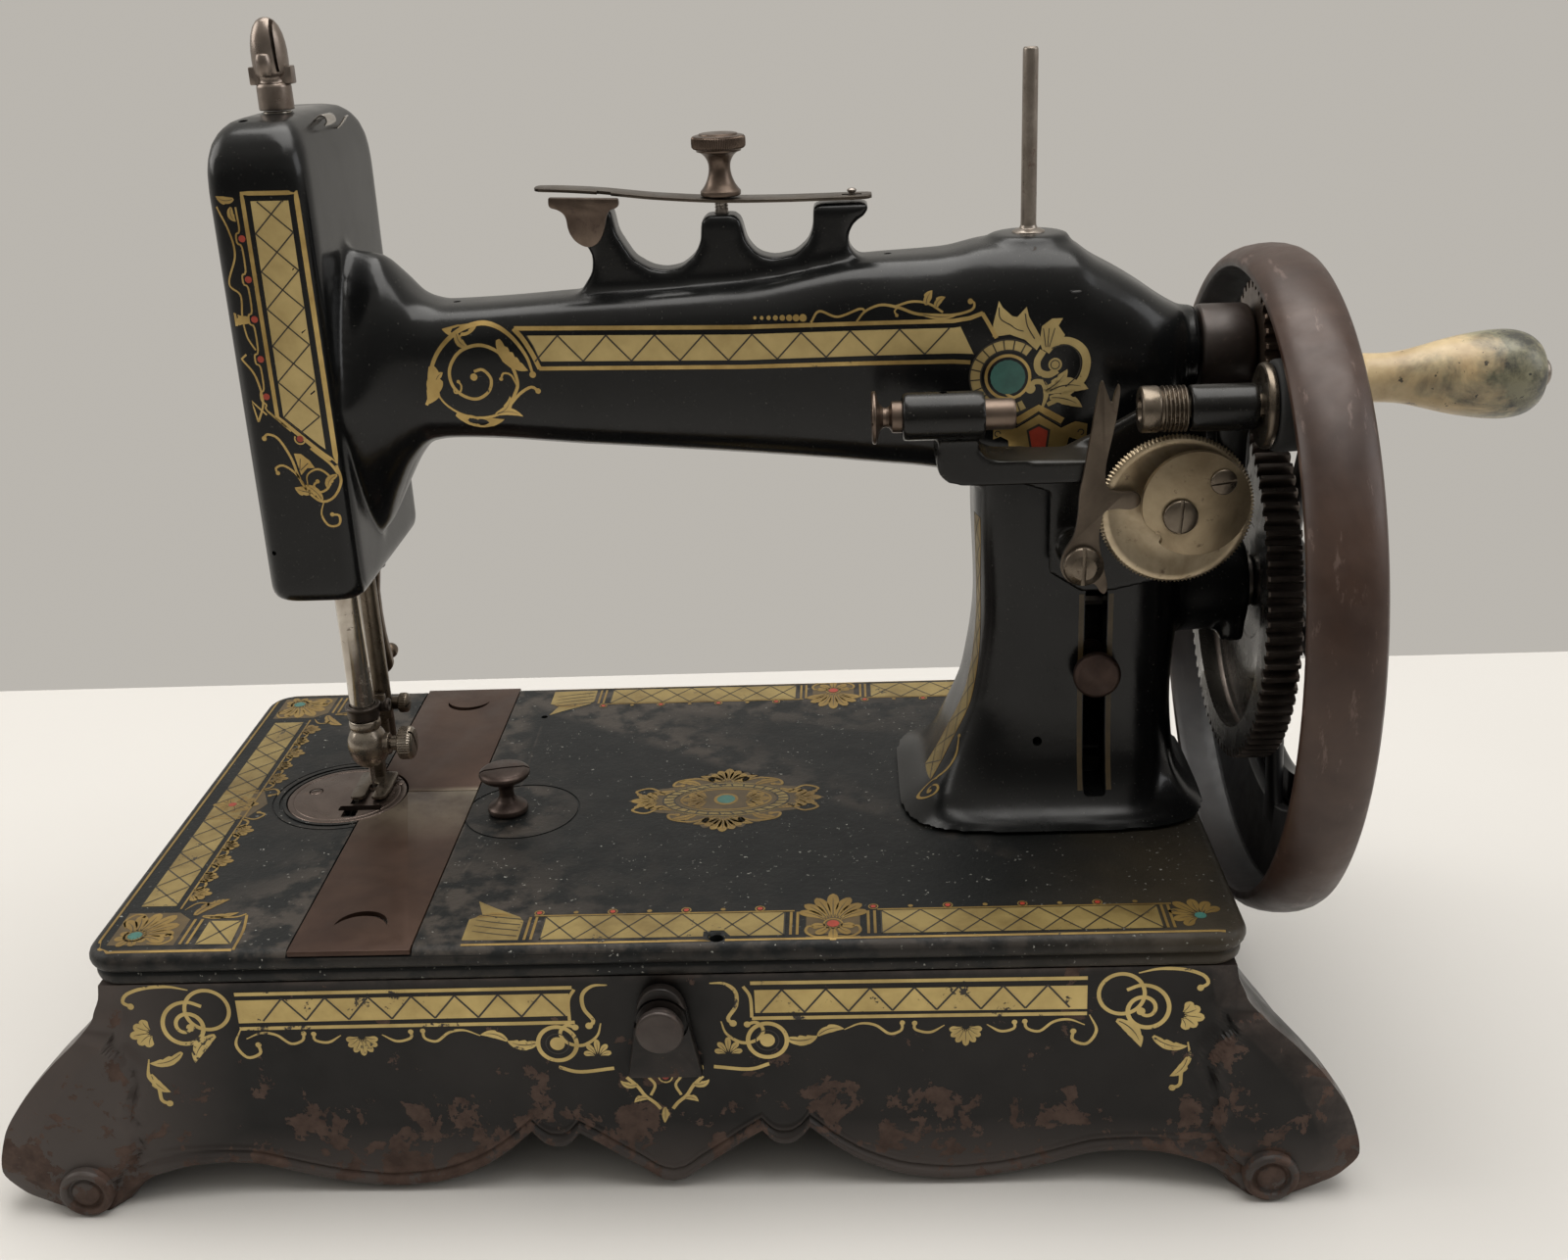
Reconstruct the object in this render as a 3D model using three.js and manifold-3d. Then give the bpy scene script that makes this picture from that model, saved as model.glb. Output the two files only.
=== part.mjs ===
// Hand-crank sewing machine: bed on a scrolled cast base, high arm with a flat head, geared hand
// wheel, transverse slide plates over the shuttle race and a bobbin winder with a traverse cam.
// Layout numbers are millimetres: X from the middle of the bed, Y from the bed's front edge
// towards the back, Z from the bed's top surface. The whole group is moved at the end so that
// the origin lies under the middle of its outer box, at the height of the feet.
import * as THREE from "three";
import * as BufferGeometryUtils from "three/addons/utils/BufferGeometryUtils.js";
import Module from "manifold-3d";

const wasm = await Module();
wasm.setup();

// ---------------------------------------------------------------- driving dimensions
const BED_L = 320;            // bed length along X
const BED_W = 178.8;          // bed depth along Y
const BED_T = 10.4;           // height of the bed's rolled rim
const FEET = -80;             // table level under the feet
const AXIS_Y = 98;            // plane of the arm shaft, needle bar and hand wheel
const SHAFT_Z = 136.5;        // arm shaft height
const WHEEL_Z = 64.7;         // hand wheel stud height
const NEEDLE_X = -101.9;      // needle bar and presser bar
const PRESSER_Y = 119;        // presser bar behind the needle bar
const GEAR_TEETH = 80;
const PINION_TEETH = 28;
const MODULE = (2 * (SHAFT_Z - WHEEL_Z)) / (GEAR_TEETH + PINION_TEETH);
const WINDER_Y = 52;          // plane of the bobbin winder
const SPINDLE_Z = 131;        // bobbin spindle height
const WORM_X = 144.3;         // worm wheel centre
const WORM_Z = 102.6;
const WORM_TEETH = 120;
const GAP = 0.3;              // clearance between neighbouring solids
const AXIS_MID = BED_W / 2;   // middle of the bed's depth
const FACETS = 0.62;          // share of the nominal facet count kept on turned parts

// ---------------------------------------------------------------- helpers
const group = new THREE.Group();

function add(name, geo, color, metalness = 0.5, roughness = 0.5) {
  const mat = new THREE.MeshStandardMaterial({ color, metalness, roughness });
  const mesh = new THREE.Mesh(back(solid(geo)), mat);
  mesh.name = name;
  group.add(mesh);
  return mesh;
}

function clean(geo) {
  const g = geo.index ? geo.toNonIndexed() : geo.clone();
  g.deleteAttribute("normal");
  if (g.attributes.uv) g.deleteAttribute("uv");
  g.clearGroups();
  const merged = BufferGeometryUtils.mergeVertices(g, 1e-4);
  const t = merged.index.array;
  const flip = volume(merged) < 0;
  const kept = [];
  for (let i = 0; i < t.length; i += 3) {
    const [a, b, c] = [t[i], t[i + 1], t[i + 2]];
    if (a !== b && b !== c && a !== c) kept.push(a, flip ? c : b, flip ? b : c);
  }
  merged.setIndex(kept);
  return merged;
}

function solid(geo) {
  const g = clean(geo);
  return new wasm.Manifold(new wasm.Mesh({
    numProp: 3,
    vertProperties: new Float32Array(g.attributes.position.array),
    triVerts: new Uint32Array(g.index.array),
  }));
}

function back(man) {
  const m = man.getMesh();
  const g = new THREE.BufferGeometry();
  const n = m.vertProperties.length / m.numProp;
  const pos = new Float32Array(n * 3);
  for (let i = 0; i < n; i++) {
    for (let k = 0; k < 3; k++) pos[3 * i + k] = m.vertProperties[m.numProp * i + k];
  }
  g.setAttribute("position", new THREE.BufferAttribute(pos, 3));
  g.setIndex(Array.from(m.triVerts));
  return g;
}

const join = (...geos) => back(geos.map(solid).reduce((a, b) => a.add(b)));
const cut = (geo, ...tools) => back(tools.map(solid).reduce((a, b) => a.subtract(b), solid(geo)));

function box(x0, x1, y0, y1, z0, z1) {
  const g = new THREE.BoxGeometry(x1 - x0, y1 - y0, z1 - z0);
  return g.translate((x0 + x1) / 2, (y0 + y1) / 2, (z0 + z1) / 2);
}

// Lathe about +Z from [radius, height] pairs, then turned to lie along the asked axis.
function turned(profile, axis, at, n = 24) {
  const pts = profile.map(([r, h]) => new THREE.Vector2(r, h));
  const g = new THREE.LatheGeometry(pts, Math.max(8, 2 * Math.round((n * FACETS) / 2)));
  g.rotateX(Math.PI / 2);
  if (axis === "x") g.rotateY(Math.PI / 2);
  if (axis === "y") g.rotateX(-Math.PI / 2);
  if (axis === "-y") g.rotateX(Math.PI / 2);
  return g.translate(...at);
}

function rod(axis, at, r, len, n = 24) {
  return turned([[0, 0], [r, 0], [r, len], [0, len]], axis, at, n);
}

// Closed skin through rings that all have the same number of points.
function loft(rings) {
  const n = rings[0].length;
  const pos = [];
  const idx = [];
  for (const ring of rings) for (const p of ring) pos.push(...p);
  for (let k = 0; k + 1 < rings.length; k++) {
    for (let i = 0; i < n; i++) {
      const j = (i + 1) % n;
      const a = k * n + i;
      const b = k * n + j;
      idx.push(a, b, b + n, a, b + n, a + n);
    }
  }
  const cap = (k, flip) => {
    const c = pos.length / 3;
    const mid = [0, 0, 0];
    for (const p of rings[k]) for (let d = 0; d < 3; d++) mid[d] += p[d] / n;
    pos.push(...mid);
    for (let i = 0; i < n; i++) {
      const a = k * n + i;
      const b = k * n + ((i + 1) % n);
      if (flip) idx.push(c, b, a);
      else idx.push(c, a, b);
    }
  };
  cap(0, true);
  cap(rings.length - 1, false);
  const g = new THREE.BufferGeometry();
  g.setAttribute("position", new THREE.Float32BufferAttribute(pos, 3));
  g.setIndex(idx);
  return g;
}

function volume(g) {
  const p = g.attributes.position.array;
  const t = g.index.array;
  let v = 0;
  for (let i = 0; i < t.length; i += 3) {
    const [a, b, c] = [3 * t[i], 3 * t[i + 1], 3 * t[i + 2]];
    v += p[a] * (p[b + 1] * p[c + 2] - p[b + 2] * p[c + 1])
      - p[a + 1] * (p[b] * p[c + 2] - p[b + 2] * p[c])
      + p[a + 2] * (p[b] * p[c + 1] - p[b + 1] * p[c]);
  }
  return v / 6;
}

// Superellipse section: half sizes a and b, exponent e (2 is an ellipse, 8 nearly a rectangle).
function oval(a, b, e, n = 28) {
  const out = [];
  for (let i = 0; i < n; i++) {
    const t = (2 * Math.PI * (i + 0.5)) / n;
    const c = Math.cos(t);
    const s = Math.sin(t);
    out.push([a * Math.sign(c) * Math.abs(c) ** (2 / e), b * Math.sign(s) * Math.abs(s) ** (2 / e)]);
  }
  return out;
}

// Rounded rectangle with k points on each corner.
function roundRect(a, b, r, k = 4) {
  const out = [];
  const corners = [[a - r, b - r, 0], [-a + r, b - r, 90], [-a + r, -b + r, 180], [a - r, -b + r, 270]];
  for (const [cx, cy, deg] of corners) {
    for (let i = 0; i < k; i++) {
      const t = ((deg + (90 * i) / (k - 1)) * Math.PI) / 180;
      out.push([cx + r * Math.cos(t), cy + r * Math.sin(t)]);
    }
  }
  return out;
}

function plate(points, y0, y1, bevel = 0) {
  const shape = new THREE.Shape(points.map(([x, z]) => new THREE.Vector2(x, z)));
  const g = new THREE.ExtrudeGeometry(shape, {
    depth: y1 - y0 - 2 * bevel, bevelEnabled: bevel > 0, bevelThickness: bevel,
    bevelSize: bevel, bevelOffset: -bevel, bevelSegments: 1, curveSegments: 10,
  });
  g.rotateX(Math.PI / 2);
  return g.translate(0, y1 - bevel, 0);
}

// Toothed outline with straight flanks, backlash left between the teeth.
function toothed(teeth, module, addendum, dedendum, phase, slack) {
  const pitch = (teeth * module) / 2;
  const pts = [];
  for (let i = 0; i < teeth; i++) {
    const c = phase + (2 * Math.PI * i) / teeth;
    const half = Math.PI / (2 * teeth) - slack / pitch;
    const tip = half - (addendum * Math.tan(0.36)) / pitch;
    const root = half + (dedendum * Math.tan(0.3)) / pitch;
    for (const [r, d] of [[-dedendum, -root], [addendum, -tip], [addendum, tip], [-dedendum, root]]) {
      pts.push([(pitch + r) * Math.cos(c + d), (pitch + r) * Math.sin(c + d)]);
    }
  }
  return pts;
}

// Toothed disc standing on the X axis: outline in the Y-Z plane between x0 and x1.
function gearX(points, hole, x0, x1, y, z) {
  const shape = new THREE.Shape(points.map(([a, b]) => new THREE.Vector2(a, b)));
  const ring = new THREE.Path();
  ring.absarc(0, 0, hole, 0, 2 * Math.PI, true);
  shape.holes.push(ring);
  const g = new THREE.ExtrudeGeometry(shape, { depth: x1 - x0, bevelEnabled: false, curveSegments: 16 });
  const m = new THREE.Matrix4().set(0, 0, 1, x0, 1, 0, 0, y, 0, 1, 0, z, 0, 0, 0, 1);
  return g.applyMatrix4(m);
}

const BLACK = 0x1c1c1e;
const BROWN = 0x6b5248;
const NICKEL = 0x9a9184;
const STEEL = 0x8d8a86;
const BRASS = 0xb39a62;

// ---------------------------------------------------------------- cast base with apron and feet
// Lower edge of the long aprons: [distance from the middle, height]; feet, arch, lobe and pendant.
const APRON_EDGE = [
  [0, -78.5], [3, -77.6], [8, -74], [15, -69], [22, -63.8], [26, -61.3], [28, -63.6], [31, -65.6],
  [34, -65.4], [37, -63.4], [39.5, -60.4], [42, -62.5], [47, -67], [56, -73], [68, -77.4],
  [80, -78.6], [92, -77.4], [106, -74], [120, -70], [132, -68.6], [140, -70.5], [146, -75],
  [150, FEET], [157, FEET],
];
const SIDE_EDGE = [[0, -67], [30, -67.5], [48, -69], [58, -71], [66, -75], [71, FEET], [86, FEET]];

// How far the corner leans out sideways at each height: [share of the height, lean].
const LEAN = [[0, 0], [0.14, 1.4], [0.22, 5.5], [0.36, 15.5], [0.5, 24], [0.65, 30], [0.8, 32], [0.9, 27], [1, 13]];
const ease = (v) => Math.min(1, Math.max(0, v)) ** 2 * (3 - 2 * Math.min(1, Math.max(0, v)));

function lookup(table, x) {
  for (let i = 0; i + 1 < table.length; i++) {
    const [x0, z0] = table[i];
    const [x1, z1] = table[i + 1];
    if (x <= x1) return z0 + ((z1 - z0) * (x - x0)) / (x1 - x0);
  }
  return table[table.length - 1][1];
}

function baseCasting() {
  const a = 156.6;
  const b = BED_W / 2 - 2.4;
  const wall = 5;
  const top = -BED_T - GAP;
  const longX = APRON_EDGE.map(([x]) => x).filter((x) => x < 152);
  const row = [...longX.map((x) => -x).reverse().slice(0, -1), ...longX];
  const sideY = [-79, -71, -62, -48, -24, 0, 24, 48, 62, 71, 79];
  const ring = (inset) => {
    const [ia, ib] = [a - inset, b - inset];
    const out = [];
    for (const x of row) out.push([(x * ia) / a, -ib, x]);
    out.push([ia, -ib, 157]);
    for (const y of sideY) out.push([ia, (y * ib) / b, null, y]);
    out.push([ia, ib, 157]);
    for (const x of [...row].reverse()) out.push([(x * ia) / a, ib, x]);
    out.push([-ia, ib, 157]);
    for (const y of [...sideY].reverse()) out.push([-ia, (y * ib) / b, null, y]);
    out.push([-ia, -ib, 157]);
    return out;
  };
  const level = (t, inset) => ring(inset).map(([x, y, along, side]) => {
    const low = along === null ? lookup(SIDE_EDGE, Math.abs(side)) : lookup(APRON_EDGE, Math.abs(along));
    const corner = ease((Math.abs(x) - 118) / 36) * ease((Math.abs(y) - 40) / 42);
    const dx = Math.sign(x) * (lookup(LEAN, t) * corner + (Math.abs(x) > 150 ? 2 * t : 0));
    const dy = Math.sign(y) * (7 * ease(t / 0.85) * corner + (Math.abs(y) > 80 ? 2 * t : 0));
    return [x + dx, AXIS_MID + y + dy, top + (low - top) * t];
  });
  const outer = [0, 0.2, 0.36, 0.54, 0.8, 0.9, 1].map((t) => level(t, 0));
  const inner = [1, 0.75, 0].map((t) => level(t, wall));
  return ringSolid([...outer, ...inner]);
}

// Skin through rings that closes back onto its first ring, like a picture frame.
function ringSolid(rings) {
  const n = rings[0].length;
  const m = rings.length;
  const pos = rings.flat(2);
  const idx = [];
  for (let k = 0; k < m; k++) {
    const l = (k + 1) % m;
    for (let i = 0; i < n; i++) {
      const j = (i + 1) % n;
      idx.push(k * n + i, k * n + j, l * n + j, k * n + i, l * n + j, l * n + i);
    }
  }
  const g = new THREE.BufferGeometry();
  g.setAttribute("position", new THREE.Float32BufferAttribute(pos, 3));
  g.setIndex(idx);
  return g;
}

add("base_casting", baseCasting(), BLACK, 0.4, 0.5);

const latch = [[-10.6, -41], [10.6, -41], [9, -32], [7.4, -22], [6.6, -16], [4.2, -13], [0, -12],
  [-4.2, -13], [-6.6, -16], [-7.4, -22], [-9, -32]];
add("latch_plate", plate(latch, -2.6, 1.1, 0.8), BLACK, 0.4, 0.5);
const knobProfile = [[0, 0], [2.6, 0], [2.6, 2.2], [5.9, 2.2], [6.6, 3], [6.6, 4.6], [5.8, 5.4], [0, 5.6]];
add("latch_knob", turned(knobProfile, "-y", [0, -2.6 - GAP, -22.5], 24), BLACK, 0.4, 0.5);

// ---------------------------------------------------------------- bed
function bed() {
  const levels = [[-BED_T, 3.4], [-7.4, 0.7], [-4, 0], [-1.4, 0.8], [0, 3]];
  const rings = levels.map(([z, inset]) => roundRect(BED_L / 2 - inset, BED_W / 2 - inset, 9 - inset, 5)
    .map(([x, y]) => [x, AXIS_MID + y, z]));
  const body = loft(rings);
  return cut(
    body,
    box(-148, -104, 8, BED_W - 8, -20, -4.6),
    box(-65, 148, 8, BED_W - 8, -20, -4.6),
    box(-105, -64, 12, BED_W - 12, -20, -4.6),
    box(-97.5, -71.5, 14, BED_W - 14, -20, 5),
    box(-102, -67.2, -3, BED_W + 3, -1.9, 5),
    rod("z", [NEEDLE_X - 8, 94.5, -2.2], 19.3, 10, 40),
    box(NEEDLE_X - 7, NEEDLE_X + 5, 84, 108, -8, 1),
    box(105, 143, 86, 110, -8, 1),
    rod("z", [-54.7, 80.6, -3], 2.4, 10, 16),
    rod("z", [16, 4.4, -3], 1.9, 10, 12),
  );
}
add("bed", bed(), BLACK, 0.3, 0.55);

// A crescent thumb notch is a shallow disc recess less a second disc set off centre.
function slidePlate(front) {
  const x0 = -101.6;
  const x1 = -67.6;
  const seam = 96;
  const y0 = front ? 0.6 : seam + 0.2;
  const y1 = front ? seam - 0.2 : BED_W - 0.6;
  const cy = front ? 14 : BED_W - 12;
  const crescent = cut(
    rod("z", [-84.6, cy, -0.7], 7.5, 4, 24),
    rod("z", [-84.6, cy + (front ? -2.2 : 2.2), -2], 8.2, 6, 24),
  );
  return cut(
    box(x0, x1, y0, y1, -1.6, 0),
    rod("z", [NEEDLE_X - 8, 94.5, -3], 19.6, 6, 40),
    crescent,
  );
}
add("slide_plate_front", slidePlate(true), BROWN, 0.8, 0.35);
add("slide_plate_rear", slidePlate(false), BROWN, 0.8, 0.35);

const plateDisc = turned([[0, -1.8], [19, -1.8], [19, -0.3], [18.7, 0], [0, 0]], "z", [NEEDLE_X - 8, 94.5, 0], 40);
add("needle_plate", cut(
  plateDisc,
  rod("z", [NEEDLE_X, AXIS_Y, -4], 1.6, 8, 12),
  box(NEEDLE_X - 5.4, NEEDLE_X - 3, 88, 104, -4, 2),
  rod("z", [-120.9, 97.4, -0.8], 2.3, 4, 14),
  rod("z", [-95.2, 102.8, -0.8], 2.3, 4, 14),
), STEEL, 0.9, 0.3);

function slotScrew(axis, at, r, h, slotAngle = 0, shank = 0) {
  const body = turned([[0, 0], [r, 0], [r, h * 0.7], [r * 0.9, h], [0, h]], axis, at, 18);
  const s = box(-r - 1, r + 1, -0.35, 0.35, h * 0.55, h + 1);
  s.rotateZ(slotAngle);
  if (axis === "x") s.rotateY(Math.PI / 2);
  if (axis === "y") s.rotateX(-Math.PI / 2);
  if (axis === "-y") s.rotateX(Math.PI / 2);
  s.translate(...at);
  return cut(body, s);
}
add("needle_plate_screw_left", slotScrew("z", [-120.9, 97.4, -0.5], 2, 0.8, 1.1), STEEL, 0.9, 0.3);
add("needle_plate_screw_right", slotScrew("z", [-95.2, 102.8, -0.5], 2, 0.8, 0.3), STEEL, 0.9, 0.3);

// ---------------------------------------------------------------- arm, pillar and head casting
// Arm stations along X: [x, underside, top, half depth].
const ARM = [
  [-91, 86, 174, 26], [-84, 92, 173.5, 23], [-78, 103, 172, 20], [-72.5, 113, 166, 17.5],
  [-67, 118, 159.4, 16.5], [-60, 118.6, 157.8, 16.5], [-20, 115.4, 159.4, 17], [30, 111, 162, 18],
  [62, 107.5, 167, 19], [84, 104.6, 168, 20.5], [96, 98, 170.4, 21.5], [119, 92, 169.8, 22],
  [126, 92, 164.6, 22], [139, 92, 157.3, 21], [147, 95, 151, 18], [151, 110, 149.4, 14],
];
// Pillar stations along Z: [z, left, right, half depth].
const PILLAR = [
  [0.3, 66, 164, 44], [2.2, 70, 161, 38], [6, 75.5, 157.6, 33], [12, 79.6, 154.6, 29],
  [20, 83.6, 153, 26.4], [36, 89.6, 152, 24], [64, 93, 153.6, 23], [96, 92, 154, 22.6], [120, 93, 152, 21],
];
const HEAD_X = -101.9;
const HEAD = [
  [76, 10.6, 35.5], [77.6, 12.2, 37.4], [90, 12.6, 38], [196, 12.6, 38], [203, 12, 37], [208, 10.2, 34],
  [211, 7.4, 29], [212.3, 4, 22],
];

const arm = loft(ARM.map(([x, z0, z1, hy]) => oval(hy, (z1 - z0) / 2, x < -75 ? 2.5 : 3.4, 20)
  .map(([y, z]) => [x, AXIS_Y + y, (z0 + z1) / 2 + z])));
const pillar = loft(PILLAR.map(([z, x0, x1, hy]) => oval((x1 - x0) / 2, hy, 4.5, 24)
  .map(([x, y]) => [(x0 + x1) / 2 + x, AXIS_Y + y, z])));
const head = loft(HEAD.map(([z, hx, hy]) => roundRect(hx, hy, Math.min(7, hx * 0.7), 4)
  .map(([x, y]) => [HEAD_X + x, 106 + y, z])));

// Crest on top of the arm: three posts with two U gaps, carrying the tension spring.
const CREST = [
  [-40, 150], [-22, 157], [-19, 161.9], [-16.3, 165.5], [-16.6, 171], [-19.7, 175.3], [-22, 179.4],
  [-22, 183], [-9.8, 183], [-8.6, 176], [-4.4, 169], [0, 166.2], [4.4, 165.2], [9, 166], [13, 169],
  [15, 173], [15.4, 179], [17, 180.2], [25.2, 180.2], [26.9, 178.6], [28, 172.8], [31, 169],
  [35.6, 167.6], [41.8, 168.7], [45.6, 172], [47, 176], [47.2, 182.2], [63, 182.2], [62.3, 179],
  [58.4, 176.6], [56.8, 173], [57.4, 169.4], [60.4, 166.6], [66, 160], [60, 150],
];
const crest = plate(CREST, AXIS_Y - 6, AXIS_Y + 6, 0.9);

add("arm_casting", cut(
  join(
    arm,
    pillar,
    head,
    crest,
    rod("x", [140, AXIS_Y, SHAFT_Z], 13, 16.2, 28),
    turned([[0, 0], [17, 0], [15, 8], [14.6, 30], [0, 30]], "x", [144, AXIS_Y, WHEEL_Z], 28),
    turned([[0, 0], [11.6, 0], [11.4, 7], [10.6, 8.4], [0, 8.4]], "z", [108, AXIS_Y, 162.6], 24),
    box(NEEDLE_X - 4.4, NEEDLE_X + 4.4, 126.6, 131, 65.2, 77),
  ),
  box(105, 141, 84, 112, -2, 148),
  box(123.6, 130.2, 50, 90, 8, 71.5),
  rod("x", [-94, AXIS_Y, SHAFT_Z], 6.4, 252, 20),
  rod("x", [141, AXIS_Y, WHEEL_Z], 6.3, 40, 20),
  box(HEAD_X - 9.8, HEAD_X + 9.8, 71.5, 160, 84, 202),
  rod("z", [NEEDLE_X, AXIS_Y, 70], 4.2, 160, 20),
  rod("z", [NEEDLE_X, PRESSER_Y, 70], 3.7, 20, 20),
  rod("y", [NEEDLE_X, 124, 70], 2, 9, 16),
  rod("z", [21.2, AXIS_Y, 172], 2.2, 12, 14),
  rod("z", [108, AXIS_Y, 160], 2.5, 20, 14),
  rod("y", [110, 60, 24], 1.4, 20, 10),
), BLACK, 0.3, 0.4);

add("head_cover", loft([[140.4, 9.4], [143.4, 9.4]].map(([y, hx]) => roundRect(hx, 58.6, 3, 4)
  .map(([x, z]) => [HEAD_X + x, y, 143 + z]))), BLACK, 0.3, 0.4);

// Stitch length knob that runs in the pillar's slot.
add("stitch_knob", turned(
  [[0, -13], [5, -13], [5, -12.4], [2.6, -12.4], [2.6, 1.6], [6.6, 1.6], [6.9, 2.2], [6.9, 4.4], [6.2, 5], [0, 5]],
  "-y", [126.9, 73, 46.5], 26,
), BROWN, 0.7, 0.5);

// ---------------------------------------------------------------- tension spring, nut and thread guides
const SPRING_TOP = 184;
const spring = loft([
  [-31.4, 188.6, 2], [-29.6, 188.5, 4.4], [-16, 187.6, 5], [4, 185.2, 5.2], [21, 183.9, 5.4], [44, 183.4, 5.4],
  [60, 183.4, 5.2], [63.6, 183.5, 3.6],
].map(([x, z, hy]) => [[-hy, -0.45], [hy, -0.45], [hy, 0.45], [-hy, 0.45]]
  .map(([y, dz]) => [x, AXIS_Y + y, z + dz + 0.2])));
add("tension_spring", cut(
  spring,
  rod("z", [21.2, AXIS_Y, 178], 2.3, 12, 16),
  box(55.4, 61, AXIS_Y - 1.2, AXIS_Y + 1.2, 180, 190),
), NICKEL, 0.9, 0.35);
add("tension_stud", turned([[0, 172.6], [1.9, 172.6], [1.9, 198], [0, 198]], "z", [21.2, AXIS_Y, 0], 14), STEEL, 0.9, 0.4);
const nut = turned([
  [2.2, 185], [5.4, 185], [5.6, 186.4], [4.4, 188], [3.2, 190.4], [3, 192.6], [3.6, 195], [5, 196.8],
  [7.2, 197.6], [7.6, 198.4], [7.6, 200.6], [7, 201.6], [5.6, 202], [0, 202], [0, 199], [2.2, 198.6], [2.2, 185],
], "z", [21.2, AXIS_Y, 0], 28);
add("tension_nut", nut, NICKEL, 0.9, 0.35);
const tongue = [
  [-26.6, 187.1], [-26.6, 184.6], [-23.6, 183.4], [-22, 181.4], [-21.6, 178.4], [-20.4, 175.6], [-17.6, 173.4],
  [-14.4, 173.6], [-11.8, 176.6], [-10.6, 181.4], [-9.2, 183.2], [-7.2, 184], [-7.2, 186.2],
];
add("thread_bracket", plate(tongue, 89.2, 91.7, 0.4), BROWN, 0.8, 0.4);
add("spring_peg", rod("z", [58.2, AXIS_Y, 182.5], 0.9, 3.2, 10), STEEL, 0.9, 0.4);

const pin = turned([
  [0, 160.4], [2.2, 160.4], [2.2, 171.2], [4.6, 171.2], [4.6, 172.2], [2.6, 172.8], [2.2, 174], [2.2, 220.6],
  [1.4, 221.8], [0, 221.8],
], "z", [108, AXIS_Y, 0], 18);
add("spool_pin", pin, STEEL, 0.9, 0.35);

function tab(x, y, z, turn) {
  const g = box(-0.5, 0.5, -2.2, 2.2, 0, 4.2);
  g.rotateY(turn);
  return g.translate(x, y, z);
}
add("thread_tab_front", tab(-90.6, 100, 208, 0.8), STEEL, 0.9, 0.25);
add("thread_tab_rear", tab(-89.9, 114.6, 205.6, 1), STEEL, 0.9, 0.25);

// ---------------------------------------------------------------- needle bar and presser bar
add("needle_bar", turned([
  [0, 26], [3.5, 26], [3.5, 29.6], [3.9, 29.8], [3.9, 212.6], [0, 212.6],
], "z", [NEEDLE_X, AXIS_Y, 0], 22), NICKEL, 0.9, 0.3);
const guide = join(
  turned([
    [0, 212.9], [4.8, 212.9], [4.8, 219.4], [3.9, 220.2], [3.9, 221.4], [4.9, 222], [5, 226], [4.9, 229.4],
    [4.4, 232.6], [3.2, 235.6], [1.6, 237], [0, 237.3],
  ], "z", [NEEDLE_X, AXIS_Y, 0], 20),
  box(NEEDLE_X - 5.9, NEEDLE_X - 3, AXIS_Y - 1.9, AXIS_Y + 1.9, 219.8, 224.4),
  box(NEEDLE_X + 3, NEEDLE_X + 5.9, AXIS_Y - 1.9, AXIS_Y + 1.9, 219.8, 224.4),
);
add("take_up_guide", guide, NICKEL, 0.9, 0.4);
add("needle_clamp", cut(
  turned([
    [0, 8.6], [2.4, 9], [4.6, 10.6], [6, 13], [6.5, 16.6], [6, 20], [4.6, 22.4], [4.5, 25.7], [0, 25.7],
  ], "z", [NEEDLE_X, AXIS_Y, 0], 24),
  rod("x", [NEEDLE_X + 1.4, AXIS_Y, 16.6], 1.9, 10, 14),
  rod("z", [NEEDLE_X, AXIS_Y, 5], 1.1, 11, 10),
), NICKEL, 0.9, 0.35);
add("clamp_thumbscrew", cut(
  turned([
    [0, 0], [1.6, 0], [1.6, 6.2], [2.5, 6.3], [2.5, 8.4], [5, 8.8], [5.4, 9.6], [5.4, 12.4], [4.6, 13.6], [0, 13.8],
  ], "x", [NEEDLE_X + 1.6, AXIS_Y, 16.6], 22),
  box(NEEDLE_X + 14, NEEDLE_X + 18, AXIS_Y - 0.5, AXIS_Y + 0.5, 8, 26),
), NICKEL, 0.9, 0.35);
add("needle", turned([
  [0, -12], [0.5, -9.6], [0.55, 2], [0.85, 2.6], [0.85, 15.6], [0, 15.6],
], "z", [NEEDLE_X, AXIS_Y, 0], 10), STEEL, 0.95, 0.2);

add("presser_bar", turned([[0, 5], [3.3, 5], [3.3, 150], [0, 150]], "z", [NEEDLE_X, PRESSER_Y, 0], 18), NICKEL, 0.9, 0.3);
const sole = new THREE.Shape([
  [-3.8, 84], [-2.6, 81], [-1.2, 84], [-1.2, 99.6], [1.2, 99.6], [1.2, 84], [2.6, 81], [3.8, 84], [4.2, 108], [-4.2, 108],
].map(([x, y]) => new THREE.Vector2(x, y)));
const soleGeo = new THREE.ExtrudeGeometry(sole, { depth: 1.2, bevelEnabled: false });
soleGeo.translate(NEEDLE_X, 0, 0.4);
add("presser_foot", join(
  soleGeo,
  box(NEEDLE_X - 1.8, NEEDLE_X + 1.8, 104.4, 107.8, 1, 8),
  box(NEEDLE_X - 1.8, NEEDLE_X + 1.8, 104.4, 115.2, 5.4, 8.4),
  box(NEEDLE_X - 2.6, NEEDLE_X + 2.6, 112.8, 115.3, 5.4, 27),
), STEEL, 0.9, 0.35);
add("foot_screw", turned([
  [0, 0], [2.2, 0], [2.2, 2.2], [4.1, 2.4], [4.3, 3], [4.3, 4.6], [3.6, 5.4], [0, 5.4],
], "x", [NEEDLE_X + 3.6, PRESSER_Y, 21.5], 18), STEEL, 0.8, 0.4);
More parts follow.
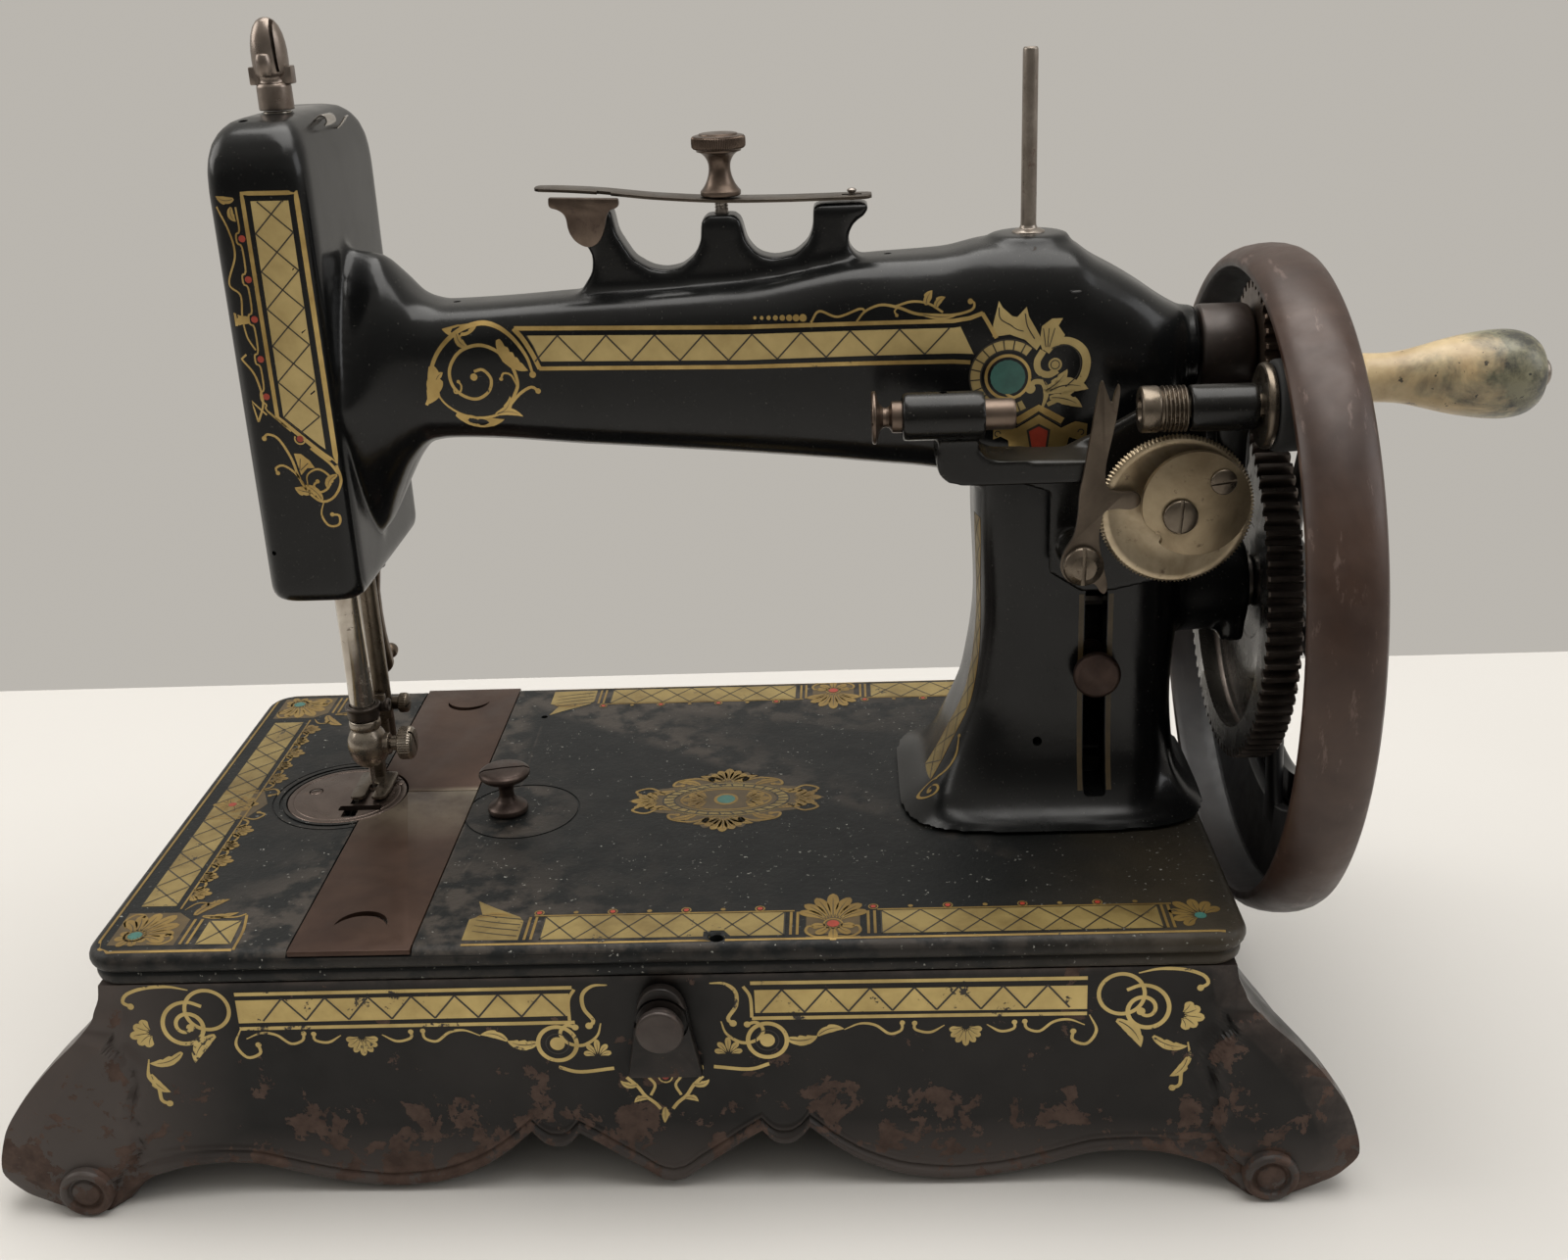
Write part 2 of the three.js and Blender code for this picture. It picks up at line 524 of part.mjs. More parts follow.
// Lever behind the presser bar: it hangs from a stud in a lug under the head, with a ball to hold it by.
const LIFTER_Z = 70;
const lever = [];
for (let i = 0; i <= 10; i++) {
  const t = (Math.PI * i) / 10;
  lever.push([NEEDLE_X + 4.4 * Math.cos(t), LIFTER_Z + 4.4 * Math.sin(t)]);
}
lever.push([NEEDLE_X - 3, 60], [NEEDLE_X - 2.6, 48], [NEEDLE_X - 3, 38]);
for (let i = 0; i <= 10; i++) {
  const t = Math.PI + (Math.PI * i) / 10;
  lever.push([NEEDLE_X + 0.4 + 3.4 * Math.cos(t), 33.8 + 3.4 * Math.sin(t)]);
}
lever.push([NEEDLE_X + 3.2, 38], [NEEDLE_X + 2.4, 50], [NEEDLE_X + 2.5, 62]);
add("presser_lifter", cut(
  join(
    plate(lever, 123.4, 126.2, 0.4),
    turned([[0, 0], [1.4, 0], [1.4, 6.2], [2.1, 7.2], [2.5, 9], [2.2, 10.8], [1.2, 11.8], [0, 12]], "y",
      [NEEDLE_X + 0.4, 126, 33.8], 18),
  ),
  rod("y", [NEEDLE_X, 120, LIFTER_Z], 2, 10, 18),
), BROWN, 0.8, 0.4);
add("lifter_stud", turned([[0, 122.6], [3, 122.6], [3, 123.1], [1.7, 123.1], [1.7, 130.4], [0, 130.4]], "y",
  [NEEDLE_X, 0, LIFTER_Z], 16), STEEL, 0.9, 0.4);

// ---------------------------------------------------------------- arm shaft, pinion, hand wheel
add("arm_shaft", turned([[0, -92.6], [5, -92.6], [5, 182], [0, 182]], "x", [0, AXIS_Y, SHAFT_Z], 20), STEEL, 0.9, 0.3);
add("needle_cam", cut(
  rod("x", [-96.9, AXIS_Y, SHAFT_Z], 19, 4, 32),
  turned([[9, 0], [14, 0], [14, 4], [9, 4], [9, 0]], "x", [-98.9, AXIS_Y, SHAFT_Z], 32),
), STEEL, 0.9, 0.35);
add("shaft_collar", cut(
  turned([[0, 156.6], [13, 156.6], [13, 170.6], [12, 171.8], [0, 171.8]], "x", [0, AXIS_Y, SHAFT_Z], 28),
  rod("x", [150, AXIS_Y, SHAFT_Z], 5.4, 40, 20),
), BLACK, 0.3, 0.4);
const pinionTeeth = toothed(PINION_TEETH, MODULE, 1.05, 1.5, -Math.PI / 2, 0.1);
add("pinion", gearX(pinionTeeth, 5.3, 172.6, 180.8, AXIS_Y, SHAFT_Z), STEEL, 0.8, 0.4);

const gearTeeth = toothed(GEAR_TEETH, MODULE, 1.05, 1.5, Math.PI / 2 + Math.PI / GEAR_TEETH, 0.1);
add("spur_gear", cut(
  gearX(gearTeeth, 6.25, 169.4, 179.4, AXIS_Y, WHEEL_Z),
  turned([[0, 0], [44.6, 0], [47, 8.2], [0, 8.2]], "x", [168.6, AXIS_Y, WHEEL_Z], 40),
), BROWN, 0.8, 0.4);

const RIM = [
  [93.6, 168.8], [96.9, 168.7], [99.2, 172], [100.3, 177], [100.4, 182], [99.4, 186.4], [97.6, 188.6],
  [93.8, 188.8],
];
function handWheel() {
  const rim = turned([...RIM, RIM[0]].map(([r, x]) => [r, x]), "x", [0, AXIS_Y, WHEEL_Z], 64);
  const web = turned([[72, 184.4], [95.5, 181.6], [95.5, 186.4], [72, 188.4], [72, 184.4]], "x",
    [0, AXIS_Y, WHEEL_Z], 48);
  const hub = turned([[6.25, 179.9], [15, 179.9], [13.4, 188.4], [12.4, 192], [6.25, 192], [6.25, 179.9]], "x",
    [0, AXIS_Y, WHEEL_Z], 28);
  const parts = [rim, web, hub];
  for (let k = 0; k < 5; k++) {
    const spoke = loft([[10, 5.6, 3.4], [30, 4.6, 2.8], [55, 4.4, 2.6], [76, 6.4, 2.2]].map(([r, w, t]) =>
      oval(t, w, 3, 8).map(([x, y]) => [185.6 + x - 0.2, y, r])));
    spoke.rotateX((2 * Math.PI * k) / 5 + 0.44);
    parts.push(spoke.translate(0, AXIS_Y, WHEEL_Z));
  }
  return join(...parts);
}
add("hand_wheel", handWheel(), BROWN, 0.6, 0.5);
const CRANK_Y = 79;
const CRANK_Z = 131;
add("crank_ring", cut(
  turned([[60, 189], [79.4, 189], [80.4, 190.2], [80.4, 192.4], [79, 193.4], [60, 193.4], [60, 189]], "x",
    [0, AXIS_Y, WHEEL_Z], 56),
  rod("x", [180, CRANK_Y, CRANK_Z], 3.4, 30, 16),
), BLACK, 0.3, 0.4);
add("handle_pin", turned([
  [0, 189.3], [3.1, 189.3], [3.1, 247], [4.2, 247.3], [4.2, 249.4], [3.4, 250.6], [0, 250.8],
], "x", [0, CRANK_Y, CRANK_Z], 18), STEEL, 0.9, 0.4);
add("crank_handle", turned([
  [3.4, 194.2], [8.2, 194.2], [8.6, 196.4], [7.2, 201], [7, 205], [7.8, 211], [9.8, 219], [11.6, 228], [12.3, 236],
  [11.6, 242], [9.4, 246.6], [6.4, 248.4], [4.6, 248.6], [4.6, 246.7], [3.4, 246.7], [3.4, 194.2],
], "x", [0, CRANK_Y, CRANK_Z], 28), 0x9a8f78, 0.0, 0.6);
add("wheel_stud", turned([
  [0, 142], [6, 142], [6, 174.3], [8, 174.3], [8, 176.5], [6, 176.5], [6, 193], [0, 193],
], "x", [0, AXIS_Y, WHEEL_Z], 22), STEEL, 0.9, 0.35);
add("wheel_nut", turned([
  [0, 193.3], [9.6, 193.3], [9.6, 195.4], [8, 197.4], [5, 198.6], [0, 199],
], "x", [0, AXIS_Y, WHEEL_Z], 22), STEEL, 0.9, 0.35);

// ---------------------------------------------------------------- bobbin winder
const SPINDLE = [0, WINDER_Y, SPINDLE_Z];
function winderBracket() {
  const web = plate([[100, 108], [118, 118], [127, 122], [138, 128], [166, 128], [167, 112], [163, 96], [158, 84],
    [148, 78], [130, 74], [121, 74], [112, 80], [112, 104]], 66, 70, 0.6);
  const armRail = plate([[79, 119], [79.6, 114], [83, 111.6], [92, 110.8], [122, 110.8], [122, 117.4], [96, 118],
    [91, 119.4], [90, 125.4], [80, 125.4]], 52, 68, 1);
  const barrel = rod("x", [69.8, WINDER_Y, SPINDLE_Z], 6.4, 22.2, 24);
  const sleeve = rod("x", [146.2, WINDER_Y, SPINDLE_Z], 6.2, 18, 24);
  const stem = box(149, 163, WINDER_Y - 3, 67, 125, 130);
  const strip = box(155, 164, 57, 67, 108, 127);
  const foot = box(114, 136, 67, 74.6, 84, 104);
  const wormBoss = rod("y", [WORM_X, 55.2, WORM_Z], 5, 12, 18);
  const forkBoss = rod("y", [118.9, 51.5, 88.4], 4.6, 16, 18);
  return cut(
    join(web, armRail, barrel, sleeve, stem, strip, foot, wormBoss, forkBoss),
    rod("x", [60, WINDER_Y, SPINDLE_Z], 4.5, 40, 18),
    rod("x", [140, WINDER_Y, SPINDLE_Z], 3.9, 40, 18),
    rod("-y", [WORM_X, 72, WORM_Z], 2.7, 30, 14),
    rod("-y", [118.9, 64, 88.4], 2.3, 20, 14),
  );
}
add("winder_bracket", winderBracket(), BLACK, 0.3, 0.45);

add("winder_spindle", turned([
  [0, 136], [2, 136], [2.6, 133.2], [5.8, 133.2], [6.2, 133.8], [6.2, 138.4], [5.5, 138.9], [6.3, 139.4],
  [5.4, 140.2], [6.3, 141], [5.4, 141.8], [6.3, 142.6], [5.4, 143.4], [6.3, 144.2], [5.6, 145.4], [3.6, 145.4],
  [3.6, 165], [11, 165], [11.4, 165.6], [11.4, 167], [10.8, 167.6], [3.3, 167.7], [3.3, 177], [0, 177],
], "x", SPINDLE, 26), STEEL, 0.9, 0.35);
add("winder_pulley", turned([
  [3.6, 168], [11.6, 168], [12.4, 168.8], [12.4, 175], [11.6, 175.8], [3.6, 175.8], [3.6, 168],
], "x", SPINDLE, 30), 0x1a1a1a, 0.0, 0.8);

function wormWheel() {
  const r = 21.3;
  const pts = [];
  for (let i = 0; i < WORM_TEETH; i++) {
    for (const [dr, k] of [[-0.6, 0], [0, 0.5]]) {
      const t = (2 * Math.PI * (i + k)) / WORM_TEETH;
      pts.push([WORM_X + (r + dr) * Math.cos(t), WORM_Z + (r + dr) * Math.sin(t)]);
    }
  }
  return cut(plate(pts, 51.4, 54.6), rod("y", [WORM_X, 40, WORM_Z], 2.7, 30, 18));
}
add("worm_wheel", wormWheel(), BRASS, 0.8, 0.4);
const CAM_X = 148.6;
const CAM_Z = 105.8;
add("winder_cam", cut(
  rod("y", [CAM_X, 46.4, CAM_Z], 14.6, 2.5, 44),
  rod("y", [WORM_X, 40, WORM_Z], 2.7, 30, 18),
  rod("y", [CAM_X - 10.6, 40, CAM_Z - 9.8], 1.8, 30, 14),
), BRASS, 0.8, 0.4);
const camScrew = [[0, -20], [2.4, -20], [2.4, 0], [4.6, 0], [4.8, 0.5], [4.6, 1.3], [0, 1.4]];
add("cam_pivot_screw", cut(
  turned(camScrew, "-y", [WORM_X, 46.1, WORM_Z], 22),
  box(WORM_X - 0.4, WORM_X + 0.4, 40, 45.4, WORM_Z - 6, WORM_Z + 6),
), STEEL, 0.9, 0.35);
add("cam_pin_screw", slotScrew("-y", [155.4, 46.1, 112], 3.6, 1, 1.5), STEEL, 0.9, 0.4);

const FORK = [
  [122.9, 139.4], [124.3, 136.6], [125.6, 133.6], [126.4, 136.4], [127.3, 138.4], [127.5, 135], [125.3, 121.1],
  [124.3, 114.7], [125.9, 109.2], [132.4, 108.6], [134, 106.3], [132.6, 104], [125.3, 103.8], [123.7, 102.1],
  [123.2, 96], [124.6, 88], [126.1, 81.4], [124.4, 79.4], [122.6, 82.4], [119, 82], [114.4, 83.6], [112.8, 88.4],
  [114, 93], [116.6, 97.3], [117.4, 108.5], [118.7, 114.7], [119.5, 121.1], [121.1, 132.3],
];
add("thread_fork", cut(
  plate(FORK, 49.3, 51.1),
  rod("y", [118.9, 40, 88.4], 2.3, 20, 16),
), NICKEL, 0.8, 0.4);
add("fork_pivot_screw", cut(
  turned([[0, -14], [2, -14], [2, 0], [5.4, 0], [5.7, 0.8], [5.4, 2.2], [4.6, 2.8], [0, 2.9]], "-y",
    [118.9, 49, 88.4], 24),
  box(118.5, 119.3, 40, 47.2, 80, 97),
), STEEL, 0.9, 0.35);
add("winder_plunger", turned([
  [0, 61.6], [6.5, 61.6], [7.1, 62.1], [7.1, 62.8], [6.2, 63.3], [3, 64.2], [2.6, 65.4], [3.2, 66.8], [4.2, 67.2],
  [4.2, 99.4], [3.8, 100.2], [1.8, 100.2], [1.6, 98.6], [0, 98.6],
], "x", SPINDLE, 22), STEEL, 0.9, 0.35);

// ---------------------------------------------------------------- cloth guide screw on the bed
add("cloth_guide_screw", cut(
  turned([
    [0, -2.7], [2.1, -2.7], [2.1, 0.3], [5.9, 0.3], [6.3, 1.2], [5.9, 2.8], [3.2, 4.4], [2.3, 6.4], [2.5, 9.4],
    [4.8, 11.2], [7.4, 12.4], [8, 13.6], [7.6, 14.6], [6.2, 15.2], [0, 15.4],
  ], "z", [-54.7, 80.6, 0], 26),
  box(-64, -45, 80.1, 81.1, 14.2, 16),
), BROWN, 0.8, 0.45);

// ---------------------------------------------------------------- shuttle, feed and rock lever
const PIVOT_X = 38;
const RACE_X = -84.5;
add("shuttle_pivot", turned([
  [0, -17.4], [5, -17.4], [5, -14.6], [3, -14.6], [3, -4.9], [0, -4.9],
], "z", [PIVOT_X, AXIS_MID, 0], 18), STEEL, 0.8, 0.4);
function flat(points, z0, z1) {
  const shape = new THREE.Shape(points.map(([x, y]) => new THREE.Vector2(x, y)));
  const g = new THREE.ExtrudeGeometry(shape, { depth: z1 - z0, bevelEnabled: false });
  return g.translate(0, 0, z0);
}
add("shuttle_arm", cut(
  join(
    flat([[RACE_X - 5, AXIS_MID - 8], [RACE_X + 6, AXIS_MID - 8], [-60, AXIS_MID - 5], [PIVOT_X, AXIS_MID - 6],
      [PIVOT_X, AXIS_MID + 6], [-60, AXIS_MID + 5], [RACE_X + 6, AXIS_MID + 8], [RACE_X - 5, AXIS_MID + 8]], -14.2, -10.6),
    rod("z", [PIVOT_X, AXIS_MID, -14.2], 8, 8, 24),
  ),
  rod("z", [PIVOT_X, AXIS_MID, -30], 3.2, 40, 18),
), STEEL, 0.7, 0.5);
add("shuttle_carrier", cut(
  box(RACE_X - 6, RACE_X + 6, AXIS_MID - 18, AXIS_MID + 18, -10.3, -3),
  box(RACE_X - 4.6, RACE_X + 4.6, AXIS_MID - 16.6, AXIS_MID + 16.6, -7.6, 0),
), STEEL, 0.8, 0.4);
add("shuttle", loft([[-16, 0.6, 0.8], [-12, 2.4, 1.6], [-5, 4, 2], [8, 4.1, 2], [13, 3.6, 1.9], [15.4, 2, 1.4]]
  .map(([y, hx, hz]) => oval(hx, hz, 2.6, 16).map(([x, z]) => [RACE_X + x, AXIS_MID + y, z - 5.2]))), STEEL, 0.9, 0.25);
add("feed_bar", join(
  box(-109.4, -103.4, 88, 146, -10, -6.4),
  box(-106.9, -105.3, 91, 101, -7, -1.2),
  ...[91.2, 93.2, 95.2, 97.2, 99.2].map((y) => flat([[-106.9, 0], [-105.3, 0], [-105.3, 1.6], [-106.9, 1.6]], -1.6, -0.3)
    .translate(0, y, 0)),
), STEEL, 0.8, 0.4);
add("feed_cam", cut(
  rod("x", [119, AXIS_Y, SHAFT_Z], 6.7, 8, 22),
  rod("x", [100, AXIS_Y, SHAFT_Z], 5.2, 40, 20),
), STEEL, 0.9, 0.4);
const ROCK = [
  [94, -16], [102, -16], [102, 118], [107, 124], [108.8, 128], [108.8, 146], [107, 146], [107, 131], [104, 126.6],
  [98, 125], [92, 126.6], [89, 131], [89, 146], [87.2, 146], [87.2, 128], [89, 124], [94, 118],
];
function rockLever() {
  const shape = new THREE.Shape(ROCK.map(([y, z]) => new THREE.Vector2(y, z)));
  const g = new THREE.ExtrudeGeometry(shape, { depth: 5, bevelEnabled: false });
  const m = new THREE.Matrix4().set(0, 0, 1, 120.5, 1, 0, 0, 0, 0, 1, 0, 0, 0, 0, 0, 1);
  return cut(g.applyMatrix4(m), rod("x", [110, AXIS_Y, 60], 2.3, 30, 14));
}
add("rock_lever", rockLever(), STEEL, 0.7, 0.5);
add("lever_stud", rod("x", [105.4, AXIS_Y, 60], 2, 35.2, 14), STEEL, 0.8, 0.4);

// ---------------------------------------------------------------- origin under the middle of the box
const size = new THREE.Box3().setFromObject(group);
const shift = [-(size.min.x + size.max.x) / 2, -(size.min.y + size.max.y) / 2, -size.min.z];
for (const mesh of group.children) mesh.geometry.translate(...shift);

export default group;
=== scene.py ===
# Hand-crank sewing machine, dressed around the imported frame.
# Layout numbers are millimetres in the machine's own coordinates: X from the middle of the bed, Y from
# the bed's front edge to the back, Z from the bed's top. SHIFT moves them into the row frame.
import math

import bmesh
import bpy
import numpy as np
from mathutils import Matrix, Vector
from mathutils.bvhtree import BVHTree


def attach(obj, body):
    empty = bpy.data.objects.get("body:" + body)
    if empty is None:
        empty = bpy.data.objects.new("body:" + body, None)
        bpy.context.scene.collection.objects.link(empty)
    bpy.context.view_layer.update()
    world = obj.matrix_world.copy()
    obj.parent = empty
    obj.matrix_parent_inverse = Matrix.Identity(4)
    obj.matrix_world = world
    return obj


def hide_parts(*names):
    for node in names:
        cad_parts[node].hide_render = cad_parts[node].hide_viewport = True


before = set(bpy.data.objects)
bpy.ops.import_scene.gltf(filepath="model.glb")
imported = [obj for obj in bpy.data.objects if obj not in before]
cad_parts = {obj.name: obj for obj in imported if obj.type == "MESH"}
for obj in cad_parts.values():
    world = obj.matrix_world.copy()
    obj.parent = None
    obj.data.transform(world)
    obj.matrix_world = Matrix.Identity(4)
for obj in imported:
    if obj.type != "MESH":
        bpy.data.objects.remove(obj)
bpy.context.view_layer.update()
SHIFT = np.array([-30.3, -94.95, 80.0])
MM = 0.001
SCENE = bpy.context.scene
TAU = 2 * math.pi

BED_L, BED_W = 320.0, 178.8
AXIS_Y, SHAFT_Z, WHEEL_Z = 98.0, 136.5, 64.7
NEEDLE_X, PRESSER_Y = -101.9, 119.0
WINDER_Y, SPINDLE_Z = 52.0, 131.0
WORM_X, WORM_Z = 144.3, 102.6
MID_Y = BED_W / 2
CRANK_Y, CRANK_Z = 79.0, 131.0


def row(x, y, z):
    return Vector((np.array([x, y, z]) + SHIFT) * MM)


# ---------------------------------------------------------------- mesh helpers
def work(verts, faces, name="work"):
    me = bpy.data.meshes.new(name)
    me.from_pydata([tuple(v) for v in verts], [], faces)
    bm = bmesh.new()
    bm.from_mesh(me)
    bmesh.ops.remove_doubles(bm, verts=bm.verts, dist=1e-4)
    bmesh.ops.recalc_face_normals(bm, faces=bm.faces)
    bm.to_mesh(me)
    bm.free()
    obj = bpy.data.objects.new(name, me)
    SCENE.collection.objects.link(obj)
    return obj


def settle(obj):
    """Replaces the object's mesh by what its modifiers make of it."""
    bpy.context.view_layer.update()
    graph = bpy.context.evaluated_depsgraph_get()
    new = bpy.data.meshes.new_from_object(obj.evaluated_get(graph), depsgraph=graph)
    old = obj.data
    obj.modifiers.clear()
    obj.data = new
    bpy.data.meshes.remove(old)
    return obj


def drop(obj):
    me = obj.data
    bpy.data.objects.remove(obj)
    bpy.data.meshes.remove(me)


def boolean(obj, tools, operation="DIFFERENCE"):
    for tool in tools:
        mod = obj.modifiers.new("boolean", "BOOLEAN")
        mod.operation = operation
        mod.solver = "EXACT"
        mod.object = tool
    settle(obj)
    for tool in tools:
        drop(tool)
    return obj


def union(obj, *others):
    return boolean(obj, others, "UNION")


def joined(*objs):
    """One object holding the meshes of all, overlapping as they are, ready for a remesh."""
    bm = bmesh.new()
    for o in objs:
        bm.from_mesh(o.data)
    me = bpy.data.meshes.new("joined")
    bm.to_mesh(me)
    bm.free()
    for o in objs:
        drop(o)
    out = bpy.data.objects.new("joined", me)
    SCENE.collection.objects.link(out)
    return out


def remesh(obj, voxel, smooth=4, factor=0.5):
    mod = obj.modifiers.new("remesh", "REMESH")
    mod.mode = "VOXEL"
    mod.voxel_size = voxel
    if smooth:
        soft = obj.modifiers.new("smooth", "SMOOTH")
        soft.factor = factor
        soft.iterations = smooth
    return settle(obj)


def bevel(obj, width, segments=2, angle=30):
    mod = obj.modifiers.new("bevel", "BEVEL")
    mod.width = width
    mod.segments = segments
    mod.limit_method = "ANGLE"
    mod.angle_limit = math.radians(angle)
    mod.use_clamp_overlap = True
    return settle(obj)


def place(obj, name, mat, body, replaces=(), angle=38):
    me = obj.data
    scale = Matrix.Diagonal((MM, MM, MM, 1))
    me.transform(scale @ Matrix.Translation(Vector(SHIFT)))
    me.name = name
    obj.name = name
    me.shade_smooth()
    if angle < 180:
        me.set_sharp_from_angle(angle=math.radians(angle))
    me.materials.clear()
    for m in mat if isinstance(mat, (list, tuple)) else [mat]:
        me.materials.append(m)
    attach(obj, body)
    if replaces:
        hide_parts(*([replaces] if isinstance(replaces, str) else replaces))
    return obj


BASES = {
    "x": ((0, 1, 0), (0, 0, 1), (1, 0, 0)),
    "y": ((0, 0, 1), (1, 0, 0), (0, 1, 0)),
    "-y": ((1, 0, 0), (0, 0, 1), (0, -1, 0)),
    "z": ((1, 0, 0), (0, 1, 0), (0, 0, 1)),
}


def soften(profile, radius=0.35, steps=3):
    """Rounds the corners of an open or closed [radius, height] outline, for edges that catch the light."""
    pts = [np.array(p, float) for p in profile]
    closed = np.allclose(pts[0], pts[-1])
    out = []
    n = len(pts)
    for i, p in enumerate(pts):
        if closed and i == n - 1:
            out.append(out[0])
            break
        if not closed and i in (0, n - 1):
            out.append(p)
            continue
        a = pts[(i - 1) % (n - 1)] if closed else pts[i - 1]
        b = pts[(i + 1) % (n - 1)] if closed else pts[i + 1]
        u, v = a - p, b - p
        lu, lv = np.linalg.norm(u), np.linalg.norm(v)
        turn = math.pi - math.acos(max(-1, min(1, float(np.dot(u, v) / (lu * lv)))))
        if turn < 0.35:
            out.append(p)
            continue
        d = min(radius, 0.42 * lu, 0.42 * lv)
        s, e = p + u / lu * d, p + v / lv * d
        for k in range(steps + 1):
            t = k / steps
            out.append((1 - t) ** 2 * s + 2 * t * (1 - t) * p + t * t * e)
    return out


def lathe(profile, axis, at, seg=64, round_=0.3, radial=None):
    prof = soften(profile, round_) if round_ else [np.array(p, float) for p in profile]
    u, v, w = (np.array(b, float) for b in BASES[axis])
    at = np.array(at, float)
    verts, faces, rings = [], [], []
    for r, h in prof:
        if r < 1e-6:
            rings.append([len(verts)])
            verts.append(at + w * h)
            continue
        ring = []
        for k in range(seg):
            a = TAU * k / seg
            rr = radial(a, r, h) if radial else r
            ring.append(len(verts))
            verts.append(at + u * rr * math.cos(a) + v * rr * math.sin(a) + w * h)
        rings.append(ring)
    for a, b in zip(rings, rings[1:]):
        if len(a) == 1 and len(b) == 1:
            continue
        for k in range(seg):
            j = (k + 1) % seg
            if len(a) == 1:
                faces.append((a[0], b[k], b[j]))
            elif len(b) == 1:
                faces.append((a[k], a[j], b[0]))
            else:
                faces.append((a[k], a[j], b[j], b[k]))
    return work(verts, faces)


def rod(axis, at, r, length, seg=48, round_=0):
    return lathe([(0, 0), (r, 0), (r, length), (0, length)], axis, at, seg, round_)


def block(x0, x1, y0, y1, z0, z1, edge=0.0, segments=2):
    v = [(x, y, z) for x in (x0, x1) for y in (y0, y1) for z in (z0, z1)]
    f = [(0, 1, 3, 2), (4, 6, 7, 5), (0, 4, 5, 1), (2, 3, 7, 6), (0, 2, 6, 4), (1, 5, 7, 3)]
    obj = work(v, f)
    return bevel(obj, edge, segments) if edge else obj


def loft(rings, caps=True):
    n = len(rings[0])
    verts = [p for ring in rings for p in ring]
    faces = []
    for k in range(len(rings) - 1):
        for i in range(n):
            j = (i + 1) % n
            faces.append((k * n + i, k * n + j, (k + 1) * n + j, (k + 1) * n + i))
    if caps:
        faces.append(tuple(range(n))[::-1])
        faces.append(tuple((len(rings) - 1) * n + i for i in range(n)))
    return work(verts, faces)


def slab(points, lo, hi, plane="xz", edge=0.0, segments=2):
    """A plate: an outline in one plane, thick from lo to hi across it."""
    n = len(points)
    put = {"xz": lambda a, b, c: (a, c, b), "xy": lambda a, b, c: (a, b, c), "yz": lambda a, b, c: (c, a, b)}[plane]
    verts = [put(a, b, lo) for a, b in points] + [put(a, b, hi) for a, b in points]
    faces = [tuple(range(n))[::-1], tuple(range(n, 2 * n))]
    faces += [(i, (i + 1) % n, n + (i + 1) % n, n + i) for i in range(n)]
    obj = work(verts, faces)
    return bevel(obj, edge, segments) if edge else obj


def pchip(x, y, q):
    """Smooth curve through the given points that never overshoots them."""
    x, y, q = (np.asarray(v, float) for v in (x, y, q))
    h, d = np.diff(x), np.diff(y) / np.diff(x)
    m = np.zeros_like(y)
    m[0], m[-1] = d[0], d[-1]
    for i in range(1, len(x) - 1):
        if d[i - 1] * d[i] > 0:
            a, b = 2 * h[i] + h[i - 1], h[i] + 2 * h[i - 1]
            m[i] = (a + b) / (a / d[i - 1] + b / d[i])
    k = np.clip(np.searchsorted(x, q) - 1, 0, len(h) - 1)
    t = np.clip((q - x[k]) / h[k], 0, 1)
    return (
        (1 + 2 * t) * (1 - t) ** 2 * y[k]
        + t * (1 - t) ** 2 * h[k] * m[k]
        + t * t * (3 - 2 * t) * y[k + 1]
        + t * t * (t - 1) * h[k] * m[k + 1]
    )


def catmull(points, step=1.0, closed=False):
    """Smooth line through the points, with a point about every step millimetres."""
    p = [np.array(v, float) for v in points]
    if closed:
        p = [p[-1]] + p + [p[0], p[1]]
    else:
        p = [2 * p[0] - p[1]] + p + [2 * p[-1] - p[-2]]
    out = []
    for i in range(1, len(p) - 2):
        n = max(1, int(math.ceil(np.linalg.norm(p[i + 1] - p[i]) / step)))
        for k in range(n):
            t = k / n
            out.append(0.5 * (2 * p[i] + (p[i + 1] - p[i - 1]) * t
                              + (2 * p[i - 1] - 5 * p[i] + 4 * p[i + 1] - p[i + 2]) * t * t
                              + (3 * p[i] - 3 * p[i + 1] + p[i + 2] - p[i - 1]) * t ** 3))
    if not closed:
        out.append(p[-2])
    return out


def oval(a, b, e, n=64):
    out = []
    for i in range(n):
        t = TAU * (i + 0.5) / n
        c, s = math.cos(t), math.sin(t)
        out.append((a * math.copysign(abs(c) ** (2 / e), c), b * math.copysign(abs(s) ** (2 / e), s)))
    return out


def round_rect(a, b, r, k=8):
    out = []
    for cx, cy, deg in ((a - r, b - r, 0), (-a + r, b - r, 90), (-a + r, -b + r, 180), (a - r, -b + r, 270)):
        for i in range(k):
            t = math.radians(deg + 90 * i / (k - 1))
            out.append((cx + r * math.cos(t), cy + r * math.sin(t)))
    return out


def ease(v):
    v = min(1.0, max(0.0, v))
    return v * v * (3 - 2 * v)


def turned(obj, degrees, axis, about):
    """Turns a work object about an axis through a point."""
    c = Matrix.Translation(Vector(about))
    obj.data.transform(c @ Matrix.Rotation(math.radians(degrees), 4, axis) @ c.inverted())
    return obj


